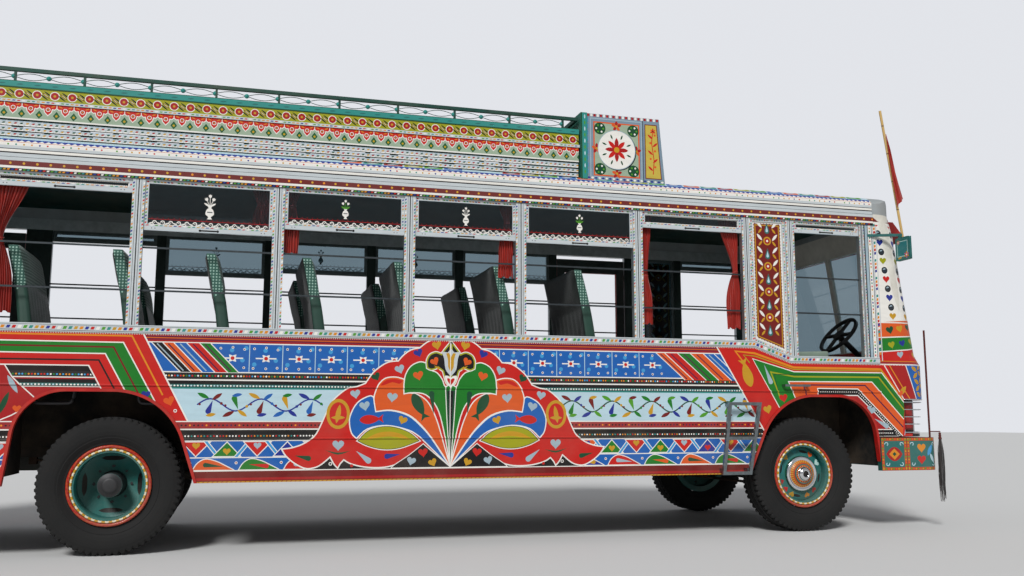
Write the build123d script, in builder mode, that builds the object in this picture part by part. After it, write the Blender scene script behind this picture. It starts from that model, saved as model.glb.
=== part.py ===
from build123d import *
import os
from math import atan2, cos, radians, sin

# A long-distance bus with a coachbuilt body, a luggage rack and a crown box on the roof, all in millimetres.
# +X points to the front, +Y to the bus's left, +Z up. The origin is on the ground, in the middle of
# the overall length and width. The driver sits on the right and the passenger doors are on the left.

os.makedirs("parts", exist_ok=True)

# Stations along the bus
rear_axle_x = -2100
wheelbase = 5860
front_axle_x = rear_axle_x + wheelbase
rear_post_x = -4950
rear_overhang_depth = 150
rear_face_x = rear_post_x - rear_overhang_depth
front_post_x = 4560
nose_x = 5130
cut_reach = 2 * wheelbase

# Widths and wall thicknesses
body_half_width = 1220
wall = 40
inner_half_width = body_half_width - wall
front_corner_radius = 250
rear_corner_radius = 140

# Heights above the ground
skirt_bottom = 520
sill_height = 1640
cab_sill_height = 1510
sill_rail_height = 60
window_head = 2830
cant_height = 110
roof_spring = window_head + cant_height
floor_top = 1100
floor_thickness = 40
floor_bottom = floor_top - floor_thickness

# Small clearances
seat_gap = 0.3
door_gap = 8
running_gap = 0.3

# Window bays: x of each post's centre, its width, and whether it stands on the lower cab sill
post_width = 90
cab_post_width = front_post_x - 4405
posts_right = [
    # centre, width, cab sill
    (rear_post_x + post_width / 2, post_width, False),
    (-4095, post_width, False),
    (-3045, post_width, False),
    (-1995, post_width, False),
    (-945, post_width, False),
    (110, post_width, False),
    (1065, post_width, False),
    (2140, post_width, False),
    (3210, post_width, False),
    (3660, post_width, True),
    (front_post_x - cab_post_width / 2, cab_post_width, True),
]

# Each doorway on the left starts at the front edge of a post; a wide post closes it at the front
door_width = 815
doorways = [
    # name, rear edge, front edge, front edge of the wide post
    ("door_front", 2140 + post_width / 2, 2140 + post_width / 2 + door_width, 3210 + post_width / 2),
    ("door_rear", -4095 + post_width / 2, -4095 + post_width / 2 + door_width, -3045 + post_width / 2),
]
door_bottom = 600
door_head = window_head - 40
doorway_bottom = door_bottom - door_gap
doorway_head = door_head + door_gap

# Wheel arches: x from the axle of the foot and the top corner of each leg, with the corner's radius
arch_top = 1200
arches = [
    # axle, rear foot, rear corner, rear radius, front corner, front radius, front foot
    (front_axle_x, -585, -282, 560, 687, 380, 760),
    (rear_axle_x, -710, -625, 345, 378, 525, 600),
]
arch_lip_width = 22
arch_lip_proud = 12

# Wheels and tyres
tyre_radius = 508
tyre_width = 260
tread_width = 224
rim_radius = 254
flange_radius = 298
rim_width = 210
front_track_y = 1030
rear_outer_y = 1030
rear_inner_y = 710
kingpin_y = 880
axle_z = tyre_radius

# Chassis
rail_y = 430
rail_width = 76
rail_bottom = 700
rail_top = 940
rail_plate = 8

# Bumper
bumper_bottom = 530
bumper_top = 830
bumper_back_x = 4515
bumper_front_x = nose_x + 40
bumper_thickness = 60
bumper_proud = 20
panel_gap = 5


def write(piece, name):
    piece.part.label = name
    export_step(piece.part, "parts/" + name + ".step")


def arch_face(axle, rear_foot, rear_corner, rear_radius, front_corner, front_radius, front_foot, grow=0):
    # The opening above one wheel, drawn with x along the bus and y up
    with BuildSketch() as face:
        with BuildLine():
            FilletPolyline(
                (axle + rear_foot, skirt_bottom),
                (axle + rear_corner, arch_top),
                (axle + front_corner, arch_top),
                (axle + front_foot, skirt_bottom),
                radius=[rear_radius, front_radius],
            )
            Line((axle + front_foot, skirt_bottom), (axle + rear_foot, skirt_bottom))
        make_face()
        if grow:
            offset(amount=grow, kind=Kind.INTERSECTION, mode=Mode.REPLACE)
    return face.sketch


# Skirt panels, from the ground line of the body up to the window sills
bead_heights = [850, 1250]
bead_radius = 10
slope_start_x = 3210 + post_width / 2
slope_end_x = 3660 - post_width / 2
with BuildPart() as side_panel_right:
    with BuildSketch(Plane.XZ.offset(inner_half_width)):
        with BuildLine():
            Polyline(
                (rear_post_x, skirt_bottom),
                (bumper_back_x - panel_gap, skirt_bottom),
                (bumper_back_x - panel_gap, bumper_top + panel_gap),
                (front_post_x, bumper_top + panel_gap),
                (front_post_x, cab_sill_height),
                (slope_end_x, cab_sill_height),
                (slope_start_x, sill_height),
                (rear_post_x, sill_height),
                close=True,
            )
        make_face()
    extrude(amount=wall)
    with BuildSketch(Plane.YZ.offset(rear_post_x)):
        with Locations([(-body_half_width, height) for height in bead_heights]):
            Circle(bead_radius)
    extrude(amount=front_post_x - rear_post_x)
    with BuildSketch(Plane.XZ.offset(inner_half_width)):
        for arch in arches:
            add(arch_face(*arch, grow=arch_lip_width))
        with Locations((0, skirt_bottom - 250)):
            Rectangle(2 * cut_reach, 500, mode=Mode.SUBTRACT)
        with Locations((bumper_back_x - panel_gap + 100, bumper_top + panel_gap - 300)):
            Rectangle(200, 600, mode=Mode.SUBTRACT)
    extrude(amount=wall + arch_lip_proud)
    with BuildSketch(Plane.XZ.offset(inner_half_width - 10)):
        for arch in arches:
            add(arch_face(*arch))
    extrude(amount=wall + 100, mode=Mode.SUBTRACT)
write(side_panel_right, "side_panel_right")


def doorway_faces(bottom, head):
    # The doorways, drawn with x along the bus and y up
    with BuildSketch() as faces:
        for name, rear_edge, front_edge, post_edge in doorways:
            with Locations(((rear_edge + front_edge) / 2, (bottom + head) / 2)):
                Rectangle(front_edge - rear_edge, head - bottom)
    return faces.sketch


# Hinge barrels at the front edge of each door, stacked with those of the body
hinge_radius = 12
hinge_plate = 10
hinge_y = body_half_width + hinge_radius + 5
hinge_heights = [900, 1450, 2500]
hinge_length = 80
body_hinge_length = 60
leaf_length = 60


def body_hinges(low, high):
    # The body's barrels and leaves between two heights, standing on the outer face of the left side
    with BuildPart() as hinges:
        for name, rear_edge, front_edge, post_edge in doorways:
            hinge_x = front_edge - door_gap - hinge_radius
            for hinge_z in hinge_heights:
                if low < hinge_z < high:
                    with BuildSketch(Plane.XY.offset(hinge_z + hinge_length + running_gap)):
                        with Locations((hinge_x, hinge_y)):
                            Circle(hinge_radius)
                        with Locations((front_edge + leaf_length / 2, body_half_width + hinge_radius)):
                            Rectangle(leaf_length, 2 * hinge_radius)
                        with Locations(((hinge_x + front_edge) / 2, hinge_y)):
                            Rectangle(front_edge - hinge_x + 2, hinge_plate)
                    extrude(amount=body_hinge_length)
    return hinges.part


with BuildPart() as side_panel_left:
    mirror(side_panel_right.part, about=Plane.XZ)
    with BuildSketch(Plane.XZ.offset(-body_half_width - 100)):
        add(doorway_faces(doorway_bottom, doorway_head))
    extrude(amount=200, mode=Mode.SUBTRACT)
    add(body_hinges(skirt_bottom, sill_height))
write(side_panel_left, "side_panel_left")

# Waist and cant rails, one pair on each side
rail_proud = 8
rail_depth = 62
waist_rail_top = sill_height + sill_rail_height
cab_rail_top = cab_sill_height + sill_rail_height
with BuildPart() as body_rails:
    with BuildSketch(Plane.XZ.offset(body_half_width + rail_proud - rail_depth)):
        with BuildLine():
            Polyline(
                (rear_post_x, sill_height),
                (slope_start_x, sill_height),
                (slope_end_x, cab_sill_height),
                (front_post_x, cab_sill_height),
                (front_post_x, cab_rail_top),
                (slope_end_x, cab_rail_top),
                (slope_start_x, waist_rail_top),
                (rear_post_x, waist_rail_top),
                close=True,
            )
        make_face()
        with Locations(((rear_post_x + front_post_x) / 2, window_head + cant_height / 2)):
            Rectangle(front_post_x - rear_post_x, cant_height)
    extrude(amount=rail_depth)
    mirror(about=Plane.XZ)
    with BuildSketch(Plane.XZ.offset(-body_half_width - 100)):
        add(doorway_faces(doorway_bottom, doorway_head))
    extrude(amount=200, mode=Mode.SUBTRACT)
write(body_rails, "body_rails")

# Window posts
post_depth = 50


def post_faces(left):
    # The posts of one side, drawn with x along the bus and y up
    with BuildSketch() as faces:
        for centre, width, on_cab_sill in posts_right:
            foot = cab_rail_top if on_cab_sill else waist_rail_top
            rear_edge = centre - width / 2
            front_edge = centre + width / 2
            for name, door_rear, door_front, post_edge in doorways:
                if left and front_edge == post_edge:
                    rear_edge = door_front
            with Locations(((rear_edge + front_edge) / 2, (foot + window_head) / 2)):
                Rectangle(front_edge - rear_edge, window_head - foot)
    return faces.sketch


with BuildPart() as window_posts:
    with BuildSketch(Plane.XZ.offset(body_half_width - post_depth)):
        add(post_faces(False))
    extrude(amount=post_depth)
    with BuildSketch(Plane.XZ.offset(-body_half_width)):
        add(post_faces(True))
    extrude(amount=post_depth)
    add(body_hinges(sill_height, window_head))
write(window_posts, "window_posts")

# Sliding sashes, each raised so that its bottom rail stands at its own height
sash_stile = 28
sash_bottom_rail = 45
sash_depth = 24
sash_recess = 12
glass_thickness = 5
sash_rows = [
    # post behind, post in front, how far the bottom rail hangs below the window head
    (0, 1, 390),
    (1, 2, 390),
    (2, 3, 108),
    (3, 4, 395),
    (4, 5, 331),
    (5, 6, 329),
    (6, 7, 336),
    (7, 8, 146),
    (9, 10, 110),
]


def bay_edges(behind, ahead):
    # The edges of the window between two posts of the right side
    rear_edge = posts_right[behind][0] + posts_right[behind][1] / 2
    front_edge = posts_right[ahead][0] - posts_right[ahead][1] / 2
    return rear_edge, front_edge


def sash_faces(left, glass):
    # Frames or panes of one side's sashes, drawn with x along the bus and y up
    door_bays = [1, 7] if left else []
    with BuildSketch() as faces:
        for behind, ahead, drop in sash_rows:
            if behind in door_bays:
                continue
            rear_edge, front_edge = bay_edges(behind, ahead)
            bottom = window_head - drop
            pane_low = bottom + sash_bottom_rail
            pane_high = window_head - sash_stile
            pane_width = front_edge - rear_edge - 2 * sash_stile
            middle = (rear_edge + front_edge) / 2
            if not glass:
                with Locations((middle, (bottom + window_head) / 2)):
                    Rectangle(front_edge - rear_edge, window_head - bottom)
            with Locations((middle, (pane_low + pane_high) / 2)):
                Rectangle(pane_width, pane_high - pane_low, mode=Mode.ADD if glass else Mode.SUBTRACT)
        with BuildLine():
            Polyline(
                (slope_start_x, waist_rail_top),
                (slope_end_x, cab_rail_top),
                (slope_end_x, window_head),
                (slope_start_x, window_head),
                close=True,
            )
        quarter = make_face(mode=Mode.PRIVATE)
        pane = offset(quarter, amount=-sash_stile, kind=Kind.INTERSECTION, mode=Mode.PRIVATE)
        if glass:
            add(pane)
        else:
            add(quarter)
            add(pane, mode=Mode.SUBTRACT)
    return faces.sketch


with BuildPart() as window_sashes:
    with BuildSketch(Plane.XZ.offset(body_half_width - sash_recess - sash_depth)):
        add(sash_faces(False, False))
    extrude(amount=sash_depth)
    with BuildSketch(Plane.XZ.offset(-body_half_width + sash_recess)):
        add(sash_faces(True, False))
    extrude(amount=sash_depth)
write(window_sashes, "window_sashes")

# Guard bars across the windows, between the posts
bar_heights = [1971, 2303]
bar_height = 14
bar_depth = 8
bar_recess = 40
with BuildPart() as window_bars:
    for left in (False, True):
        outer_y = -body_half_width + bar_recess if left else body_half_width - bar_recess
        with BuildSketch(Plane.XZ.offset(outer_y)):
            for behind, ahead, drop in sash_rows:
                if left and behind in (1, 7):
                    continue
                rear_edge, front_edge = bay_edges(behind, ahead)
                with Locations([((rear_edge + front_edge) / 2, height) for height in bar_heights]):
                    Rectangle(front_edge - rear_edge, bar_height)
        extrude(amount=bar_depth)
write(window_bars, "window_bars")

# Front of the cab: plan sections, each at its height with the x of its front face
front_sections = [
    # height, front face
    (bumper_top + 10, nose_x - 45),
    (1200, nose_x),
    (1500, nose_x),
    (1600, nose_x - 62),
    (1680, nose_x - 74),
    (window_head - 90, nose_x - 230),
    (roof_spring, nose_x - 280),
]


def front_block(inset, back_x=front_post_x):
    # The cab front as a solid, with its skin set in by the inset
    with BuildPart() as block:
        for height, face_x in front_sections:
            with BuildSketch(Plane.XY.offset(height)):
                with BuildLine():
                    FilletPolyline(
                        (back_x, -body_half_width + inset),
                        (face_x - inset, -body_half_width + inset),
                        (face_x - inset, body_half_width - inset),
                        (back_x, body_half_width - inset),
                        radius=front_corner_radius - inset,
                    )
                    Line((back_x, body_half_width - inset), (back_x, -body_half_width + inset))
                make_face()
        loft(ruled=True)
    return block.part


cab_solid = front_block(0)
cab_hollow = front_block(wall, front_post_x - 10)
windscreen_bottom = 1700
windscreen_top = window_head - 130
windscreen_half_width = 1010
windscreen_post = 60
windscreen_corner = 70
grille_half_width = 430
grille_bottom = 930
grille_top = 1400


def windscreen_faces():
    # Both panes of the windscreen, drawn with x across the bus and y up
    with BuildSketch() as faces:
        with Locations((0, (windscreen_bottom + windscreen_top) / 2)):
            Rectangle(2 * windscreen_half_width, windscreen_top - windscreen_bottom)
        fillet(faces.vertices(), radius=windscreen_corner)
        with Locations((0, (windscreen_bottom + windscreen_top) / 2)):
            Rectangle(windscreen_post, windscreen_top - windscreen_bottom, mode=Mode.SUBTRACT)
    return faces.sketch


# Lamp niches, one in each corner of the nose, lined with sheet
niche_low = 866
niche_high = 1180
niche_rear_x = nose_x - 330
niche_inner_y = 620
niche_liner = 12


def niche_block(grow):
    # The space of both niches, grown for its liner and open to the outside
    with BuildPart() as block:
        with BuildSketch(Plane.XY.offset(niche_low - grow)):
            for side in (-1, 1):
                with Locations((nose_x, side * (niche_inner_y + 500))):
                    Rectangle(2 * (nose_x - niche_rear_x + grow), 2 * (500 + grow))
        extrude(amount=niche_high - niche_low + 2 * grow)
    return block.part


niche_space = niche_block(0)
niche_outside = niche_block(niche_liner)
with BuildPart() as niche_shell:
    add(niche_outside)
    add(niche_space, mode=Mode.SUBTRACT)
    add(cab_solid, mode=Mode.INTERSECT)
with BuildPart() as front_panel:
    add(cab_solid)
    add(cab_hollow, mode=Mode.SUBTRACT)
    add(niche_space, mode=Mode.SUBTRACT)
    add(niche_shell.part)
    with BuildSketch(Plane.YZ.offset(front_post_x + 100)):
        add(windscreen_faces())
    extrude(amount=1000, mode=Mode.SUBTRACT)
    with BuildSketch(Plane.YZ.offset(front_post_x + 100)):
        with Locations((0, (grille_bottom + grille_top) / 2)):
            Rectangle(2 * grille_half_width, grille_top - grille_bottom)
    extrude(amount=1000, mode=Mode.SUBTRACT)
write(front_panel, "front_panel")

# Grille: a frame with flat slats, set in the opening of the nose
grille_back_x = nose_x - 48
grille_front_x = nose_x - 8
grille_frame = 30
grille_slats = 9
slat_height = 22
with BuildPart() as grille:
    with BuildSketch(Plane.YZ.offset(grille_back_x)):
        with Locations((0, (grille_bottom + grille_top) / 2)):
            Rectangle(2 * grille_half_width, grille_top - grille_bottom)
            Rectangle(
                2 * (grille_half_width - grille_frame),
                grille_top - grille_bottom - 2 * grille_frame,
                mode=Mode.SUBTRACT,
            )
        slat_pitch = (grille_top - grille_bottom - 2 * grille_frame) / (grille_slats + 1)
        with Locations((0, (grille_bottom + grille_top) / 2)):
            with GridLocations(0, slat_pitch, 1, grille_slats):
                Rectangle(2 * grille_half_width, slat_height)
    extrude(amount=grille_front_x - grille_back_x)
write(grille, "grille")

# Rear panel, with two rear windows
rear_window_bottom = 1760
rear_window_top = window_head - 270
rear_window_inner = 60
rear_window_outer = 900


def rear_outline(inset, reach):
    # Plan of the rear end, open towards the front
    with BuildSketch() as plan:
        with BuildLine():
            FilletPolyline(
                (rear_post_x + reach, -body_half_width + inset),
                (rear_face_x + inset, -body_half_width + inset),
                (rear_face_x + inset, body_half_width - inset),
                (rear_post_x + reach, body_half_width - inset),
                radius=rear_corner_radius - inset,
            )
            Line(
                (rear_post_x + reach, body_half_width - inset),
                (rear_post_x + reach, -body_half_width + inset),
            )
        make_face()
    return plan.sketch


def rear_window_faces():
    # Both rear windows, drawn with x across the bus and y up
    with BuildSketch() as faces:
        for side in (-1, 1):
            middle_y = side * (rear_window_inner + rear_window_outer) / 2
            with Locations((middle_y, (rear_window_bottom + rear_window_top) / 2)):
                Rectangle(rear_window_outer - rear_window_inner, rear_window_top - rear_window_bottom)
        fillet(faces.vertices(), radius=windscreen_corner)
    return faces.sketch


with BuildPart() as rear_panel:
    with BuildSketch(Plane.XY.offset(skirt_bottom)):
        add(rear_outline(0, 0))
        add(rear_outline(wall, 10), mode=Mode.SUBTRACT)
    extrude(amount=roof_spring - skirt_bottom)
    with BuildSketch(Plane.YZ.offset(rear_face_x - 10)):
        add(rear_window_faces())
    extrude(amount=rear_overhang_depth, mode=Mode.SUBTRACT)
write(rear_panel, "rear_panel")

# Glass: side panes, windscreen and rear windows
glass_recess = 22
pane_recess = 15
with BuildPart() as side_glass:
    with BuildSketch(Plane.XZ.offset(body_half_width - glass_recess - glass_thickness)):
        add(sash_faces(False, True))
    extrude(amount=glass_thickness)
    with BuildSketch(Plane.XZ.offset(-body_half_width + glass_recess)):
        add(sash_faces(True, True))
    extrude(amount=glass_thickness)
with BuildPart() as windscreen_glass:
    add(front_block(pane_recess))
    add(front_block(pane_recess + glass_thickness, front_post_x - 10), mode=Mode.SUBTRACT)
    with BuildSketch(Plane.YZ.offset(front_post_x + 100)):
        add(windscreen_faces())
    extrude(amount=1000, mode=Mode.INTERSECT)
with BuildPart() as rear_glass:
    with BuildSketch(Plane.YZ.offset(rear_face_x + pane_recess)):
        add(rear_window_faces())
    extrude(amount=glass_thickness)
with BuildPart() as window_glass:
    add(side_glass.part)
    add(windscreen_glass.part)
    add(rear_glass.part)
write(window_glass, "window_glass")

# Roof: a dome from a cross-section, a side profile and a plan, all set in by the same wall
eave_height = roof_spring + 105
cove_half_width = body_half_width - 140
cove_height = eave_height + 80
crown_height = eave_height + 185
roof_front_x = nose_x - 280
roof_shoulder_x = 4560
cove_radius = 220
slope_reach = 50


def roof_block(inset, bottom):
    # The roof as a solid, with its skin set in by the inset
    half = body_half_width - inset
    with BuildPart() as block:
        with BuildSketch(Plane.YZ.offset(rear_face_x + inset)):
            with BuildLine():
                Line((-half, bottom), (-half, eave_height))
                RadiusArc((-half, eave_height), (-cove_half_width, cove_height - inset), cove_radius)
                ThreePointArc(
                    (-cove_half_width, cove_height - inset),
                    (0, crown_height - inset),
                    (cove_half_width, cove_height - inset),
                )
                RadiusArc((cove_half_width, cove_height - inset), (half, eave_height), cove_radius)
                Line((half, eave_height), (half, bottom))
                Line((half, bottom), (-half, bottom))
            make_face()
        extrude(amount=roof_front_x - rear_face_x - 2 * inset)
        with BuildSketch(Plane.XZ):
            with BuildLine():
                Polyline(
                    (rear_face_x + inset - slope_reach, bottom - 5),
                    (rear_face_x + inset - slope_reach, eave_height - 60),
                    (rear_face_x + 140, crown_height + 20 - inset),
                    (roof_shoulder_x, crown_height + 20 - inset),
                    (roof_front_x - inset + slope_reach, roof_spring + 20),
                    (roof_front_x - inset + slope_reach, bottom - 5),
                    close=True,
                )
            make_face()
        extrude(amount=body_half_width + 100, both=True, mode=Mode.INTERSECT)
        corners = block.edges().filter_by(Axis.Z).sort_by(Axis.X)
        fillet(corners[2:], radius=front_corner_radius - inset)
        corners = block.edges().filter_by(Axis.Z).sort_by(Axis.X)
        fillet(corners[:2], radius=rear_corner_radius - inset)
    return block.part


roof_solid = roof_block(0, roof_spring)
with BuildPart() as roof_shell:
    add(roof_solid)
    add(roof_block(wall, roof_spring - 10), mode=Mode.SUBTRACT)
write(roof_shell, "roof_shell")

# Floor plate with its openings for the wheels, the steps and the engine
hump_rear_x = 3300
hump_front_x = 4800
hump_half_width = 370
hump_top = 1430
sheet = 15
house_top = 1250
house_inner_front_y = 575
house_inner_rear_y = 545
houses = [
    # rear end, front end, inner side
    (front_axle_x - 625, front_axle_x + 785, house_inner_front_y),
    (rear_axle_x - 740, rear_axle_x + 630, house_inner_rear_y),
]
well_inner_y = 700
well_clear = 8
well_margin = 5
step_height = 830
step_inner_y = 940
wells = [(doorway[1] + well_margin, doorway[2] - well_margin) for doorway in doorways]
with BuildPart() as floor:
    with BuildSketch(Plane.XY.offset(floor_bottom)):
        with BuildLine():
            Polyline(
                (rear_face_x + wall, -inner_half_width + rear_corner_radius),
                (rear_face_x + wall, inner_half_width - rear_corner_radius),
                (rear_post_x, inner_half_width),
                (front_post_x, inner_half_width),
                (front_post_x, -inner_half_width),
                (rear_post_x, -inner_half_width),
                close=True,
            )
        make_face()
    extrude(amount=floor_thickness)
    with BuildSketch(Plane.XY.offset(floor_bottom)):
        with Locations((front_post_x + 500, 0)):
            Rectangle(1000, 2 * body_half_width)
    cab_slab = extrude(amount=floor_thickness, mode=Mode.PRIVATE)
    add(cab_slab & cab_hollow)
    add(niche_outside, mode=Mode.SUBTRACT)
    with BuildSketch(Plane.XY.offset(floor_bottom)):
        for rear_end, front_end, inner_y in houses:
            for side in (-1, 1):
                with Locations(((rear_end + front_end) / 2, side * (inner_y + body_half_width) / 2)):
                    Rectangle(front_end - rear_end, body_half_width - inner_y)
        for rear_edge, front_edge in wells:
            with Locations(((rear_edge + front_edge) / 2, (well_inner_y + body_half_width) / 2)):
                Rectangle(front_edge - rear_edge, body_half_width - well_inner_y)
        with Locations(((hump_rear_x + hump_front_x) / 2, 0)):
            Rectangle(hump_front_x - hump_rear_x - 2 * sheet, 2 * (hump_half_width - sheet))
    extrude(amount=floor_thickness, mode=Mode.SUBTRACT)
write(floor, "floor")

# Engine cover: a hollow box standing on the floor, open below
with BuildPart() as engine_cover:
    with BuildSketch(Plane.XY.offset(floor_top)):
        with Locations(((hump_rear_x + hump_front_x) / 2, 0)):
            Rectangle(hump_front_x - hump_rear_x, 2 * hump_half_width)
    extrude(amount=hump_top - floor_top)
    with BuildSketch(Plane.XY.offset(floor_top)):
        with Locations(((hump_rear_x + hump_front_x) / 2, 0)):
            Rectangle(hump_front_x - hump_rear_x - 2 * sheet, 2 * (hump_half_width - sheet))
    extrude(amount=hump_top - floor_top - sheet, mode=Mode.SUBTRACT)
write(engine_cover, "engine_cover")

# Step wells: treads and risers inside each doorway, between two end plates
with BuildPart() as step_wells:
    for rear_edge, front_edge in wells:
        with BuildSketch(Plane.YZ.offset(rear_edge)):
            with BuildLine():
                Polyline(
                    (inner_half_width - well_clear, doorway_bottom),
                    (well_inner_y, doorway_bottom),
                    (well_inner_y, floor_top),
                    (well_inner_y + sheet, floor_top),
                    (well_inner_y + sheet, step_height),
                    (step_inner_y, step_height),
                    (step_inner_y, doorway_bottom + sheet),
                    (inner_half_width - well_clear, doorway_bottom + sheet),
                    close=True,
                )
            make_face()
        extrude(amount=front_edge - rear_edge)
        for end_x in (rear_edge, front_edge - sheet):
            with BuildSketch(Plane.YZ.offset(end_x)):
                with Locations(
                    ((well_inner_y + inner_half_width - well_clear) / 2, (doorway_bottom + floor_top) / 2)
                ):
                    Rectangle(inner_half_width - well_clear - well_inner_y, floor_top - doorway_bottom)
            extrude(amount=sheet)
write(step_wells, "step_wells")

# Wheel houses, open below and towards the wheel
house_skirt = 780
house_foot = skirt_bottom + 60
with BuildPart() as wheel_houses:
    for rear_end, front_end, inner_y in houses:
        with BuildSketch(Plane.XY.offset(house_foot)):
            with Locations(((rear_end + front_end) / 2, (inner_y + inner_half_width) / 2)):
                Rectangle(front_end - rear_end, inner_half_width - inner_y)
        extrude(amount=house_top - house_foot)
        with BuildSketch(Plane.XY.offset(house_foot)):
            with Locations(((rear_end + front_end) / 2, (inner_y + sheet + inner_half_width) / 2)):
                Rectangle(front_end - rear_end - 2 * sheet, inner_half_width - inner_y - sheet)
        extrude(amount=house_top - house_foot - sheet, mode=Mode.SUBTRACT)
        with BuildSketch(Plane.XY.offset(skirt_bottom)):
            with Locations(((rear_end + front_end) / 2, inner_y)):
                Rectangle(front_end - rear_end - 2 * sheet, 4 * sheet)
        extrude(amount=house_skirt - skirt_bottom, mode=Mode.SUBTRACT)
    mirror(about=Plane.XZ)
write(wheel_houses, "wheel_houses")

# Chassis frame: two channel rails, cross members between them and body bearers on top
rail_rear_x = rear_face_x + wall
rail_front_x = bumper_front_x - bumper_thickness
horn_x = nose_x - 90
member_length = 90
member_low = 830
cross_members = [-4700, -3350, -850, 500, 1900, 2900]
bearers = [
    # x, half length, half width of the gap for the engine
    (-4900, inner_half_width, 0),
    (-4095, well_inner_y, 0),
    (-3045, well_inner_y - 20, 0),
    (-2100, house_inner_rear_y, 0),
    (-945, inner_half_width, 0),
    (110, inner_half_width, 0),
    (1065, inner_half_width, 0),
    (2080, inner_half_width, 0),
    (3000, well_inner_y, 0),
    (3660, house_inner_front_y, hump_half_width),
    (4650, inner_half_width - 60, hump_half_width),
]
bearer_length = 80
with BuildPart() as chassis_frame:
    with BuildSketch(Plane.YZ.offset(rail_rear_x)):
        with Locations((rail_y, (rail_bottom + rail_top) / 2)):
            Rectangle(rail_width, rail_top - rail_bottom)
        with Locations((rail_y - rail_plate, (rail_bottom + rail_top) / 2)):
            Rectangle(rail_width, rail_top - rail_bottom - 2 * rail_plate, mode=Mode.SUBTRACT)
    extrude(amount=rail_front_x - rail_rear_x)
    mirror(about=Plane.XZ)
    for member_x in cross_members:
        with BuildSketch(Plane.XZ.offset(-rail_y - rail_width / 2 + rail_plate)):
            with Locations((member_x, (member_low + rail_top) / 2)):
                Rectangle(member_length, rail_top - member_low)
                with Locations((rail_plate, -rail_plate)):
                    Rectangle(member_length, rail_top - member_low - rail_plate, mode=Mode.SUBTRACT)
        extrude(amount=2 * rail_y + rail_width - 2 * rail_plate)
    with BuildSketch(Plane.XY.offset(rail_top)):
        for bearer_x, half_length, gap in bearers:
            with Locations((bearer_x, 0)):
                Rectangle(bearer_length, 2 * half_length)
                if gap:
                    Rectangle(bearer_length, 2 * gap, mode=Mode.SUBTRACT)
    extrude(amount=floor_bottom - rail_top)
    with BuildSketch(Plane.XZ.offset(-body_half_width)):
        with Locations((horn_x + 500, bumper_top - panel_gap + 500)):
            Rectangle(1000, 1000)
    extrude(amount=2 * body_half_width, mode=Mode.SUBTRACT)
write(chassis_frame, "chassis_frame")

# Leaf springs: stacked arcs of falling length, with an eye and a hanger at each end
leaf_thickness = 12
leaf_width = 70
leaf_radius = 6000
spring_base = 590
leaf_half_lengths = [240, 360, 470, 570, 640]
eye_radius = 20
eye_reach = leaf_half_lengths[-1]
eye_height = spring_base + 86
hanger_size = 56
spring_axles = [front_axle_x, rear_axle_x]
with BuildPart() as leaf_springs:
    for axle in spring_axles:
        with BuildSketch(Plane.XZ.offset(rail_y - leaf_width / 2)):
            for level, half_length in enumerate(leaf_half_lengths):
                inner = leaf_radius - level * leaf_thickness
                half_angle = half_length / inner
                centre_z = spring_base + leaf_radius
                with BuildLine():
                    low = ThreePointArc(
                        (axle - inner * sin(half_angle), centre_z - inner * cos(half_angle)),
                        (axle, centre_z - inner),
                        (axle + inner * sin(half_angle), centre_z - inner * cos(half_angle)),
                    )
                    upper = inner - leaf_thickness
                    high = ThreePointArc(
                        (axle - upper * sin(half_angle), centre_z - upper * cos(half_angle)),
                        (axle, centre_z - upper),
                        (axle + upper * sin(half_angle), centre_z - upper * cos(half_angle)),
                    )
                    Line(low @ 0, high @ 0)
                    Line(low @ 1, high @ 1)
                make_face()
            for side in (-1, 1):
                with Locations((axle + side * eye_reach, eye_height)):
                    Circle(eye_radius)
        extrude(amount=leaf_width)
        for side in (-1, 1):
            with BuildSketch(Plane.XZ.offset(rail_y - rail_width / 2)):
                with Locations((axle + side * (eye_reach + 10), rail_bottom - hanger_size / 2)):
                    Rectangle(hanger_size, hanger_size)
            extrude(amount=rail_width)
    mirror(about=Plane.XZ)
write(leaf_springs, "leaf_springs")

# Front axle: a dropped beam with a boss for each kingpin
beam_low = 418
beam_height = 100
beam_width = 90
boss_radius = 45
boss_low = axle_z - 60
boss_high = axle_z + 60
pin_radius = 20
pad_length = 150
beam_shoulder = 60
beam_flat = 130
beam_drop = 240
with BuildPart() as front_axle:
    with BuildSketch(Plane.YZ.offset(front_axle_x - beam_width / 2)):
        with BuildLine():
            Polyline(
                (-kingpin_y, boss_low),
                (-kingpin_y + beam_flat, boss_low),
                (-kingpin_y + beam_drop, beam_low),
                (kingpin_y - beam_drop, beam_low),
                (kingpin_y - beam_flat, boss_low),
                (kingpin_y, boss_low),
                (kingpin_y, boss_high),
                (kingpin_y - beam_shoulder, boss_high),
                (kingpin_y - beam_drop, beam_low + beam_height),
                (-kingpin_y + beam_drop, beam_low + beam_height),
                (-kingpin_y + beam_shoulder, boss_high),
                (-kingpin_y, boss_high),
                close=True,
            )
        make_face()
    extrude(amount=beam_width)
    with BuildSketch(Plane.XY.offset(boss_low)):
        with Locations((front_axle_x, -kingpin_y), (front_axle_x, kingpin_y)):
            Circle(boss_radius)
    extrude(amount=boss_high - boss_low)
    with BuildSketch(Plane.XY.offset(beam_low + beam_height)):
        with Locations((front_axle_x, -rail_y), (front_axle_x, rail_y)):
            Rectangle(pad_length, leaf_width)
    extrude(amount=spring_base - beam_low - beam_height)
    with BuildSketch(Plane.XY.offset(boss_low)):
        with Locations((front_axle_x, -kingpin_y), (front_axle_x, kingpin_y)):
            Circle(pin_radius + running_gap)
    extrude(amount=boss_high - boss_low, mode=Mode.SUBTRACT)
write(front_axle, "front_axle")

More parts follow.
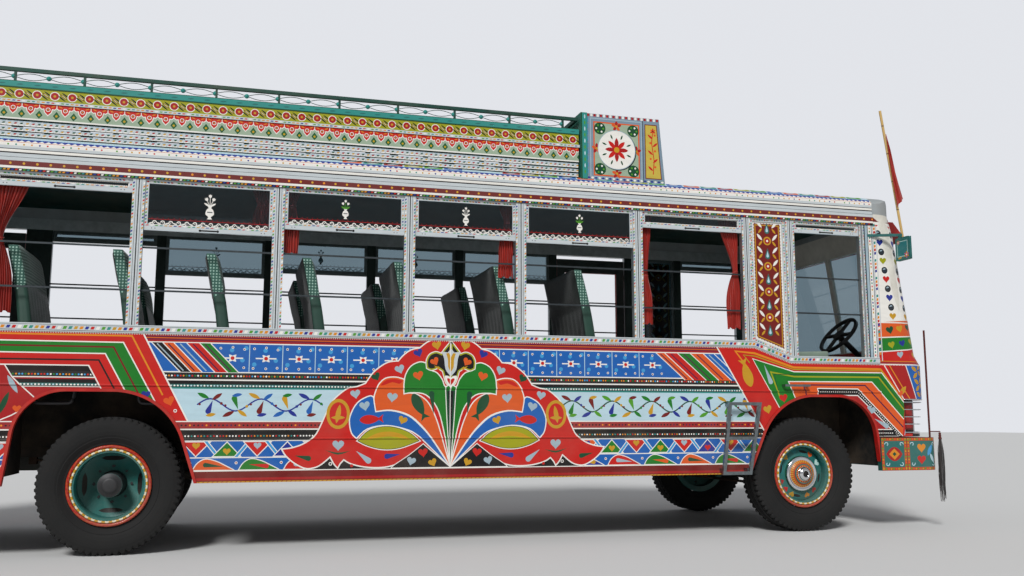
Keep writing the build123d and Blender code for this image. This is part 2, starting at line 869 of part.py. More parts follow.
# Steering knuckles: a yoke round the beam's boss, a spindle for the wheel and an arm for the tie rod
yoke_gap = 3
ear_thickness = 28
ear_half_width = 50
yoke_reach = 52
spindle_root = 930
spindle_radius = 34
spindle_end = 1120
arm_x = -200
arm_y = kingpin_y
arm_thickness = 26
tie_pin_radius = 8
tie_eye_height = 28
tie_gap = 2
tie_bore_gap = 1.2
tie_pin_end = 6
arm_low = boss_low - yoke_gap - ear_thickness
with BuildPart() as knuckle_right:
    with BuildSketch(Plane.XY.offset(arm_low)):
        with BuildLine():
            Polyline(
                (front_axle_x - ear_half_width, -kingpin_y + ear_half_width),
                (front_axle_x + ear_half_width, -kingpin_y + ear_half_width),
                (front_axle_x + ear_half_width, -spindle_root - 25),
                (front_axle_x - ear_half_width, -spindle_root - 25),
                close=True,
            )
        make_face()
        with BuildLine():
            Polyline(
                (front_axle_x + arm_x - 22, -arm_y - 22),
                (front_axle_x - 20, -kingpin_y - 20),
                (front_axle_x - 20, -kingpin_y + 40),
                (front_axle_x + arm_x - 22, -arm_y + 22),
                close=True,
            )
        make_face()
    extrude(amount=ear_thickness)
    with BuildSketch(Plane.XY.offset(boss_high + yoke_gap)):
        with Locations((front_axle_x, (-kingpin_y + ear_half_width - spindle_root - 25) / 2)):
            Rectangle(2 * ear_half_width, spindle_root + 25 - kingpin_y + ear_half_width)
    extrude(amount=ear_thickness)
    with BuildSketch(Plane.XY.offset(arm_low)):
        with Locations((front_axle_x, -spindle_root - 12.5)):
            Rectangle(2 * ear_half_width, 25)
    extrude(amount=boss_high + yoke_gap + ear_thickness - arm_low)
    with BuildSketch(Plane.XY.offset(arm_low)):
        with Locations((front_axle_x, -kingpin_y)):
            Circle(pin_radius)
    extrude(amount=boss_high + yoke_gap + ear_thickness - arm_low)
    with BuildSketch(Plane.XZ.offset(spindle_root)):
        with Locations((front_axle_x, axle_z)):
            Circle(spindle_radius)
    extrude(amount=spindle_end - spindle_root)
    with BuildSketch(Plane.XY.offset(arm_low - tie_gap - tie_eye_height - tie_pin_end)):
        with Locations((front_axle_x + arm_x, -arm_y)):
            Circle(tie_pin_radius)
    extrude(amount=tie_gap + tie_eye_height + tie_pin_end)
write(knuckle_right, "knuckle_right")
with BuildPart() as knuckle_left:
    mirror(knuckle_right.part, about=Plane.XZ)
write(knuckle_left, "knuckle_left")

# Tie rod behind the axle, with an eye round each arm's pin, the right one bored wider
tie_rod_radius = 13
tie_eye_radius = 15
tie_z = arm_low - tie_gap - tie_eye_height / 2
with BuildPart() as tie_rod:
    with BuildSketch(Plane.XZ.offset(-arm_y)):
        with Locations((front_axle_x + arm_x, tie_z)):
            Circle(tie_rod_radius)
    extrude(amount=2 * arm_y)
    with BuildSketch(Plane.XY.offset(tie_z - tie_eye_height / 2)):
        with Locations((front_axle_x + arm_x, -arm_y), (front_axle_x + arm_x, arm_y)):
            Circle(tie_eye_radius)
    extrude(amount=tie_eye_height)
    with BuildSketch(Plane.XY.offset(tie_z - tie_eye_height / 2)):
        with Locations((front_axle_x + arm_x, -arm_y)):
            Circle(tie_pin_radius + tie_bore_gap)
        with Locations((front_axle_x + arm_x, arm_y)):
            Circle(tie_pin_radius + running_gap)
    extrude(amount=tie_eye_height, mode=Mode.SUBTRACT)
write(tie_rod, "tie_rod")

# Wheels, each turned about the axle's line; the section is drawn with x as the radius and y outboard
rim_thickness = 10
disc_thickness = 12
hub_radius = 88
hub_hole_radius = spindle_radius + running_gap
hand_holes = 8
hand_hole_radius = 26
hand_hole_circle = 195


def rim_section(middle, disc_low, disc_high, hub_low, hub_high):
    # Half section of one rim with its disc and hub; middle is the rim's centre plane
    with BuildSketch() as section:
        with BuildLine():
            Polyline(
                (rim_radius - rim_thickness, middle - rim_width / 2),
                (flange_radius, middle - rim_width / 2),
                (flange_radius, middle - rim_width / 2 + rim_thickness),
                (rim_radius, middle - rim_width / 2 + rim_thickness),
                (rim_radius, middle + rim_width / 2 - rim_thickness),
                (flange_radius, middle + rim_width / 2 - rim_thickness),
                (flange_radius, middle + rim_width / 2),
                (rim_radius - rim_thickness, middle + rim_width / 2),
                close=True,
            )
        make_face()
        with BuildLine():
            Polyline(
                (rim_radius - rim_thickness, disc_low),
                (rim_radius - rim_thickness, disc_low + disc_thickness),
                (hub_radius + 30, disc_high + disc_thickness),
                (hub_radius, disc_high + disc_thickness),
                (hub_radius, hub_high),
                (hub_hole_radius, hub_high),
                (hub_hole_radius, hub_low),
                (hub_radius, hub_low),
                (hub_radius, disc_high),
                (hub_radius + 30, disc_high),
                close=True,
            )
        make_face()
    return section.sketch


def wheel_plane(axle, track):
    # A plane at the wheel's middle, with y pointing outboard on the right side
    return Plane(origin=(axle, -track, axle_z), x_dir=(1, 0, 0), z_dir=(0, 0, -1))


spin_axis_front = Axis((front_axle_x, 0, axle_z), (0, 1, 0))
spin_axis_rear = Axis((rear_axle_x, 0, axle_z), (0, 1, 0))
with BuildPart() as front_wheel_right:
    with BuildSketch(wheel_plane(front_axle_x, front_track_y)):
        add(rim_section(0, 10, 50, -60, 110))
    revolve(axis=spin_axis_front)
    with BuildSketch(Plane.XZ.offset(front_track_y - 30)):
        with Locations((front_axle_x, axle_z)):
            with PolarLocations(hand_hole_circle, hand_holes):
                Circle(hand_hole_radius)
    extrude(amount=120, mode=Mode.SUBTRACT)
write(front_wheel_right, "front_wheel_right")
with BuildPart() as front_wheel_left:
    mirror(front_wheel_right.part, about=Plane.XZ)
write(front_wheel_left, "front_wheel_left")

drum_radius = 205
drum_depth = 150
rear_hub_end = rear_outer_y + 70
mount_y = (rear_outer_y + rear_inner_y) / 2
with BuildPart() as rear_wheels_right:
    with BuildSketch(wheel_plane(rear_axle_x, 0)):
        outer_disc = rear_outer_y - rim_width / 2 + rim_thickness
        inner_disc = rear_inner_y + rim_width / 2 - rim_thickness - disc_thickness
        add(rim_section(rear_outer_y, outer_disc, mount_y, mount_y - 100, rear_hub_end))
        add(rim_section(rear_inner_y, inner_disc, mount_y - disc_thickness, mount_y - 100, rear_hub_end))
        with BuildLine():
            Polyline(
                (hub_radius, mount_y - 60),
                (drum_radius, mount_y - 60),
                (drum_radius, mount_y - 60 - drum_depth),
                (drum_radius - 14, mount_y - 60 - drum_depth),
                (drum_radius - 14, mount_y - 74),
                (hub_radius, mount_y - 74),
                close=True,
            )
        make_face()
    revolve(axis=spin_axis_rear)
    with BuildSketch(Plane.XZ.offset(mount_y - 40)):
        with Locations((rear_axle_x, axle_z)):
            with PolarLocations(hand_hole_circle + 20, hand_holes):
                Circle(hand_hole_radius)
    extrude(amount=120, mode=Mode.SUBTRACT)
write(rear_wheels_right, "rear_wheels_right")
with BuildPart() as rear_wheels_left:
    mirror(rear_wheels_right.part, about=Plane.XZ)
write(rear_wheels_left, "rear_wheels_left")


def tyre_section(middle):
    # Half section of a tyre, from its seat on the rim out to the tread
    half = tyre_width / 2
    bead_half = rim_width / 2 - rim_thickness - seat_gap
    with BuildSketch() as section:
        with BuildLine():
            Polyline(
                (rim_radius + seat_gap, middle - bead_half),
                (flange_radius + 4, middle - bead_half),
                (flange_radius + 46, middle - half + 6),
                (flange_radius + 100, middle - half),
                (tyre_radius - 40, middle - half + 4),
                (tyre_radius, middle - tread_width / 2),
                (tyre_radius, middle + tread_width / 2),
                (tyre_radius - 40, middle + half - 4),
                (flange_radius + 100, middle + half),
                (flange_radius + 46, middle + half - 6),
                (flange_radius + 4, middle + bead_half),
                (rim_radius + seat_gap, middle + bead_half),
                close=True,
            )
        make_face()
    return section.sketch


with BuildPart() as front_tyre_right:
    with BuildSketch(wheel_plane(front_axle_x, front_track_y)):
        add(tyre_section(0))
    revolve(axis=spin_axis_front)
write(front_tyre_right, "front_tyre_right")
with BuildPart() as front_tyre_left:
    mirror(front_tyre_right.part, about=Plane.XZ)
write(front_tyre_left, "front_tyre_left")
with BuildPart() as rear_tyres_right:
    with BuildSketch(wheel_plane(rear_axle_x, 0)):
        add(tyre_section(rear_outer_y))
        add(tyre_section(rear_inner_y))
    revolve(axis=spin_axis_rear)
write(rear_tyres_right, "rear_tyres_right")
with BuildPart() as rear_tyres_left:
    mirror(rear_tyres_right.part, about=Plane.XZ)
write(rear_tyres_left, "rear_tyres_left")

# Rear axle: tube, round final drive housing, spindles, spring pads and the shaft from the gearbox
axle_tube_radius = 60
housing_radius = 190
housing_width = 260
shaft_radius = 42
gearbox_x = 3250
gearbox_z = 780
shaft_start_x = rear_axle_x + housing_radius - 20
with BuildPart() as rear_axle:
    with BuildSketch(Plane.XZ.offset(-mount_y + 120)):
        with Locations((rear_axle_x, axle_z)):
            Circle(axle_tube_radius)
    extrude(amount=2 * mount_y - 240)
    with BuildSketch(Plane.XZ.offset(-rear_hub_end + 20)):
        with Locations((rear_axle_x, axle_z)):
            Circle(spindle_radius)
    extrude(amount=2 * rear_hub_end - 40)
    with BuildSketch(Plane.XZ.offset(-housing_width / 2)):
        with Locations((rear_axle_x, axle_z)):
            Circle(housing_radius)
    extrude(amount=housing_width)
    with BuildSketch(Plane.XY.offset(axle_z)):
        with Locations((rear_axle_x, -rail_y), (rear_axle_x, rail_y)):
            Rectangle(pad_length, leaf_width)
    extrude(amount=spring_base - axle_z)
    shaft_rise = atan2(gearbox_z - axle_z, gearbox_x - shaft_start_x)
    shaft_direction = (cos(shaft_rise), 0, sin(shaft_rise))
    with BuildSketch(Plane(origin=(shaft_start_x, 0, axle_z), x_dir=(0, 1, 0), z_dir=shaft_direction)):
        Circle(shaft_radius)
    extrude(amount=(gearbox_x - shaft_start_x) / cos(shaft_rise))
write(rear_axle, "rear_axle")

# Engine and gearbox as one plain block between the rails
engine_rear_x = 3720
engine_front_x = 4740
engine_half_width = 290
engine_low = 640
engine_high = 1380
mount_radius = 28
with BuildPart() as engine_block:
    with BuildSketch(Plane.XZ.offset(-engine_half_width)):
        with BuildLine():
            Polyline(
                (engine_rear_x, engine_low + 30),
                (engine_front_x, engine_low),
                (engine_front_x, engine_high),
                (engine_rear_x, engine_high),
                close=True,
            )
        make_face()
    extrude(amount=2 * engine_half_width)
    with BuildSketch(Plane.YZ.offset(gearbox_x + 20)):
        with Locations((0, gearbox_z)):
            Circle(150)
    extrude(amount=engine_rear_x - gearbox_x - 20)
    with BuildSketch(Plane.XZ.offset(-rail_y - rail_width / 2 + rail_plate)):
        with Locations((engine_rear_x + 150, 780), (engine_front_x - 150, 780)):
            Circle(mount_radius)
    extrude(amount=2 * rail_y + rail_width - 2 * rail_plate)
write(engine_block, "engine_block")

# Fuel tank under the bearers on the right
tank_rear_x = 30
tank_front_x = 1150
tank_inner_y = 520
tank_outer_y = 1080
tank_low = 560
with BuildPart() as fuel_tank:
    with BuildSketch(Plane.YZ.offset(tank_rear_x)):
        with Locations((-(tank_inner_y + tank_outer_y) / 2, (tank_low + rail_top) / 2)):
            RectangleRounded(tank_outer_y - tank_inner_y, rail_top - tank_low, 90)
    extrude(amount=tank_front_x - tank_rear_x)
write(fuel_tank, "fuel_tank")

# Exhaust along the left: pipe, silencer and side outlet, hung from the bearers
pipe_radius = 35
pipe_y = 620
pipe_z = 760
silencer_radius = 100
outlet_x = -1230
pipe_front_x = 3080
silencer_rear_x = 300
silencer_length = 900
exhaust_bearers = [4, 6, 7]
with BuildPart() as exhaust:
    with BuildSketch(Plane.YZ.offset(outlet_x)):
        with Locations((pipe_y, pipe_z)):
            Circle(pipe_radius)
    extrude(amount=pipe_front_x - outlet_x)
    with BuildSketch(Plane.YZ.offset(silencer_rear_x)):
        with Locations((pipe_y, pipe_z)):
            Circle(silencer_radius)
    extrude(amount=silencer_length)
    with BuildSketch(Plane.XZ.offset(-pipe_y + 20)):
        with Locations((outlet_x + 50, pipe_z)):
            Circle(pipe_radius)
    extrude(amount=-(inner_half_width - 30 - pipe_y))
    for number in exhaust_bearers:
        with BuildSketch(Plane.YZ.offset(bearers[number][0] - 15)):
            with Locations((pipe_y, (pipe_z + rail_top) / 2)):
                Rectangle(24, rail_top - pipe_z)
        extrude(amount=30)
write(exhaust, "exhaust")

# Bumpers: a wrapped one at the front and a straight bar at the rear
bumper_radius = 150
rear_bumper_low = 560
rear_bumper_high = 760
rear_bumper_depth = 85
hitch_spacing_y = 120
hitch_spacing_z = 80
hitch_hole_radius = 8.5
with BuildPart() as bumpers:
    with BuildSketch(Plane.XY.offset(bumper_bottom)):
        for inset, mode in ((0, Mode.ADD), (bumper_thickness, Mode.SUBTRACT)):
            half = body_half_width + bumper_proud - inset
            with BuildLine():
                FilletPolyline(
                    (bumper_back_x, -half),
                    (bumper_front_x - inset, -half),
                    (bumper_front_x - inset, half),
                    (bumper_back_x, half),
                    radius=bumper_radius - inset,
                )
                Line((bumper_back_x, half), (bumper_back_x, -half))
            make_face(mode=mode)
    extrude(amount=bumper_top - bumper_bottom)
    with BuildSketch(Plane.XY.offset(rear_bumper_low)):
        with Locations((rear_face_x - rear_bumper_depth / 2, 0)):
            Rectangle(rear_bumper_depth, 2 * body_half_width - 100)
    extrude(amount=rear_bumper_high - rear_bumper_low)
    fillet(bumpers.edges().filter_by(Axis.Z).group_by(Axis.X)[0], radius=40)
    with BuildSketch(Plane.YZ.offset(rear_face_x - rear_bumper_depth)):
        with Locations((0, (rear_bumper_low + rear_bumper_high) / 2)):
            with GridLocations(hitch_spacing_y, hitch_spacing_z, 2, 2):
                Circle(hitch_hole_radius)
    extrude(amount=rear_bumper_depth, mode=Mode.SUBTRACT)
write(bumpers, "bumpers")

# Roof rack: bearers with feet, slats along the roof
rack_rear_x = -4800
rack_front_x = 1620
rack_half_width = 1130
board_thickness = 20
rack_pitch = 490
rack_bays = 13
bearer_low = crown_height + 12
bearer_height = 36
foot_y = 1010
slat_count = 9
foot_low = roof_spring + 60
rack_setback = 140
rack_row_x = rack_front_x - rack_pitch * (rack_bays - 1) / 2 - rack_setback
with BuildPart() as rack_floor:
    with BuildSketch(Plane.XY.offset(bearer_low)):
        with Locations((rack_row_x, 0)):
            with GridLocations(rack_pitch, 0, rack_bays, 1):
                Rectangle(40, 2 * (rack_half_width - board_thickness))
    extrude(amount=bearer_height)
    with BuildSketch(Plane.XY.offset(foot_low)):
        with Locations((rack_row_x, 0)):
            with GridLocations(rack_pitch, 2 * foot_y, rack_bays, 2):
                Rectangle(40, 60)
    extrude(amount=bearer_low - foot_low)
    with BuildSketch(Plane.XY.offset(bearer_low + bearer_height)):
        with Locations(((rack_rear_x + rack_front_x) / 2, 0)):
            with GridLocations(0, 240, 1, slat_count):
                Rectangle(rack_front_x - rack_rear_x - 2 * board_thickness, 60)
    extrude(amount=18)
    add(roof_solid, mode=Mode.SUBTRACT)
write(rack_floor, "rack_floor")

# Painted side boards of the rack: a ring of boards and slats, joined by battens inside
board_courses = [
    # bottom and top above the crown of the roof, how far it stands proud
    (-108, -78, 0),
    (-66, -38, 0),
    (-26, 12, 0),
    (24, 155, 4),
    (155, 180, 12),
    (180, 270, 4),
    (270, 326, 8),
]
batten_width = 40
batten_depth = 18
batten_y = rack_half_width - board_thickness - batten_depth / 2
board_top = crown_height + board_courses[-1][1]
board_bottom = crown_height + board_courses[0][0]
rack_middle_x = (rack_rear_x + rack_front_x) / 2
rack_length = rack_front_x - rack_rear_x
with BuildPart() as rack_boards:
    for bottom, top, proud in board_courses:
        with BuildSketch(Plane.XY.offset(crown_height + bottom)):
            with Locations((rack_middle_x, 0)):
                Rectangle(rack_length + 2 * proud, 2 * (rack_half_width + proud))
                Rectangle(
                    rack_length - 2 * board_thickness,
                    2 * (rack_half_width - board_thickness),
                    mode=Mode.SUBTRACT,
                )
        extrude(amount=top - bottom)
    with BuildSketch(Plane.XY.offset(board_bottom)):
        with Locations((rack_row_x, 0)):
            with GridLocations(rack_pitch, 2 * batten_y, rack_bays - 1, 2):
                Rectangle(batten_width, batten_depth)
    extrude(amount=board_top - board_bottom)
    add(roof_solid, mode=Mode.SUBTRACT)
write(rack_boards, "rack_boards")

# Top rail of the rack on its posts
rail_radius = 14
top_rail_z = board_top + 92
rail_post_radius = 9
rail_line_y = rack_half_width - board_thickness / 2
with BuildPart() as rack_rails:
    with BuildSketch(Plane.XY.offset(top_rail_z - rail_radius)):
        with Locations((rack_middle_x, 0)):
            Rectangle(rack_length + 2 * rail_radius - board_thickness, 2 * (rail_line_y + rail_radius))
            Rectangle(
                rack_length - 2 * rail_radius - board_thickness,
                2 * (rail_line_y - rail_radius),
                mode=Mode.SUBTRACT,
            )
    extrude(amount=2 * rail_radius)
    with BuildSketch(Plane.XY.offset(board_top)):
        with Locations((rack_row_x, 0)):
            with GridLocations(rack_pitch, 2 * rail_line_y, rack_bays, 2):
                Rectangle(2 * rail_post_radius, 2 * rail_post_radius)
        with Locations((rack_rear_x + board_thickness / 2, 0)):
            with GridLocations(0, rack_pitch, 1, 3):
                Rectangle(2 * rail_post_radius, 2 * rail_post_radius)
    extrude(amount=top_rail_z - rail_radius - board_top)
write(rack_rails, "rack_rails")

# Crown box across the front of the rack: a hollow box with a slanted front and corner posts
crown_rear_x = rack_front_x + 20
crown_top_x = 2400
crown_foot_x = 2450
crown_half_width = 1140
crown_low = crown_height - 140
crown_top = crown_height + 480
crown_wall = 24
crown_post = 60
with BuildPart() as crown_box:
    with BuildSketch(Plane.XZ.offset(-crown_half_width)):
        with BuildLine():
            Polyline(
                (crown_rear_x, crown_low),
                (crown_foot_x, crown_low),
                (crown_top_x, crown_top),
                (crown_rear_x, crown_top),
                close=True,
            )
        make_face()
    extrude(amount=2 * crown_half_width)
    with BuildSketch(Plane.XZ.offset(-crown_half_width + crown_wall)):
        with BuildLine():
            Polyline(
                (crown_rear_x + crown_wall, crown_low - 10),
                (crown_foot_x - crown_wall, crown_low - 10),
                (crown_top_x - crown_wall, crown_top - crown_wall),
                (crown_rear_x + crown_wall, crown_top - crown_wall),
                close=True,
            )
        make_face()
    extrude(amount=2 * (crown_half_width - crown_wall), mode=Mode.SUBTRACT)
    with BuildSketch(Plane.XY.offset(crown_low)):
        with Locations((crown_rear_x + crown_post / 2, 0)):
            with GridLocations(0, 2 * crown_half_width, 1, 2):
                Rectangle(crown_post, 30)
    extrude(amount=crown_top - crown_low)
    add(roof_solid, mode=Mode.SUBTRACT)
write(crown_box, "crown_box")

# Crest above the windscreen, cut to the cab front that carries it
visor_low = window_head - 90
visor_high = roof_spring - 15
visor_reach = 190
visor_back_x = front_post_x + 250
with BuildPart() as sun_visor:
    with BuildSketch(Plane.XZ.offset(-windscreen_half_width)):
        with BuildLine():
            Polyline(
                (visor_back_x, visor_high),
                (front_sections[-1][1] + visor_reach - 90, visor_high),
                (front_sections[-2][1] + visor_reach, visor_low + 15),
                (front_sections[-2][1] + visor_reach - 6, visor_low),
                (visor_back_x, visor_high - 40),
                close=True,
            )
        make_face()
    extrude(amount=2 * windscreen_half_width)
    add(cab_solid, mode=Mode.SUBTRACT)
write(sun_visor, "sun_visor")

# Lamps: headlamps behind the wires of their niches, and tail lamps
headlamp_y = 820
headlamp_z = (niche_low + niche_high) / 2
headlamp_radius = 112
headlamp_bowl_radius = 80
headlamp_x = nose_x - 75
headlamp_bezel = 60
wire = 8
wire_heights = [wire, 84, 152, 220, 288]
wire_side_x = nose_x - 230
wire_front_ys = [headlamp_y - 80, headlamp_y + 80]
tail_lamp_radius = 55
tail_lamp_z = 1000
tail_lamp_ys = [820, 960]
tail_lamp_depth = 30
with BuildPart() as wires:
    for height in wire_heights:
        with BuildSketch(Plane.XY.offset(niche_low + height)):
            Rectangle(4 * nose_x, 4 * body_half_width)
        extrude(amount=wire)
    with BuildSketch(Plane.XY.offset(niche_low)):
        with Locations((wire_side_x, 0)):
            Rectangle(wire, 4 * body_half_width)
        for wire_y in wire_front_ys:
            with Locations((nose_x, -wire_y), (nose_x, wire_y)):
                Rectangle(2 * (nose_x - wire_side_x), wire)
    extrude(amount=niche_high - niche_low)
    add(niche_space, mode=Mode.INTERSECT)
    add(cab_solid, mode=Mode.INTERSECT)
    add(front_block(wire, front_post_x - 10), mode=Mode.SUBTRACT)
with BuildPart() as lamps:
    with BuildSketch(Plane.YZ.offset(niche_rear_x)):
        with Locations((-headlamp_y, headlamp_z), (headlamp_y, headlamp_z)):
            Circle(headlamp_bowl_radius)
    extrude(amount=headlamp_x - headlamp_bezel - niche_rear_x)
    with BuildSketch(Plane.YZ.offset(headlamp_x - headlamp_bezel)):
        with Locations((-headlamp_y, headlamp_z), (headlamp_y, headlamp_z)):
            Circle(headlamp_radius)
    extrude(amount=headlamp_bezel)
    with BuildSketch(Plane.YZ.offset(rear_face_x - tail_lamp_depth)):
        for lamp_y in tail_lamp_ys:
            with Locations((-lamp_y, tail_lamp_z), (lamp_y, tail_lamp_z)):
                Circle(tail_lamp_radius)
    extrude(amount=tail_lamp_depth)
    add(wires.part)
write(lamps, "lamps")

# Ladder on the rear panel, up to the rack
ladder_reach = 89
ladder_face_x = rear_face_x - ladder_reach
ladder_stay_z = crown_height + 100
rung_pitch = 290
ladder_y = -720
ladder_half_width = 190
ladder_low = 820
ladder_rungs = 9
tube = 28
with BuildPart() as roof_ladder:
    with BuildSketch(Plane.YZ.offset(ladder_face_x)):
        with Locations((ladder_y, (ladder_low + board_top) / 2)):
            with GridLocations(2 * ladder_half_width, 0, 2, 1):
                Rectangle(tube, board_top - ladder_low)
            with GridLocations(0, rung_pitch, 1, ladder_rungs):
                Rectangle(2 * ladder_half_width, tube)
    extrude(amount=tube)
    with BuildSketch(Plane.YZ.offset(ladder_face_x)):
        with Locations((ladder_y, (ladder_low + window_head) / 2)):
            with GridLocations(2 * ladder_half_width, window_head - ladder_low - 200, 2, 2):
                Rectangle(tube, tube)
    extrude(amount=ladder_reach)
    with BuildSketch(Plane.YZ.offset(ladder_face_x)):
        with Locations((ladder_y, ladder_stay_z)):
            with GridLocations(2 * ladder_half_width, 0, 2, 1):
                Rectangle(tube, tube)
    extrude(amount=rack_rear_x - 4 - ladder_face_x)
write(roof_ladder, "roof_ladder")

# Passenger doors on the left, hinged at their front edges
door_window_low = 1640
door_window_high = window_head - 190
door_frame = 90
handle_reach = 50
handle_width = 20
handle_length = 260
handle_z = 1420


def build_door(rear_edge, front_edge):
    with BuildPart() as door:
        low = rear_edge + door_gap
        high = front_edge - door_gap
        with BuildSketch(Plane.XZ.offset(-body_half_width)):
            with Locations(((low + high) / 2, (door_bottom + door_head) / 2)):
                Rectangle(high - low, door_head - door_bottom)
            with Locations(((low + high) / 2, (door_window_low + door_window_high) / 2)):
                Rectangle(high - low - 2 * door_frame, door_window_high - door_window_low, mode=Mode.SUBTRACT)
        extrude(amount=wall)
        with BuildSketch(Plane.XZ.offset(-body_half_width + wall / 2)):
            with Locations([((low + high) / 2, height) for height in bar_heights]):
                Rectangle(high - low - 2 * door_frame, bar_height)
        extrude(amount=bar_depth)
        with BuildSketch(Plane.YZ.offset(low)):
            with Locations([(body_half_width, height) for height in bead_heights]):
                Circle(bead_radius)
        extrude(amount=high - low)
        with BuildSketch(Plane.XZ.offset(-body_half_width - handle_reach)):
            with Locations((low + door_frame / 2, handle_z)):
                Rectangle(handle_width, handle_length)
        extrude(amount=handle_width)
        with BuildSketch(Plane.XZ.offset(-body_half_width - handle_reach)):
            with Locations((low + door_frame / 2, handle_z)):
                with GridLocations(0, handle_length - handle_width, 1, 2):
                    Rectangle(handle_width, handle_width)
        extrude(amount=handle_reach)
        for hinge_z in hinge_heights:
            with BuildSketch(Plane.XY.offset(hinge_z)):
                with Locations((high - hinge_radius, hinge_y)):
                    Circle(hinge_radius)
                with Locations((high - hinge_radius - leaf_length / 2, body_half_width + hinge_plate / 2)):
                    Rectangle(leaf_length, hinge_plate)
            extrude(amount=hinge_length)
    return door


for name, rear_edge, front_edge, post_edge in doorways:
    write(build_door(rear_edge, front_edge), name)

# Driver's step frame and grab handle on the right
step_tube = 14
step_y = body_half_width + 82
step_top = 1147
step_low = 520
step_top_x = 2935
step_low_x = 2855
step_length_top = 320
step_length_low = 280
grab_z = 1300
grab_rear_x = 3517
grab_length = 258
grab_tube = 20
grab_reach = 61
with BuildPart() as driver_step:
    with BuildSketch(Plane.XZ.offset(step_y - step_tube)):
        with BuildLine():
            Polyline(
                (step_top_x, step_top),
                (step_top_x + step_length_top, step_top),
                (step_low_x + step_length_low, step_low),
                (step_low_x, step_low),
                close=True,
            )
        make_face()
        offset(amount=-2 * step_tube, kind=Kind.INTERSECTION, mode=Mode.SUBTRACT)
        with Locations(((step_top_x + step_low_x + step_length_top) / 2 - 5, (step_top + step_low) / 2)):
            Rectangle(step_length_low + 10, 2 * step_tube)
    extrude(amount=2 * step_tube)
    with BuildSketch(Plane.XZ.offset(body_half_width)):
        with Locations((step_top_x + 20, step_top - step_tube)):
            Rectangle(2 * step_tube, 2 * step_tube)
        with Locations((step_top_x + step_length_top - 20, step_top - step_tube)):
            Rectangle(2 * step_tube, 2 * step_tube)
        with Locations((step_low_x + 30, step_low + 40)):
            Rectangle(2 * step_tube, 2 * step_tube)
        with Locations((step_low_x + step_length_low - 15, step_low + 40)):
            Rectangle(2 * step_tube, 2 * step_tube)
    extrude(amount=step_y - step_tube - body_half_width)
    with BuildSketch(Plane.XZ.offset(body_half_width + grab_reach - grab_tube)):
        with Locations((grab_rear_x + grab_length / 2, grab_z)):
            Rectangle(grab_length, grab_tube)
    extrude(amount=grab_tube)
    with BuildSketch(Plane.XZ.offset(body_half_width)):
        with Locations((grab_rear_x + grab_length / 2, grab_z)):
            with GridLocations(grab_length - grab_tube, 0, 2, 1):
                Rectangle(grab_tube, grab_tube)
    extrude(amount=grab_reach - grab_tube)
write(driver_step, "driver_step")

# Mirrors on arms from the cab posts, one on each side
mirror_arm_z = window_head - 112
mirror_x = 4776
arm_tip_x = mirror_x + 15
mirror_low = window_head - 350
mirror_high = window_head - 130
mirror_inner = body_half_width + 50
mirror_outer = body_half_width + 250
with BuildPart() as mirrors:
    with BuildSketch(Plane.XY.offset(mirror_arm_z)):
        with BuildLine():
            Polyline(
                (4490, -body_half_width),
                (4520, -body_half_width),
                (arm_tip_x + 0.8, -mirror_inner - 40),
                (arm_tip_x + 0.8, -mirror_inner - 70),
                close=True,
            )
        make_face()
    extrude(amount=24)
    with BuildSketch(Plane.YZ.offset(mirror_x - 12)):
        with Locations((-(mirror_inner + mirror_outer) / 2, (mirror_low + mirror_high) / 2)):
            RectangleRounded(mirror_outer - mirror_inner, mirror_high - mirror_low, 30)
        with Locations((-mirror_inner - 55, mirror_high)):
            Rectangle(20, 60)
    extrude(amount=24)
    mirror(about=Plane.XZ)
write(mirrors, "mirrors")

# Corner rods standing on the front bumper
rod_radius = 9
rod_inset = bumper_radius - (bumper_radius - bumper_thickness / 2) * cos(radians(45))
rod_x = bumper_front_x - rod_inset
rod_y = body_half_width + bumper_proud - rod_inset
rod_top = 1844
tassel_top = 880
tassel_reach = 62
hook_thickness = 10
with BuildPart() as corner_rods:
    with BuildSketch(Plane.XY.offset(bumper_top)):
        with GridLocations(0, 2 * rod_y, 1, 2):
            with Locations((rod_x, 0)):
                Circle(rod_radius)
    extrude(amount=rod_top - bumper_top)
    for side in (-1, 1):
        with BuildSketch(Plane.XY.offset(tassel_top)):
            hook_y = side * (rod_y + tassel_reach / 2)
            with Locations(Location((rod_x + tassel_reach / 2, hook_y), side * 45)):
                Rectangle(tassel_reach * 1.414 + 12, hook_thickness)
        extrude(amount=hook_thickness)
write(corner_rods, "corner_rods")

# Tassels hanging from the corner rods in front of the bumper
tassel_radius = 22
tassel_low = 222
with BuildPart() as tassels:
    with BuildSketch(Plane.XY.offset(tassel_low)):
        with GridLocations(0, 2 * (rod_y + tassel_reach), 1, 2):
            with Locations((rod_x + tassel_reach, 0)):
                Circle(tassel_radius)
    extrude(amount=tassel_top - tassel_low)
write(tassels, "tassels")

# Flag pole tied to the right mirror arm, leaning back, with its flag
pole_radius = 12
pole_y = mirror_inner + 55
pole_foot = (arm_tip_x + 35, -pole_y, mirror_arm_z - 126)
pole_head = (arm_tip_x - 160, -pole_y, 3934)
pole_line = Vector(*pole_head) - Vector(*pole_foot)
with BuildPart() as flag_pole:
    with BuildSketch(Plane(origin=pole_foot, x_dir=(0, 1, 0), z_dir=pole_line.normalized())):
        Circle(pole_radius)
    extrude(amount=pole_line.length)
write(flag_pole, "flag_pole")
flag_thickness = 6
flag_corners = [(4664, 3700), (4748, 3330), (4820, 3078), (4742, 2985), (4700, 3330)]
with BuildPart() as flag:
    with BuildSketch(Plane.XZ.offset(pole_y + pole_radius + seat_gap)):
        with BuildLine():
            Polyline(*flag_corners, close=True)
        make_face()
    extrude(amount=flag_thickness)
write(flag, "flag")

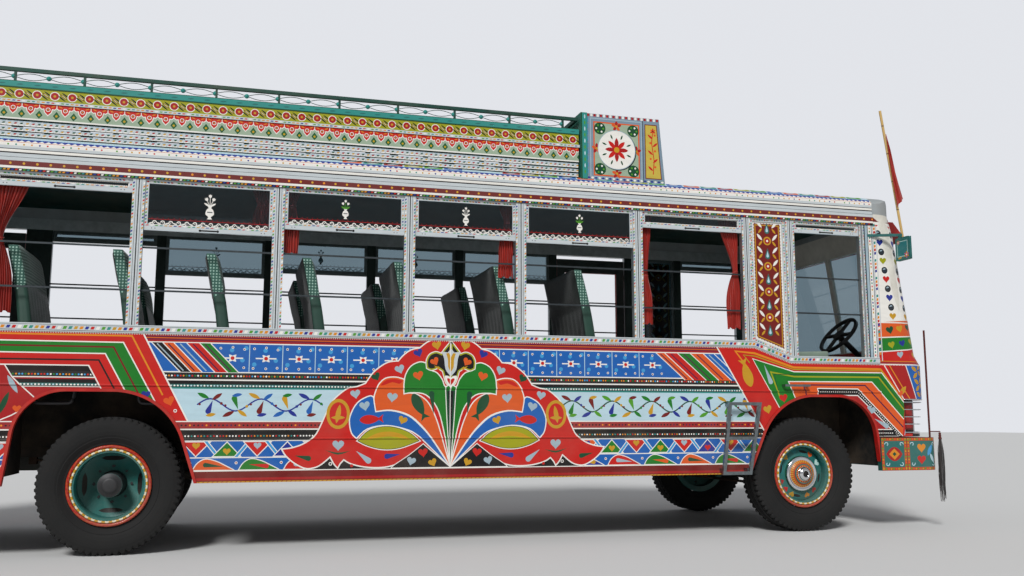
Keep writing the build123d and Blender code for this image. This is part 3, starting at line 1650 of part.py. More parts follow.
# Seats: double benches on both sides of the aisle, and the driver's seat
seat_profile_back_top = 2330
aisle_half_width = 230
bench_outer_y = inner_half_width - 70
seat_rows_right = [-4400, -3660, -2900, -2170, -1484, -741, -1, 850, 1581]
seat_rows_left = [-2170, -1484, -741, -1, 850]


def seat_faces(rows):
    # Seat sections, drawn with x along the bus and y up
    with BuildSketch() as faces:
        for top_x in rows:
            with BuildLine():
                Polyline(
                    (top_x - 10, seat_profile_back_top),
                    (top_x + 75, seat_profile_back_top),
                    (top_x + 210, 1600),
                    (top_x + 620, 1620),
                    (top_x + 620, 1470),
                    (top_x + 120, 1450),
                    close=True,
                )
            make_face()
        fillet(faces.vertices(), radius=30)
        for top_x in rows:
            with Locations((top_x + 370, (floor_top + 1480) / 2)):
                Rectangle(300, 1480 - floor_top)
    return faces.sketch


leg_thickness = 40
with BuildPart() as seats:
    for side, rows in ((1, seat_rows_right), (-1, seat_rows_left)):
        start = aisle_half_width if side > 0 else -bench_outer_y
        with BuildSketch(Plane.XZ.offset(start)):
            add(seat_faces(rows))
        extrude(amount=bench_outer_y - aisle_half_width)
        cut_start = aisle_half_width + leg_thickness if side > 0 else -bench_outer_y
        with BuildSketch(Plane.XZ.offset(cut_start)):
            with Locations(((rear_post_x + front_post_x) / 2, (floor_top + 1440) / 2)):
                Rectangle(front_post_x - rear_post_x, 1440 - floor_top)
        extrude(amount=bench_outer_y - aisle_half_width - leg_thickness, mode=Mode.SUBTRACT)
write(seats, "seats")

driver_y = -700
driver_width = 460
driver_back_x = 3640
with BuildPart() as driver_seat:
    with BuildSketch(Plane.XZ.offset(-driver_y - driver_width / 2)):
        with BuildLine():
            Polyline(
                (driver_back_x - 10, 2150),
                (driver_back_x + 90, 2150),
                (driver_back_x + 190, 1640),
                (driver_back_x + 600, 1660),
                (driver_back_x + 600, 1520),
                (driver_back_x + 80, 1500),
                close=True,
            )
        make_face()
        with Locations((driver_back_x + 330, (house_top + 1520) / 2)):
            Rectangle(360, 1520 - house_top)
    extrude(amount=driver_width)
write(driver_seat, "driver_seat")

# Dashboard along the inside of the cab front
dash_low = 1420
dash_top = 1600
dash_rear_x = nose_x - 352
with BuildPart() as dashboard:
    with BuildSketch(Plane.XZ.offset(-body_half_width)):
        with BuildLine():
            Polyline(
                (nose_x + 70, dash_low),
                (dash_rear_x + 60, dash_low),
                (dash_rear_x, dash_top - 60),
                (dash_rear_x + 40, dash_top),
                (nose_x + 70, dash_top),
                close=True,
            )
        make_face()
    extrude(amount=2 * body_half_width)
    add(cab_hollow, mode=Mode.INTERSECT)
write(dashboard, "dashboard")

# Steering wheel on its column, down to the dashboard
wheel_middle = (4480, driver_y, 1830)
column_foot = (4850, driver_y, 1500)
column_line = Vector(*column_foot) - Vector(*wheel_middle)
wheel_radius = 225
grip_radius = 14
column_radius = 28
wheel_face = Plane(origin=wheel_middle, x_dir=(0, 1, 0), z_dir=column_line.normalized())
with BuildPart() as steering_wheel:
    with BuildSketch(wheel_face):
        Circle(wheel_radius)
        Circle(wheel_radius - 2 * grip_radius, mode=Mode.SUBTRACT)
        Circle(60)
        Rectangle(2 * wheel_radius - grip_radius, 24)
        Rectangle(24, 2 * wheel_radius - grip_radius)
    extrude(amount=2 * grip_radius)
    with BuildSketch(wheel_face):
        Circle(column_radius)
    extrude(amount=column_line.length)
    add(dashboard.part, mode=Mode.SUBTRACT)
write(steering_wheel, "steering_wheel")

# Curtains gathered inside the windows
curtain_thickness = 40
curtain_y = inner_half_width - 12
curtain_rows = [
    # rear edge, front edge, bottom
    (-3000, -2760, 1760),
    (-1150, -990, 2480),
    (-900, -780, 2300),
    (880, 1020, 2180),
    (2185, 2300, 1820),
    (2960, 3165, 1800),
]
with BuildPart() as curtains:
    with BuildSketch(Plane.XZ.offset(curtain_y - curtain_thickness)):
        for rear_edge, front_edge, bottom in curtain_rows:
            with Locations(((rear_edge + front_edge) / 2, (bottom + window_head) / 2)):
                Rectangle(front_edge - rear_edge, window_head - bottom)
    extrude(amount=curtain_thickness)
write(curtains, "curtains")
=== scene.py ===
import math
import random

import bpy
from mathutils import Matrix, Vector, geometry


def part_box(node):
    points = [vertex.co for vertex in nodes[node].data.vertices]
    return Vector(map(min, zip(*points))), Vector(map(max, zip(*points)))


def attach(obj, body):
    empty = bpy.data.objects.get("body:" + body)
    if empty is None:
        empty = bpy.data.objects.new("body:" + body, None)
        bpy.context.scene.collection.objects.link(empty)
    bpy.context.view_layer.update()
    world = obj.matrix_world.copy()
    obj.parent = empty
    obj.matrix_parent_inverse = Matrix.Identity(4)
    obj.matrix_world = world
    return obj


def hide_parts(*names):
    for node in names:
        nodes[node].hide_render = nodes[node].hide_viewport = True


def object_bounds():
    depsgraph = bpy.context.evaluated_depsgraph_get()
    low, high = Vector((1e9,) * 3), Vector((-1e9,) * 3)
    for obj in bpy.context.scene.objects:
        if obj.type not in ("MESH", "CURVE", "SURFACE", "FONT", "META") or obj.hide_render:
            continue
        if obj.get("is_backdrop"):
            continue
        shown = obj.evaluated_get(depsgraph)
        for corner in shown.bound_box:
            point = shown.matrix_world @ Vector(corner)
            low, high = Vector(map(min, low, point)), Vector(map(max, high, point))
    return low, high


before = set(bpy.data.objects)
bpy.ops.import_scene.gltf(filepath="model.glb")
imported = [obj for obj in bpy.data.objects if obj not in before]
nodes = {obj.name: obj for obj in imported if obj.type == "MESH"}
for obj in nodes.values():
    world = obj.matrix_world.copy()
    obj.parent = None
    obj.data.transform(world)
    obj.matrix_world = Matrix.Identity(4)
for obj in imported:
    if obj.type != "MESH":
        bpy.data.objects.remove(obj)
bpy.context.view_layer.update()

# A painted long-distance bus. Sizes are in millimetres, as in the part, and meshes are made in metres.
# x runs to the front, y to the bus's left and z up. Paint is laid as thin skins over the panels.

MM = 0.001

# Sizes that repeat the part's
body_half_width = 1220
rail_proud = 8
skirt_bottom = 520
sill_height = 1640
cab_sill_height = 1510
rail_height = 60
window_head = 2830
roof_spring = 2940
rear_post_x = -4950
front_post_x = 4560
rear_face_x = -5100
front_axle_x = 3760
rear_axle_x = -2100
axle_z = 508
corner_radius = 250
rear_radius = 140
slope_start_x = 3255
slope_end_x = 3615
bead_radius = 10
bead_heights = [850, 1250]
posts = [
    # centre, width, foot
    (-4905, 90, 1700),
    (-4095, 90, 1700),
    (-3045, 90, 1700),
    (-1995, 90, 1700),
    (-945, 90, 1700),
    (110, 90, 1700),
    (1065, 90, 1700),
    (2140, 90, 1700),
    (3210, 90, 1700),
    (3660, 90, 1570),
    (4482.5, 155, 1570),
]
doorways = [
    # name, rear edge, front edge, front edge of the wide post
    ("door_front", 2185, 3000, 3255),
    ("door_rear", -4050, -3235, -3000),
]
door_low = 600
door_high = 2790
door_gap = 8
arches = [
    # axle, rear foot, rear corner, rear radius, front corner, front radius, front foot
    (front_axle_x, -585, -282, 560, 687, 380, 760),
    (rear_axle_x, -710, -625, 345, 378, 525, 600),
]
arch_top = 1200
arch_lip = 22
front_sections = [
    (840, 5085), (1200, 5130), (1500, 5130), (1600, 5068), (1680, 5056), (2740, 4900), (2940, 4850),
]

def placed(name, data, location=(0, 0, 0), rotation=(0, 0, 0), body=None):
    """A new object in the scene, in metres and radians, that rides on a body where one is named."""
    made = bpy.data.objects.new(name, data)
    bpy.context.scene.collection.objects.link(made)
    made.location = location
    made.rotation_euler = rotation
    if body:
        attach(made, body)
    return made


# Camera at the photograph's place and angle, as fitted to the wheels and the rails

picture_width = 1024
focal_length = 961.88
sensor_width = 36
camera_place = (-1.210, -8.947, 0.988)
camera_tilt = 7.839
camera_turn = 15.858
camera_data = bpy.data.cameras.new("camera")
camera_data.sensor_width = sensor_width
camera_data.lens = focal_length / picture_width * sensor_width
camera_data.clip_start = 0.1
camera_data.clip_end = 200
camera_angles = (math.radians(90 + camera_tilt), 0, math.radians(-camera_turn))
bpy.context.scene.camera = placed("camera", camera_data, camera_place, camera_angles)


# Colours, written as they show and turned to linear light

def linear(code):
    values = [int(code[i:i + 2], 16) / 255 for i in (0, 2, 4)]
    return tuple(v / 12.92 if v < 0.04045 else ((v + 0.055) / 1.055) ** 2.4 for v in values) + (1.0,)


PAINTS = dict(
    red="c81a12", crimson="a81517", maroon="74110f", orange="de5a1c", amber="e08a18", gold="c9971f",
    olive="a3a316", lime="4f9a22", green="12791f", forest="0d4a2c", teal="226b66", sea="2f8f86",
    sky="3f9bd2", blue="1560b0", navy="1d2f8e", plum="4a1240", pale="bcd8e2", grey="a3b8c2",
    silver="c9d0d2", white="f1eee6", cream="e6dcc0", pink="c9608c", black="0c0c0e", slate="27313a",
    sage="9fb39a", mustard="cdb44a", steel="7d93a3", rust="b5481c", lake="17777a", deep="0d3f3c",
    ice="bfe0da",
)


class Graph:
    """Small helper around one material's nodes."""

    def __init__(self, name):
        self.material = bpy.data.materials.new(name)
        self.material.use_nodes = True
        self.tree = self.material.node_tree
        self.shader = self.tree.nodes["Principled BSDF"]
        self.point = self.add("ShaderNodeTexCoord").outputs["Object"]

    def add(self, kind, **settings):
        node = self.tree.nodes.new(kind)
        for key, value in settings.items():
            setattr(node, key, value)
        return node

    def feed(self, socket, value):
        if isinstance(value, bpy.types.NodeSocket):
            self.tree.links.new(value, socket)
        else:
            socket.default_value = value

    def fed(self, output, inputs, kind, **settings):
        """One output of a new node, whose inputs are given as values or sockets."""
        node = self.add(kind, **settings)
        for key, value in inputs.items():
            self.feed(node.inputs[key], value)
        return node.outputs[output]

    def math(self, operation, a, b=0.0, clamp=False):
        return self.fed(0, {0: a, 1: b}, "ShaderNodeMath", operation=operation, use_clamp=clamp)

    def noise(self, scale, detail=4.0, rough=0.55, point=None):
        inputs = {"Vector": point or self.point, "Scale": scale, "Detail": detail, "Roughness": rough}
        return self.fed("Fac", inputs, "ShaderNodeTexNoise")

    def ramp(self, fac, stops, steps=False):
        node = self.add("ShaderNodeValToRGB")
        if steps:
            node.color_ramp.interpolation = "CONSTANT"
        while len(node.color_ramp.elements) < len(stops):
            node.color_ramp.elements.new(0.5)
        for element, (place, colour) in zip(node.color_ramp.elements, stops):
            element.position = place
            element.color = colour
        self.feed(node.inputs["Fac"], fac)
        return node.outputs["Color"]

    def mix(self, fac, a, b):
        return self.fed("Result", {"Factor": fac, "A": a, "B": b}, "ShaderNodeMix", data_type="RGBA")

    def stretch(self, x, y, z):
        return self.fed("Vector", {"Vector": self.point, "Scale": (x, y, z)}, "ShaderNodeMapping")

    def split(self, point=None):
        node = self.add("ShaderNodeSeparateXYZ")
        self.feed(node.inputs[0], point or self.point)
        return node.outputs

    def facing(self):
        """The surface's normal in the piece's own axes, split in three."""
        return self.split(self.add("ShaderNodeTexCoord").outputs["Normal"])

    def relief(self, height, strength, distance):
        inputs = {"Strength": strength, "Distance": distance, "Height": height}
        self.set(Normal=self.fed("Normal", inputs, "ShaderNodeBump"))

    def set(self, **values):
        for key, value in values.items():
            self.feed(self.shader.inputs[key.replace("_", " ")], value)

    def roughness(self, low, spread, cloud):
        """Roughness that wanders from low by a spread."""
        self.set(Roughness=self.math("ADD", low, self.math("MULTIPLY", cloud, spread)))

    def patches(self, cloud, limit, gain):
        """Where a noise rises over a limit, from 0 to 1."""
        return self.math("MULTIPLY", self.math("SUBTRACT", cloud, limit, True), gain, True)


def shade(colour, factor):
    return tuple(min(1.0, c * factor) for c in colour[:3]) + (1.0,)


GRIME = (0.02, 0.015, 0.012, 1)
ROAD_DUST = (0.32, 0.26, 0.2, 1)


def aged(graph, colour):
    """Colour with brush streaks, and road dust that gathers low down."""
    streak = graph.noise(9, 5, 0.6, graph.stretch(0.6, 1, 3))
    tone = graph.mix(graph.math("MULTIPLY", streak, 0.5), colour, GRIME)
    amount = graph.patches(graph.noise(2.3, 6, 0.65), 0.42, 0.48)
    near_ground = graph.math("SUBTRACT", 1.0, graph.math("DIVIDE", graph.split()[2], 1.3), True)
    share = graph.math("ADD", 0.6, graph.math("MULTIPLY", near_ground, 2.2))
    return graph.mix(graph.math("MULTIPLY", amount, share, True), tone, ROAD_DUST)


def enamel(key):
    """Hand-laid enamel of one colour."""
    g = Graph("paint_" + key)
    colour = linear(PAINTS[key])
    g.set(Base_Color=g.mix(0.55, colour, aged(g, colour)))
    g.roughness(0.26, 0.22, g.noise(7, 4))
    g.set(Coat_Weight=0.1, Coat_Roughness=0.12, Specular_IOR_Level=0.3)
    g.relief(g.noise(60, 3, 0.5, g.stretch(0.5, 1, 2.5)), 0.12, 0.002)
    return g.material


paint_cache = {}


def paint(key):
    """The paint of a name, made once."""
    if key not in paint_cache:
        paint_cache[key] = dotted(key, *DOTTED[key]) if key in DOTTED else enamel(key)
    return paint_cache[key]


DOTTED = {
    # ground colour, pitch, radius, rows of heights, dot colours, axis the row runs along
    "dots_black": ("black", 21, 6.5, [1325], ["red", "white", "green", "amber", "sky"], 0),
    "dots_teal": ("teal", 24, 6.5, [1249], ["white", "pale", "white", "silver", "white"], 0),
    "dots_low": ("black", 23, 6.0, [870], ["white", "red", "sea", "amber", "white"], 0),
    "dots_maroon": ("crimson", 30, 7.0, [951], ["black", "amber", "black", "plum", "black"], 0),
    "dots_nose": ("black", 20, 5.5, [1246, 872], ["white", "white", "silver", "white", "pale"], 0),
    "dots_cant": ("maroon", 92, 9.0, [2888], ["gold", "amber", "gold", "amber", "gold"], 0),
    "dots_rear": ("maroon", 92, 9.0, [2888], ["gold", "amber", "gold", "amber", "gold"], 1),
}


def dotted(key, ground, pitch, radius, rows, colours, axis):
    """Enamel with rows of small painted dots in changing colours."""
    g = Graph("paint_" + key)
    split = g.split()
    along = g.math("DIVIDE", split[axis], pitch * MM)
    cell = g.math("FLOOR", along)
    offset = g.math("MULTIPLY", g.math("SUBTRACT", g.math("FRACT", along), 0.5), pitch * MM)
    across = None
    for row in rows:
        distance = g.math("ABSOLUTE", g.math("SUBTRACT", split[2], row * MM))
        across = distance if across is None else g.math("MINIMUM", across, distance)
    squares = [g.math("MULTIPLY", length, length) for length in (offset, across)]
    far = g.math("SQRT", g.math("ADD", *squares))
    mask = g.math("LESS_THAN", far, radius * MM)
    white = g.fed("Value", {"W": cell}, "ShaderNodeTexWhiteNoise", noise_dimensions="1D")
    stops = [(i / len(colours), linear(PAINTS[c])) for i, c in enumerate(colours)]
    spots = g.ramp(white, stops, True)
    g.set(Base_Color=g.mix(mask, aged(g, linear(PAINTS[ground])), spots))
    g.set(Roughness=0.34, Coat_Weight=0.2, Coat_Roughness=0.15)
    g.relief(mask, 0.3, 0.001)
    return g.material


# Meshes

def new_mesh(name, points, faces, materials, indices=None, soft=True):
    """A mesh from points in millimetres."""
    mesh = bpy.data.meshes.new(name)
    mesh.from_pydata([tuple(c * MM for c in p) for p in points], [], faces)
    for material in materials:
        mesh.materials.append(material)
    if indices is not None:
        mesh.polygons.foreach_set("material_index", indices)
    mesh.polygons.foreach_set("use_smooth", [soft] * len(mesh.polygons))
    mesh.update()
    return mesh


def mesh_object(name, points, faces, body, materials, indices=None, soft=False):
    """A mesh from points in millimetres, riding on one body."""
    return placed(name, new_mesh(name, points, faces, materials, indices, soft), body=body)


def grid_faces(columns, rows, start=0):
    """Faces over a grid of points that lie row after row."""
    wide = columns + 1
    firsts = [start + r * wide + c for r in range(rows) for c in range(columns)]
    return [(a, a + 1, a + wide + 1, a + wide) for a in firsts]


def ring_faces(start, sides, bands):
    """Faces between rings of points that lie one after another."""
    faces = []
    for first in range(start, start + bands * sides, sides):
        for k in range(sides):
            a, b = first + k, first + (k + 1) % sides
            faces.append((a, b, b + sides, a + sides))
    return faces


# Flat shapes, drawn as loops of points
def around(loop):
    """The sides of a loop, as pairs of points."""
    return zip(loop, loop[1:] + loop[:1])


def area(loop):
    return sum(a[0] * b[1] - b[0] * a[1] for a, b in around(loop)) / 2


def rect(x0, z0, x1, z1):
    return [(x0, z0), (x1, z0), (x1, z1), (x0, z1)]


def turned(loop, x, z, degrees, scale=1.0, flip=False):
    c, s = math.cos(math.radians(degrees)), math.sin(math.radians(degrees))
    out = []
    for px, pz in loop:
        if flip:
            px = -px
        out.append((x + scale * (px * c - pz * s), z + scale * (px * s + pz * c)))
    return out


def ellipse(x, z, rx, rz, count=20):
    turns = [2 * math.pi * i / count for i in range(count)]
    return [(x + rx * math.cos(turn), z + rz * math.sin(turn)) for turn in turns]


def smooth(points, sharp=(), steps=5):
    """A closed curve through the points, with corners kept at the sharp ones."""
    out = []
    count = len(points)
    for i in range(count):
        p1, p2 = points[i], points[(i + 1) % count]
        p0 = p1 if i in sharp else points[i - 1]
        p3 = p2 if (i + 1) % count in sharp else points[(i + 2) % count]
        for k in range(steps):
            t = k / steps
            out.append(tuple(
                0.5 * (
                    2 * b + (c - a) * t + (
                        2 * a - 5 * b + 4 * c - d
                    ) * t * t + (3 * b - a - 3 * c + d) * t ** 3
                )
                for a, b, c, d in zip(p0, p1, p2, p3)
            ))
    return out


def grown(loop, amount):
    """The loop moved outwards by an amount, with mitred corners."""
    if area(loop) < 0:
        loop = loop[::-1]
    out = []
    count = len(loop)
    for i in range(count):
        ax, az = loop[i - 1]
        bx, bz = loop[i]
        cx, cz = loop[(i + 1) % count]
        ux, uz = bx - ax, bz - az
        vx, vz = cx - bx, cz - bz
        ul, vl = math.hypot(ux, uz), math.hypot(vx, vz)
        if ul < 1e-6 or vl < 1e-6:
            continue
        n1 = (uz / ul, -ux / ul)
        n2 = (vz / vl, -vx / vl)
        mx, mz = n1[0] + n2[0], n1[1] + n2[1]
        scale = amount / max(0.35, (mx * mx + mz * mz) / 2)
        out.append((bx + mx * scale, bz + mz * scale))
    return out


def ribbon(line, width):
    """A band of even width along an open line."""
    left, right = [], []
    for i, (bx, bz) in enumerate(line):
        ax, az = line[max(0, i - 1)]
        cx, cz = line[min(len(line) - 1, i + 1)]
        dirs = []
        if i:
            dirs.append(((bx - ax), (bz - az)))
        if i < len(line) - 1:
            dirs.append(((cx - bx), (cz - bz)))
        normals = [(-dz / math.hypot(dx, dz), dx / math.hypot(dx, dz)) for dx, dz in dirs]
        mx = sum(n[0] for n in normals) / len(normals)
        mz = sum(n[1] for n in normals) / len(normals)
        scale = width / 2 / max(0.25, mx * mx + mz * mz)
        left.append((bx + mx * scale, bz + mz * scale))
        right.append((bx - mx * scale, bz - mz * scale))
    return left + right[::-1]


def heart(x, z, size, degrees=0):
    loop = []
    for i in range(20):
        t = 2 * math.pi * i / 20
        hx = 16 * math.sin(t) ** 3
        hz = 13 * math.cos(t) - 5 * math.cos(2 * t) - 2 * math.cos(3 * t) - math.cos(4 * t)
        loop.append((hx / 32, (hz + 2) / 32))
    return turned(loop, x, z, degrees, size)


def drop(x, z, length, width, degrees=0):
    """A teardrop whose point looks along the angle."""
    loop = [(length / 2, 0)]
    for i in range(9):
        t = math.radians(80 + 200 * i / 8)
        loop.append((-length / 2 + width / 2 + width / 2 * math.cos(t), width / 2 * math.sin(t)))
    return turned(loop, x, z, degrees)


def leaf(x, z, length, width, degrees=0):
    half = [(
        -length / 2 + length * i / 8, width / 2 * math.sin(math.pi * i / 8) ** 0.8,
    ) for i in range(9)]
    loop = half + [(px, -pz) for px, pz in half[-2:0:-1]]
    return turned(loop, x, z, degrees)


def fish(x, z, length, degrees=0, flip=False):
    outline = [
        (-50, 0), (-36, 14), (-12, 19), (14, 13), (30, 4), (50, 18), (44, 0), (50, -18), (30, -4),
        (14, -13), (-12, -19), (-36, -14),
    ]
    return turned(smooth(outline, (4, 5, 6, 7, 8), 3), x, z, degrees, length / 100, flip)
class Canvas:
    """Shapes laid over one another in a plane, later ones on top."""

    def __init__(self):
        self.shapes = []

    def fill(self, loop, colour):
        self.shapes.append((loop, colour))

    def edged(self, loop, colour, edge="white", width=8):
        self.fill(grown(loop, width / 2), edge)
        self.fill(grown(loop, -width / 2), colour)

    def stroke(self, line, width, colour):
        self.fill(ribbon(line, width), colour)

    def dot(self, x, z, radius, colour, count):
        self.fill(ellipse(x, z, radius, radius, count), colour)

    def bands(self, x0, x1, rows):
        """Straight bands, each with its low edge, high edge and colour."""
        for low, high, colour in rows:
            self.fill(rect(x0, low, x1, high), colour)

    def row(self, start, end, pitch, colours, shape):
        """One shape again and again along a run, in changing colours."""
        for i, place in enumerate(along(start, end, pitch)):
            self.fill(shape(*place), colours[i % len(colours)])

    def mirrored(self, start, middle):
        """Repeats the shapes from start on, mirrored about a vertical line."""
        for loop, colour in self.shapes[start:]:
            self.fill([(2 * middle - x, z) for x, z in loop[::-1]], colour)


def extent(points):
    """The least and the greatest of both coordinates."""
    xs, zs = [p[0] for p in points], [p[1] for p in points]
    return min(xs), max(xs), min(zs), max(zs)


def inside(loop, points):
    """Which points lie inside a loop, by winding number."""
    low_x, high_x, low_z, high_z = extent(loop)
    found = []
    sides = list(zip(loop, loop[1:] + loop[:1]))
    for index, (x, z) in points:
        if not (low_x <= x <= high_x and low_z <= z <= high_z):
            continue
        turns = 0
        for (ax, az), (bx, bz) in sides:
            if az <= z:
                if bz > z and (bx - ax) * (z - az) - (x - ax) * (bz - az) > 0:
                    turns += 1
            elif bz <= z and (bx - ax) * (z - az) - (x - ax) * (bz - az) < 0:
                turns -= 1
        if turns:
            found.append(index)
    return found


class Mosaic:
    """The canvas cut into triangles, each with the colour that lies on top."""

    def __init__(self, canvas, outlines, guides_x=(), guides_z=(), cell=200):
        loops = [shape[0] for shape in canvas.shapes] + [
            loop for group in outlines.values() for loop in group
        ]
        points, edges = [], []
        for loop in loops:
            start = len(points)
            points += [Vector(p) for p in loop]
            edges += [(start + i, start + (i + 1) % len(loop)) for i in range(len(loop))]
        margin = 5
        every = extent([p for group in outlines.values() for loop in group for p in loop])
        low_x, high_x, low_z, high_z = (v + s * margin for v, s in zip(every, (-1, 1, -1, 1)))
        for x in guides_x:
            points += [Vector((x, low_z)), Vector((x, high_z))]
            edges.append((len(points) - 2, len(points) - 1))
        for z in guides_z:
            points += [Vector((low_x, z)), Vector((high_x, z))]
            edges.append((len(points) - 2, len(points) - 1))
        result = geometry.delaunay_2d_cdt(points, edges, [], 0, 0.02, False)
        self.points = [tuple(p) for p in result[0]]
        self.faces = [tuple(f) for f in result[2]]
        buckets = {}
        for index, face in enumerate(self.faces):
            x = sum(self.points[v][0] for v in face) / 3
            z = sum(self.points[v][1] for v in face) / 3
            buckets.setdefault((int(x // cell), int(z // cell)), []).append((index, (x, z)))
        self.buckets = buckets
        self.cell = cell
        self.colours = [None] * len(self.faces)
        for loop, colour in canvas.shapes:
            for index in self.within(loop):
                self.colours[index] = colour
        self.regions = {}
        for name, group in outlines.items():
            held = set(self.within(group[0]))
            for hole in group[1:]:
                held -= set(self.within(hole))
            self.regions[name] = held

    def within(self, loop):
        found = []
        x0, x1, z0, z1 = (int(v // self.cell) for v in extent(loop))
        for i in range(x0, x1 + 1):
            for j in range(z0, z1 + 1):
                held = self.buckets.get((i, j))
                if held:
                    found += inside(loop, held)
        return found

    def piece(self, name, region, place, body, flip=False):
        """One region as an object; place turns a canvas point into a point of the bus."""
        used, points, faces, indices, keys = {}, [], [], [], []
        names = [region] if isinstance(region, str) else region
        for index in sorted(set().union(*(self.regions[n] for n in names))):
            colour = self.colours[index]
            if colour is None:
                continue
            if colour not in keys:
                keys.append(colour)
            face = []
            for v in self.faces[index]:
                if v not in used:
                    used[v] = len(points)
                    points.append(place(*self.points[v]))
                face.append(used[v])
            faces.append(face[::-1] if flip else face)
            indices.append(keys.index(colour))
        return mesh_object(name, points, faces, body, [paint(k) for k in keys], indices)


# Where a canvas point lies on the bus

def front_face_x(z):
    for (z0, x0), (z1, x1) in zip(front_sections, front_sections[1:]):
        if z <= z1:
            return x0 + (x1 - x0) * (max(z, z0) - z0) / (z1 - z0)
    return front_sections[-1][1]


def bead(z):
    for height in bead_heights:
        if abs(z - height) < bead_radius:
            return math.sqrt(bead_radius ** 2 - (z - height) ** 2)
    return 0.0


def side_place(side, lift=1.6, beaded=True, proud=0):
    """Canvas x runs along the side and on round the corners; side is -1 on the right."""
    def rounded(way, start, length, radius, z):
        angle = min(length / radius, math.pi / 2)
        reach = radius + lift
        depth = body_half_width - radius + reach * math.cos(angle)
        return (start + way * reach * math.sin(angle), side * depth, z)

    def place(u, z):
        turn_front = front_face_x(z) - corner_radius
        turn_rear = rear_face_x + rear_radius
        if u > turn_front and u > front_post_x:
            return rounded(1, turn_front, u - turn_front, corner_radius, z)
        if u < turn_rear:
            return rounded(-1, turn_rear, turn_rear - u, rear_radius, z)
        depth = body_half_width + proud + lift
        if beaded and rear_post_x < u < front_post_x:
            depth += bead(z)
        return (u, side * depth, z)
    return place


def end_place(front, lift=1.6):
    """Canvas x runs across the bus, towards its left."""
    def place(y, z):
        x = front_face_x(z) + lift if front else rear_face_x - lift
        return (x, y, z)
    return place


def arch_loop(
    axle, rear_foot, rear_corner, rear_fillet, front_corner, front_fillet, front_foot, grow=0.0,
):
    corners = [
        (axle + rear_foot, skirt_bottom - 40),
        (axle + rear_foot, skirt_bottom),
        (axle + rear_corner, arch_top),
        (axle + front_corner, arch_top),
        (axle + front_foot, skirt_bottom),
        (axle + front_foot, skirt_bottom - 40),
    ]
    fillets = [0, 0, rear_fillet, front_fillet, 0, 0]
    loop = []
    for i, (p, r) in enumerate(zip(corners, fillets)):
        if not r:
            loop.append(p)
            continue
        before = Vector(corners[i - 1]) - Vector(p)
        after = Vector(corners[i + 1]) - Vector(p)
        before.normalize()
        after.normalize()
        half = before.angle(after) / 2
        reach = r / math.tan(half)
        middle = Vector(p) + (before + after).normalized() * (r / math.sin(half))
        start = Vector(p) + before * reach - middle
        sweep = math.pi - 2 * half
        for k in range(19):
            angle = -sweep * k / 18
            c, s = math.cos(angle), math.sin(angle)
            loop.append((middle.x + start.x * c - start.y * s, middle.y + start.x * s + start.y * c))
    return grown(loop, grow) if grow else loop


def along(start, end, pitch):
    """Places along a straight run at about a pitch."""
    dx, dz = end[0] - start[0], end[1] - start[1]
    count = max(1, round(math.hypot(dx, dz) / pitch))
    return [(start[0] + dx * (i + 0.5) / count, start[1] + dz * (i + 0.5) / count) for i in range(count)]


def spaced(start, end, pitch):
    """Places on one axis at about a pitch."""
    return [place for place, _ in along((start, 0), (end, 0), pitch)]


def teeth(line, pitch, drop_height, top=3):
    """A hanging edge of small points below a line."""
    upper, lower = [], []
    for a, b in zip(line, line[1:]):
        length = math.hypot(b[0] - a[0], b[1] - a[1])
        count = max(1, round(length / pitch))
        for i in range(count):
            t, m = i / count, (i + 0.5) / count
            upper.append((a[0] + (b[0] - a[0]) * t, a[1] + (b[1] - a[1]) * t + top))
            lower.append((a[0] + (b[0] - a[0]) * t, a[1] + (b[1] - a[1]) * t - 1))
            lower.append((a[0] + (b[0] - a[0]) * m, a[1] + (b[1] - a[1]) * m - drop_height))
    upper.append((line[-1][0], line[-1][1] + top))
    lower.append((line[-1][0], line[-1][1] - 1))
    return upper[::-1] + lower


def vine(canvas, x0, x1, z, height, colours, stem="navy"):
    """A waving stem with leaves and buds on both sides."""
    count = max(2, round((x1 - x0) / 190))
    line = []
    for i in range(count * 8 + 1):
        t = i / 8
        line.append((x0 + (x1 - x0) * t / count, z + height * 0.22 * math.sin(math.pi * t)))
    canvas.stroke(line, 11, stem)
    for i in range(count):
        x = x0 + (x1 - x0) * (i + 0.5) / count
        up = 1 if i % 2 == 0 else -1
        c = colours
        canvas.fill(drop(x, z - up * height * 0.08, height * 0.52, height * 0.2, 70 * up), c[i % len(c)])
        canvas.fill(leaf(
            x - 52, z + up * height * 0.33, height * 0.46, height * 0.15, 155 if up > 0 else 205,
        ), c[(i + 1) % len(c)])
        canvas.fill(leaf(
            x + 50, z + up * height * 0.30, height * 0.42, height * 0.14, 35 if up > 0 else -35,
        ), c[(i + 2) % len(c)])
        canvas.fill(leaf(
            x + 8, z - up * height * 0.36, height * 0.36, height * 0.13, 10,
        ), c[(i + 3) % len(c)])
        canvas.dot(x + 82, z + up * height * 0.05, 11, c[(i + 2) % len(c)], 10)
        canvas.dot(x - 76, z + up * height * 0.02, 9, "maroon", 10)


def ring(canvas, x, z, radius, colour, ground):
    canvas.dot(x, z, radius, colour, 14)
    canvas.dot(x, z, radius * 0.55, ground, 10)


side_end_front = 5290
side_end_rear = -5190


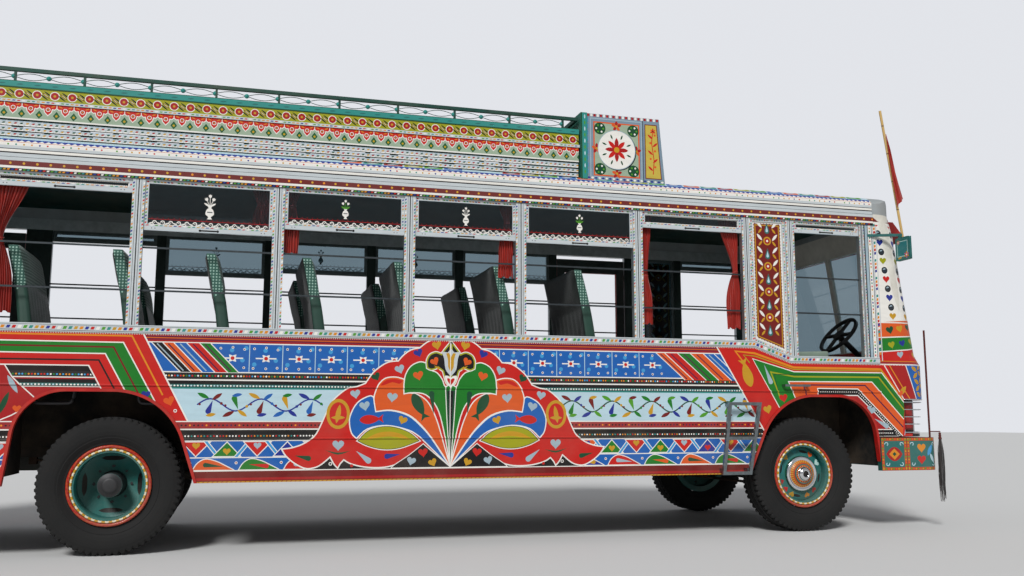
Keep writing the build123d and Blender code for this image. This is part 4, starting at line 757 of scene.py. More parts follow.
def side_bands(c):
    """The straight bands that run the length of the skirt."""
    x0, x1 = side_end_rear, side_end_front
    c.bands(x0, x1, [
        (1560, 1720, "crimson"), (1572, 1581, "white"), (1357, 1572, "blue"), (1349, 1358, "white"),
        (1299, 1349, "dots_black"), (1289, 1300, "white"), (1262, 1289, "black"),
        (1236, 1262, "dots_teal"),
        (984, 1236, "pale"), (1226, 1236, "sea"), (976, 985, "white"), (926, 976, "dots_maroon"),
        (916, 926, "white"), (884, 916, "black"), (840, 884, "dots_low"), (831, 840, "white"),
        (712, 831, "blue"), (704, 712, "white"), (614, 704, "blue"), (605, 614, "white"),
        (500, 605, "maroon"), (538, 556, "crimson"), (518, 530, "gold"),
    ])
    for z in (1620, 1599):
        c.stroke([(x0, z), (x1, z)], 7, "plum")
    c.stroke([(x0, 1610), (x1, 1610)], 4, "amber")
    for x, z in along((x0, 524), (4500, 524), 34):
        c.fill([(x - 9, z - 6), (x - 3, z - 6), (x + 9, z + 6), (x + 3, z + 6)], "crimson")


def cant_bands(c, x0, x1, dots="dots_cant"):
    """The bands over the windows, up to where the roof starts."""
    c.bands(x0, x1, [
        (2830, 2850, "black"), (2850, 2868, "white"), (2868, 2908, dots), (2908, 2940, "silver"),
    ])


def blue_panels(c, x0, x1):
    count = max(1, round((x1 - x0) / 252))
    step = (x1 - x0) / count
    for i in range(count):
        left = x0 + i * step
        middle = left + step / 2
        for dx, dz in ((38, 60), (200, 92), (120, 168), (226, 185)):
            c.dot(left + dx * step / 252, 1357 + dz, 17, "sky", 12)
        if i:
            c.stroke([(left, 1360), (left, 1570)], 6, "pale")
        c.fill(turned(leaf(0, 0, 78, 30), middle, 1464, 45), "white")
        c.fill(turned(leaf(0, 0, 78, 30), middle, 1464, -45), "white")
        c.fill(rect(middle - 78, 1459, middle + 78, 1469), "white")
        c.dot(middle, 1464, 15, "red", 12)
        for dx, dz in ((30, 30), (212, 34), (36, 182), (214, 176), (126, 28), (126, 190)):
            ring(c, left + dx * step / 252, 1357 + dz, 10, "white", "maroon")


def triangle_band(c, x0, x1):
    """Triangles that stand and hang in turn, each with a heart, and leaning bars between them."""
    half = 112
    fills = ["red", "green", "red", "navy", "red", "green", "orange", "green"]
    hearts = ["gold", "gold", "grey", "red", "gold", "red", "navy", "gold"]
    for i in range(int((x1 - x0) / (2 * half))):
        x = x0 + i * 2 * half + half
        k = i % len(fills)
        left, right = x - half + 8, x + half - 8
        if i % 2:
            lean, heart_height = 48, 752
            triangle = [(left, 716), (right, 716), (x, 826)]
        else:
            lean, heart_height = -48, 795
            triangle = [(left, 827), (x, 717), (right, 827)]
        c.edged(triangle, fills[k], "white", 7)
        c.fill(heart(x, heart_height, 58), hearts[k])
        bar = [
            (right - lean, 712), (right + 26 - lean, 712), (right + 26 + lean, 831), (right + lean, 831),
        ]
        c.fill(bar, "sky")
        for edge in (right - 2, right + 28):
            c.stroke([(edge - lean, 712), (edge + lean, 831)], 6, "white")


def drop_band(c, x0, x1):
    fills = ["green", "red", "navy", "red", "green", "orange"]
    drops = ["red", "grey", "gold", "grey", "orange", "forest"]
    count = int((x1 - x0) / 330)
    for i in range(count):
        x = x0 + i * (x1 - x0) / count
        shape = smooth([
            (x, 614), (x + 34, 668), (x + 92, 699), (x + 170, 682), (x + 240, 648), (x + 305, 614),
        ], (0, 5), 4)
        c.edged(shape, fills[i % 6], "white", 7)
        c.fill(drop(x + 150, 648, 150, 34, -6 if i % 2 else 174), drops[i % 6])
        ring(c, x + 316, 668, 11, "white", "crimson")


def lotus(c, middle):
    """The large flower in the middle of the side: half is drawn, then mirrored."""
    start = len(c.shapes)
    m = middle

    def at(line):
        return [(m + x, z) for x, z in line]

    def curve(line, sharp, steps=4):
        return smooth(at(line), sharp, steps)

    arc = [
        (-4, 1632), (-62, 1647), (-128, 1649), (-198, 1622), (-262, 1572), (-330, 1556), (-392, 1512),
        (-434, 1464), (-506, 1455), (-566, 1425), (-636, 1366), (-694, 1282), (-762, 1255), (-832, 1241),
        (-899, 1192), (-948, 1141), (-993, 1056), (-1028, 972), (-1068, 888), (-1108, 846), (-1173, 805),
        (-1254, 778), (-1330, 769), (-1296, 716), (-1230, 660), (-1150, 620), (-1085, 622), (-1028, 646),
        (-958, 704), (-928, 650), (-897, 617), (-880, 650), (-852, 682), (-800, 652), (-700, 626),
        (-580, 618), (-478, 630), (-375, 671), (-288, 730), (-222, 800), (2, 615), (2, 1632),
    ]
    sharp = (0, 4, 7, 11, 22, 28, 30, 32, 39, 40, 41)
    red = curve(arc, sharp)
    black = [
        (-1150, 618), (-1028, 650), (-958, 706), (-897, 640), (-852, 690), (-600, 640), (-225, 806),
        (2, 616), (2, 612), (-1150, 612),
    ]
    c.fill(at(black), "black")
    c.edged(red, "red", "white", 10)
    c.edged(curve([
        (-222, 802), (-340, 712), (-450, 640), (-480, 614), (2, 614),
    ], (0, 3, 4), 3), "black", "white", 6)
    blue = [
        (-633, 1177), (-712, 1159), (-770, 1108), (-810, 1022), (-813, 955), (-795, 887), (-757, 846),
        (-670, 922), (-516, 948), (-342, 911), (-254, 860), (-172, 781), (0, 617), (-146, 832),
        (-236, 936), (-343, 1025), (-484, 1066), (-606, 1057),
    ]
    c.edged(curve(blue, (6, 10, 12, 17)), "blue", "white", 9)
    lobe = [
        (-383, 1317), (-453, 1334), (-532, 1325), (-584, 1281), (-609, 1229), (-625, 1168), (-618, 1108),
        (-608, 1057), (-484, 1069), (-343, 1031), (-236, 945), (-137, 824), (0, 622), (-58, 814),
        (-112, 988), (-176, 1119), (-240, 1179), (-311, 1205), (-384, 1206),
    ]
    c.edged(curve(lobe, (0, 7, 12, 18)), "orange", "white", 9)
    c.fill(curve([
        (-395, 1306), (-455, 1318), (-530, 1308), (-572, 1268), (-540, 1270), (-480, 1292), (-420, 1280),
    ], (0,), 3), "red")
    green = [
        (-207, 1451), (-260, 1459), (-331, 1423), (-374, 1352), (-386, 1265), (-384, 1200), (-311, 1210),
        (-205, 1193), (-114, 1093), (-58, 919), (0, 624), (2, 1290), (-46, 1262), (-72, 1320),
        (-116, 1373), (-170, 1397),
    ]
    c.edged(curve(green, (0, 5, 10, 11)), "green", "white", 9)
    c.fill(at([(-42, 1230), (1, 1230), (1, 640)]), "forest")
    c.fill(at([(-22, 1225), (1, 1225), (1, 650)]), "black")
    c.stroke(at([(-44, 1260), (-30, 1000), (-3, 630)]), 7, "white")
    cap = [
        (0, 1640), (-28, 1605), (-64, 1560), (-82, 1533), (-127, 1546), (-181, 1522), (-207, 1469),
        (-203, 1407), (-161, 1390), (-108, 1409), (-71, 1383), (-40, 1286), (2, 1270), (2, 1640),
    ]
    shape = curve(cap, (0, 3, 7, 9, 10, 12, 13))
    c.edged(shape, "olive", "white", 7)
    c.fill(grown(shape, -15), "black")
    c.fill(turned(heart(0, 0, 74), m - 133, 1462, 30), "orange")
    c.fill(drop(m - 118, 1418, 60, 20, 150), "gold")
    tulip = [
        (0, 1574), (-28, 1540), (-82, 1548), (-58, 1490), (-44, 1400), (0, 1345), (2, 1345), (2, 1574),
    ]
    c.fill(curve(tulip, (0, 1, 2, 5, 6, 7)), "silver")
    c.fill(curve([
        (-18, 1536), (-40, 1532), (-26, 1480), (-22, 1420), (1, 1380), (1, 1500),
    ], (0, 1, 4, 5)), "gold")
    c.fill(curve([(-52, 1345), (-20, 1348), (1, 1330), (1, 1250), (-34, 1290)], (2, 3), 3), "white")
    c.fill(curve([(-32, 1325), (-14, 1328), (1, 1316), (1, 1272), (-20, 1295)], (2, 3), 3), "red")
    eye = [
        (-755, 827), (-654, 920), (-500, 946), (-342, 902), (-245, 824), (-410, 766), (-548, 757),
        (-668, 785),
    ]
    shape = curve(eye, (0, 4))
    c.edged(shape, "black", "white", 7)
    c.fill(grown(shape, -8), "olive")
    c.fill(curve([
        (-700, 832), (-600, 886), (-500, 900), (-400, 880), (-320, 830), (-500, 862),
    ], (0, 4), 3), "gold")
    for x, z, size, angle, colour in (
        (-119, 1594, 78, 12, "gold"), (-270, 1529, 76, 24, "navy"), (-420, 1395, 80, 20, "grey"),
        (-610, 1332, 74, 30, "forest"),
        (-772, 1193, 80, 10, "grey"), (-696, 1099, 84, 12, "grey"), (-478, 1169, 86, -6, "grey"),
        (-268, 1345, 84, 14, "orange"),
        (-392, 988, 74, -20, "gold"), (-898, 792, 92, 0, "grey"), (-222, 730, 78, 8, "red"),
        (-142, 651, 70, 24, "gold"), (-318, 664, 74, -14, "grey"),
    ):
        c.fill(heart(m + x, z, size, angle), colour)
    c.fill(ellipse(m - 904, 1039, 92, 118, 26), "gold")
    c.fill(ellipse(m - 904, 1039, 68, 92, 24), "red")
    c.fill(leaf(m - 904, 1039, 150, 40, 80), "gold")
    c.fill(leaf(m - 904, 1010, 110, 30, 0), "gold")
    c.fill(curve([(-1000, 760), (-900, 722), (-800, 752), (-900, 738)], (0, 2), 3), "forest")
    c.fill(drop(m - 1168, 705, 130, 40, 168), "forest")
    c.fill(drop(m - 700, 705, 150, 46, 142), "grey")
    c.fill(drop(m - 470, 712, 130, 42, 8), "navy")
    c.fill(drop(m - 150, 1130, 190, 44, 276), "forest")
    c.fill(fish(m - 640, 997, 190, 4), "red")
    c.fill(fish(m - 258, 1100, 230, 118, True), "forest")
    ring(c, m - 955, 652, 14, "white", "black")
    c.dot(m - 790, 636, 12, "red", 10)
    c.mirrored(start, m)


def rear_group(c):
    end = side_end_rear
    c.fill([(end, 1655), (-1917, 1655), (-1563, 984), (end, 984)], "red")
    c.stroke([(end, 1617), (-1987, 1618), (-1750, 1177)], 12, "amber")
    r1 = [(end, 1570), (-2045, 1568), (-1722, 984)]
    r2 = [(end, 1483), (-2167, 1482), (-1892, 984)]
    r3 = [(end, 1392), (-2277, 1392), (-2052, 984)]
    c.fill(r1 + r2[::-1], "green")
    c.fill(r2 + r3[::-1], "red")
    c.fill(r3 + [(end, 984)], "crimson")
    c.stroke([(end, 1534), (-2112, 1532), (-1810, 984)], 12, "maroon")
    c.stroke([(end, 1434), (-2209, 1433), (-1960, 984)], 12, "black")
    for line in (r1, r2, r3):
        c.stroke(line, 9, "white")
    c.stroke([(-1917, 1655), (-1563, 984)], 11, "white")
    box = [(-2841, 1388), (-2280, 1388), (-2236, 1306), (-2787, 1306)]
    c.fill(box, "black")
    c.fill([(-2800, 1349), (-2270, 1349), (-2240, 1301), (-2790, 1301)], "dots_black")
    c.stroke([(-2841, 1390), (-2787, 1304), (-2233, 1304)], 8, "white")
    c.fill([(-2780, 1290), (-2228, 1290), (-2214, 1262), (-2750, 1262)], "black")
    c.fill([(-2745, 1262), (-2214, 1262), (-2200, 1238), (-2720, 1238)], "dots_teal")
    c.stroke([(-2720, 1236), (-2190, 1236)], 8, "white")
    c.stroke([(-2787, 1303), (-2741, 1257), (-2605, 1131), (-2775, 1024), (-2850, 990)], 8, "white")
    c.fill(heart(-1700, 1130, 80, 20), "orange")
    ring(c, -1655, 1060, 13, "white", "crimson")
    c.fill(heart(-1868, 1178, 66), "navy")
    for x in (-3020, -3620, -4220, -4780):
        c.fill(smooth([
            (x - 150, 1010), (x - 190, 1120), (x - 110, 1210), (x - 10, 1160), (x + 60, 1235),
            (x + 20, 1330), (x + 90, 1350), (x + 130, 1290), (x + 110, 1170), (x + 60, 1060),
            (x - 40, 1000),
        ], (), 3), "gold")
        c.fill(smooth([
            (x - 110, 1040), (x - 130, 1120), (x - 80, 1160), (x - 20, 1110), (x - 40, 1050),
        ], (), 3), "orange")
        c.fill(leaf(x - 60, 1260, 190, 40, 30), "forest")
        c.fill(leaf(x + 190, 1110, 180, 40, 70), "forest")
        c.fill(leaf(x + 240, 1250, 150, 36, 120), "grey")
        ring(c, x + 62, 1300, 15, "black", "white")
        c.fill(heart(x + 280, 1070, 60), "orange")
    diagonal_stripes(
        c, [-1847, -1768, -1688, -1595, -1501], 215, ["black", "orange", "blue", "red", "green"],
        (1574, 1353), -1420,
    )


def diagonal_stripes(c, tops, run, colours, heights, end):
    high, low = heights
    edges = tops + [end]
    for a, b, colour in zip(edges, edges[1:], colours):
        c.fill([(a, high), (b, high), (b + run, low), (a + run, low)], colour)
        c.stroke(
            [((a + b) / 2, high - 8), ((a + b) / 2 + run * 0.92, low + 10)], 9,
            "grey" if colour in ("blue", "black") else "plum",
        )
    for x in edges:
        c.stroke([(x, high), (x + run, low)], 7, "white")


def front_group(c):

    f0 = [(3352, 850), (2870, 1650)]
    f1 = [(3545, 1000), (3231, 1537), (3646, 1426), (4575, 1428), (4810, 1145)]
    f2 = [(3690, 1100), (3586, 1337), (3700, 1338), (4464, 1342), (4790, 1000)]
    f3 = [(3890, 1150), (3885, 1277), (3900, 1278), (4309, 1276), (4770, 845)]
    f4 = [(3950, 1150), (3950, 1215), (3960, 1216), (4305, 1216), (4725, 838)]
    c.fill([
        (3352, 835), (2870, 1650), (2870, 1720), (4640, 1720), (4900, 1500), (4960, 1180), (4960, 835),
    ], "red")
    c.fill(f1 + f2[::-1], "green")
    c.fill(f2 + f3[::-1], "orange")
    c.fill(f3 + f4[::-1], "black")
    c.fill(f4 + [(4500, 838), (4400, 1100), (3950, 1150)], "crimson")
    c.stroke([
        (3184, 1449), (3060, 1602), (3255, 1586), (3647, 1465), (4565, 1462), (4790, 1180),
    ], 18, "amber")
    c.stroke([
        (3200, 1500), (3140, 1570), (3260, 1560), (3647, 1446), (4570, 1445), (4795, 1165),
    ], 8, "olive")
    c.stroke([(3500, 1180), (3410, 1420), (3646, 1382), (4540, 1386), (4800, 1085)], 13, "olive")
    c.stroke([(3480, 1250), (3445, 1400), (3650, 1402), (4552, 1404), (4800, 1105)], 6, "forest")
    c.stroke([(3780, 1170), (3740, 1308), (4390, 1309), (4780, 925)], 12, "plum")
    for line in (f1, f2, f3, f4):
        c.stroke(line, 9, "white")
    c.stroke(f0, 12, "white")
    for a, b in zip(((3900, 1246), (4309, 1246)), ((4300, 1246), (4745, 845))):
        c.row(a, b, 22, ["white"], lambda x, z: ellipse(x, z, 6, 6, 8))
    c.fill(fish(3168, 1410, 260, 108), "gold")
    c.fill(drop(3379, 1400, 190, 44, 112), "grey")
    c.fill(heart(3530, 1185, 84, 10), "red")
    c.fill(heart(3366, 1083, 84, 16), "gold")
    c.fill(heart(4440, 1078, 92, -20), "grey")
    c.fill(drop(4545, 965, 170, 48, 152), "grey")
    c.fill([(4500, 838), (4500, 905), (4660, 905), (4725, 838)], "black")
    c.row((4505, 872), (4670, 872), 22, ["white"], lambda x, z: ellipse(x, z, 6, 6, 8))
    c.stroke([(4470, 905), (4660, 905)], 8, "white")
    c.stroke([(4470, 842), (4725, 842)], 8, "white")


def nose(c):
    """The rounded corner of the cab, from the bumper up to the roof."""
    end = side_end_front
    c.fill(rect(4880, 835, end, 1180), "black")
    c.fill([(4640, 1512), (4838, 1512), (4955, 1180), (4806, 1180)], "crimson")
    c.stroke([(4600, 1512), (4806, 1180)], 9, "white")
    c.stroke([(4660, 1506), (4800, 1290), (4870, 1190)], 10, "amber")
    c.fill(leaf(4795, 1262, 120, 46, 48), "gold")
    c.fill(heart(4770, 1235, 62, 20), "orange")
    c.edged([(4840, 1512), (5130, 1512), (5150, 1185), (4950, 1185)], "blue", "white", 9)
    for i, (x, z) in enumerate(along((4960, 1500), (5030, 1200), 62)):
        c.fill(leaf(x - 26, z, 84, 38, 40 if i % 2 else 150), "gold")
        c.fill(leaf(x + 52, z + 20, 84, 38, 150 if i % 2 else 40), "gold")
    c.fill([(5130, 1512), (end, 1512), (end, 1185), (5150, 1185)], "red")
    c.stroke([(4806, 1182), (end, 1182)], 9, "white")
    c.stroke([(4806, 1182), (4850, 1110), (4790, 850)], 7, "grey")
    c.fill(rect(4400, 1512, end, 1720), "red")
    c.fill(rect(4400, 1512, end, 1536), "dots_maroon")
    c.stroke([(4500, 1538), (end, 1538)], 6, "amber")
    c.fill(heart(4790, 1600, 70, 8), "grey")
    c.fill(heart(4980, 1600, 64, -8), "gold")
    c.fill([(4400, 1610), (end, 1690), (end, 1800), (4400, 1760)], "green")
    c.fill([(4400, 1740), (end, 1800), (end, 1960), (4400, 1905)], "orange")
    c.fill([(4400, 1890), (end, 1960), (end, 2950), (4400, 2950)], "white")
    for line in (
        [(4400, 1612), (4880, 1650), (end, 1700)], [(4400, 1750), (4880, 1775), (end, 1810)],
        [(4400, 1900), (4880, 1905), (end, 1930)],
    ):
        c.stroke(line, 10, "white")
    for x, z, size, colour in (
        (4700, 1690, 74, "olive"), (4820, 1708, 70, "navy"), (4950, 1730, 74, "olive"),
        (4690, 1830, 84, "forest"), (4800, 1845, 76, "gold"), (4920, 1862, 80, "forest"),
        (5040, 1880, 70, "gold"),
    ):
        c.fill(heart(x, z, size, 14), colour)
    marks = ["gold", "disc", "navy", "disc", "red", "disc", "olive", "disc", "navy", "disc", "red"]
    for column in (-34, 150):
        for i, colour in enumerate(marks):
            z = 1962 + i * 88
            x = front_face_x(z) - corner_radius + column
            if colour == "disc":
                c.dot(x, z, 33, "black", 18)
                c.dot(x, z, 27, "slate", 18)
                # The grey crescent on the upper side of each dark disc is a painted highlight, a glint on
                # the glass button.
                c.fill(smooth([
                    (x - 20, z + 4), (x - 4, z + 20), (x + 14, z + 14), (x - 2, z + 6),
                ], (0,), 3), "grey")
            else:
                c.fill(heart(x, z, 74), colour)
    c.bands(4400, end, [(2838, 2866, "white"), (2866, 2910, "dots_cant"), (2910, 2945, "silver")])
    for i, z in enumerate(range(1560, 2820, 34)):
        c.fill(
            [(4562, z), (4582, z + 6), (4582, z + 30), (4562, z + 24)],
            ["red", "amber", "sea", "white", "navy"][i % 5],
        )
    c.stroke([(4592, 1540), (4592, 2830)], 10, "silver")


def nose_outline():
    """The corner of the cab, which ends short of the windscreen's glass between 1692 and 2707."""
    far = math.pi / 2 * corner_radius
    cut = 1.404 * corner_radius
    loop = [(front_post_x + 1, 842)]
    reaches = [(z, far) for z in (842, 1200, 1500, 1600, 1680, 1692)]
    reaches += [(z, cut) for z in (1693, 2000, 2400, 2706)]
    reaches += [(z, far) for z in (2707, 2740, 2938)]
    loop += [(front_face_x(z) - corner_radius + reach, z) for z, reach in reaches]
    return loop + [(front_post_x + 1, 2938)]


def skirt_outline():
    """The side below the windows, with the rear corner."""
    rear, low, front = side_end_rear + 10, skirt_bottom + 1, front_post_x - 0.5
    return [
        (rear, low), (4509, low), (4509, 836), (front, 836), (front, cab_sill_height),
        (slope_end_x, cab_sill_height), (slope_start_x, sill_height), (rear, sill_height),
    ]


def door_outline(doorway):
    """A door's face below the sill, inside its gap."""
    rear, front = doorway[1:3]
    return rect(rear + door_gap + 1, door_low + 1, front - door_gap - 1, sill_height - 1)


def doorway_hole(doorway):
    rear, front = doorway[1:3]
    return rect(rear - 1, door_low - door_gap - 1, front + 1, sill_height + 300)


def both_sides(mosaic, name, regions, placer, left_regions=None):
    """One piece on each side of the body, with placer(side) to place its points."""
    mosaic.piece(name + "_right", regions, placer(-1), "coach_body")
    mosaic.piece(name + "_left", left_regions or regions, placer(1), "coach_body", True)


def raised(proud, lift=1.2):
    """Places trim on parts that stand proud of the side, or behind it."""
    return lambda side: side_place(side, lift, False, proud)


side = Canvas()
side_bands(side)
blue_panels(side, -1380, 2380)
vine(side, -1500, -560, 1106, 210, ["navy", "green", "maroon", "gold", "blue"])
vine(side, 1420, 3240, 1106, 210, ["green", "maroon", "navy", "lime", "gold"], "forest")
triangle_band(side, side_end_rear, 4500)
drop_band(side, side_end_rear, 4500)
rear_group(side)
diagonal_stripes(
    side, [2290, 2372, 2495, 2618, 2744], 272, ["orange", "red", "green", "orange", "blue"], (1572, 1338),
    2850,
)
front_group(side)
lotus(side, 465)
nose(side)
rail_line = [
    (side_end_rear, sill_height), (slope_start_x, sill_height), (slope_end_x, cab_sill_height),
    (side_end_front, cab_sill_height),
]
side.fill(teeth(rail_line, 17, 13), "white")
arch_holes = [arch_loop(*arch, grow=arch_lip + 1) for arch in arches]
bead_guides = [h + d for h in bead_heights for d in (-10, -9, -7, -4, 0, 4, 7, 9, 10)]
face_bends = [z for z, x in front_sections[1:-1]]
mosaic = Mosaic(
    side,
    {
        "right": [skirt_outline()] + arch_holes,
        "left": [skirt_outline()] + arch_holes + [doorway_hole(doorway) for doorway in doorways],
        "door_front": [door_outline(doorways[0])],
        "door_rear": [door_outline(doorways[1])],
        "nose": [nose_outline(), rect(4800, 866, side_end_front + 10, 1180)],
    },
    guides_x=[4560, 4800] + list(range(4830, 5300, 32)) + list(range(-5190, -4950, 22)),
    guides_z=bead_guides + face_bends,
)
both_sides(mosaic, "side_art", "right", side_place, "left")
both_sides(mosaic, "nose_art", "nose", raised(0, 2.2))
for name in ("door_front", "door_rear"):
    mosaic.piece(name + "_art", name, side_place(1), name, True)

# Rails, posts and sashes of the windows

chips = ["red", "amber", "sea", "white", "navy", "gold", "lime"]
mixed_chips = [chips[(i * 3) % len(chips)] for i in range(len(chips))]
paired_chips = [chips[(i * 2) % len(chips)] for i in range(len(chips))]
bays = [
    # rear edge, front edge, bottom of the raised sash
    (-4860, -4140, 2440),
    (-4050, -3090, 2440),
    (-3000, -2040, 2722),
    (-1950, -990, 2435),
    (-900, 65, 2499),
    (155, 1020, 2501),
    (1110, 2095, 2494),
    (2185, 3165, 2684),
    (3705, 4405, 2720),
]

stile = 28
bottom_rail = 45


def rail_base(x):
    """Height of the waist rail's lower edge."""
    t = min(max((x - slope_start_x) / (slope_end_x - slope_start_x), 0), 1)
    return sill_height + (cab_sill_height - sill_height) * t


def rail_strip(c, low, high, colour):
    line = [rear_post_x, slope_start_x, slope_end_x, front_post_x]
    c.fill(
        [(x, rail_base(x) + low) for x in line] + [(x, rail_base(x) + high) for x in line[::-1]], colour,
    )


def chip_row(c, x0, x1, low, high, pitch, lean=6, base=None):
    """Small leaning decals side by side in changing colours."""
    for i in range(int((x1 - x0) / pitch)):
        a = x0 + (i + 0.15) * pitch
        b = a + pitch * 0.62
        za, zb = (base(a), base(b)) if base else (0, 0)
        chip = [(a, low + za), (b, low + zb), (b + lean, high + zb), (a + lean, high + za)]
        c.fill(chip, mixed_chips[i % len(chips)])


def post_art(c, rear, front, foot):
    middle = (rear + front) / 2
    c.fill(rect(rear, foot, front, window_head), "silver")
    if front - rear > 120 and foot < 1600:
        for low, high, colour in (
            (52, 64, "slate"), (64, 92, "grey"), (92, 98, "black"), (98, 134, "white"),
            (134, 139, "slate"),
        ):
            c.fill(rect(rear + low, foot, rear + high, window_head), colour)
        for i, z in enumerate(range(foot + 12, window_head - 24, 31)):
            c.fill(rect(rear + 109, z, rear + 122, z + 17), paired_chips[i % len(chips)])
        middle = rear + 26
    elif front - rear > 120:
        c.edged(rect(rear + 46, foot + 14, front - 14, window_head - 14), "crimson", "gold", 7)
        x = (rear + front + 32) / 2
        for i, z in enumerate(range(foot + 70, window_head - 60, 92)):
            size = min(86, (front - rear) * 0.34)
            c.fill(leaf(x - size * 0.3, z + 30, size, size * 0.36, 40), "forest")
            c.fill(leaf(x + size * 0.3, z + 30, size, size * 0.36, 140), "lime")
            c.fill(heart(x, z, size * 0.7), ["gold", "orange", "grey"][i % 3])
        middle = rear + 22
    half = min(45, middle - rear)
    for edge, lean in ((middle - half, 1), (middle + half, -1)):
        near, far = sorted((edge + lean, edge + lean * half * 0.3))
        for i, z in enumerate(range(int(foot) + 8, window_head - 24, 27)):
            c.fill([
                (near, z), (far, z + 7), (far, z + 20), (near, z + 13),
            ], chips[(i * 2 + (lean > 0)) % len(chips)])
    c.fill(rect(middle - 4, foot, middle + 4, window_head), "black")
    for x in (middle - half * 0.42, middle + half * 0.42):
        c.fill(rect(x - 1.5, foot, x + 1.5, window_head), "slate")


def sash_art(c, rear, front, bottom):
    """Aluminium frame of a raised sash, with its decals and pull."""
    c.fill(rect(rear, bottom, front, window_head), "silver")
    chip_row(c, rear + 8, front - 8, bottom + 36, bottom + 43, 34, 6)
    c.stroke([(rear, bottom + 33), (front, bottom + 33)], 2, "grey")
    for x in (rear + 60, rear + 84, front - 84, front - 60):
        c.dot(x, bottom + 18, 4, "slate", 8)
    c.stroke([(rear, bottom + 4), (front, bottom + 4)], 2, "grey")
    middle = (rear + front) / 2
    c.fill(rect(middle - 66, bottom + 9, middle + 66, bottom + 21), "black")
    for x in (middle - 66, middle + 66):
        c.dot(x, bottom + 15, 10, "black", 12)
    chip_row(c, rear + 8, front - 8, window_head - 20, window_head - 9, 25, -4)
    for x in (rear + 14, front - 14):
        for i, z in enumerate(range(int(bottom) + 52, window_head - 34, 26)):
            c.fill([
                (x - 6, z), (x + 6, z + 5), (x + 6, z + 17), (x - 6, z + 12),
            ], paired_chips[i % len(chips)])


def lace(c, x0, z0, x1, z1, radius):
    """Scallops along the inside of a rectangle."""
    inset = radius * 0.2
    for a, b in around(rect(x0, z0, x1, z1)):
        for x, z in along(a, b, radius * 1.9):
            x = min(max(x, x0 + inset), x1 - inset)
            z = min(max(z, z0 + inset), z1 - inset)
            c.dot(x, z, radius, "white", 10)


def tulip_vase(c, x, z, height, leafy):
    """A footed vase with three tulips, in one pale colour."""
    h = height
    body = [
        (-0.1, 0), (0.1, 0), (0.05, 0.09), (0.16, 0.2), (0.12, 0.38), (0.05, 0.45), (0.09, 0.52),
        (-0.09, 0.52), (-0.05, 0.45), (-0.12, 0.38), (-0.16, 0.2), (-0.05, 0.09),
    ]
    c.fill(smooth([(x + a * h, z + b * h) for a, b in body], (0, 1, 6, 7), 3), "white")
    c.fill(rect(x - 0.1 * h, z + 0.26 * h, x + 0.1 * h, z + 0.3 * h), "slate")
    for lean, reach in ((-26, 0.30), (0, 0.40), (26, 0.30)):
        dx, dz = math.sin(math.radians(lean)), math.cos(math.radians(lean))
        tip = (x + dx * reach * h, z + 0.52 * h + dz * reach * h)
        c.stroke([(x, z + 0.5 * h), tip], 0.022 * h, "lime" if leafy else "white")
        bud = [
            (-0.055, -0.02), (0, -0.075), (0.055, -0.02), (0.06, 0.07), (0.028, 0.035), (0, 0.085),
            (-0.028, 0.035), (-0.06, 0.07),
        ]
        c.fill(turned([(a * h, b * h) for a, b in bud], tip[0], tip[1], -lean), "white")
    for lean in (-58, 58):
        c.fill(leaf(
            x + math.sin(math.radians(lean)) * 0.14 * h, z + 0.58 * h, 0.24 * h, 0.075 * h, 90 - lean,
        ), "lime" if leafy else "white")


def pane_art(c, index, rear, front, bottom):
    """White decals on the raised glass."""
    x0, x1, z0, z1 = rear + stile, front - stile, bottom + bottom_rail, window_head - stile
    if z1 - z0 < 120:
        lace(c, x0, z0, x1, z1, 7)
        return
    for i, x in enumerate(spaced(x0 + 8, x1 - 8, 58)):
        lean = -1 if i % 2 else 1
        c.fill(turned(ribbon(
            [(14 * math.cos(t * 0.55), 14 * math.sin(t * 0.55)) for t in range(9)], 7,
        ), x + 12, z0 + 20, 0, 1, lean < 0), "white")
        c.fill(leaf(x - 16, z0 + 14, 38, 11, 18 * lean), "white")
        c.dot(x + 12, z0 + 20, 4, "white", 8)
    c.fill(rect(x0, z0, x1, z0 + 6), "white")
    c.fill(rect(x0, z0 + 44, x1, z0 + 49), "crimson")
    c.row(
        (x0 + 10, z0 + 60), (x1 - 10, z0 + 60), 40, ["crimson"], lambda x,
        z: ellipse(x, z0 + 58, 3.5, 3.5, 8),
    )
    tulip_vase(c, (x0 + x1) / 2, z0 + 66, (z1 - z0) * 0.62, index % 2 == 0)


def quarter_art(c, x0, x1):
    """Painted glass of the narrow panel behind the cab."""
    top = window_head - stile
    outline = [(x0, waist_at(x0) + stile + 4), (x1, waist_at(x1) + stile + 4), (x1, top), (x0, top)]
    c.fill(outline, "maroon")
    for a, b in around(outline):
        c.row(a, b, 30, ["white"], lambda x, z: ellipse(x, z, 19, 19, 12))
    inner = grown(outline, -26)
    c.fill(inner, "gold")
    c.fill(grown(inner, -9), "maroon")
    middle = (x0 + x1) / 2
    for i, z in enumerate(range(1800, 2760, 118)):
        if i % 2:
            c.dot(middle, z, 40, "gold", 20)
            c.dot(middle, z, 27, "crimson", 18)
            c.dot(middle, z, 11, "white", 12)
        else:
            c.fill(drop(middle, z, 104, 52, 90), "teal")
            c.fill(drop(middle, z - 6, 60, 26, 90), "pale")
        for lean in (-1, 1):
            c.fill(leaf(middle + lean * 78, z + 34, 82, 26, 90 - lean * 42), "white")
            c.fill(leaf(middle + lean * 70, z - 24, 62, 20, 90 + lean * 40), "gold")


def waist_at(x):
    return rail_base(x) + rail_height


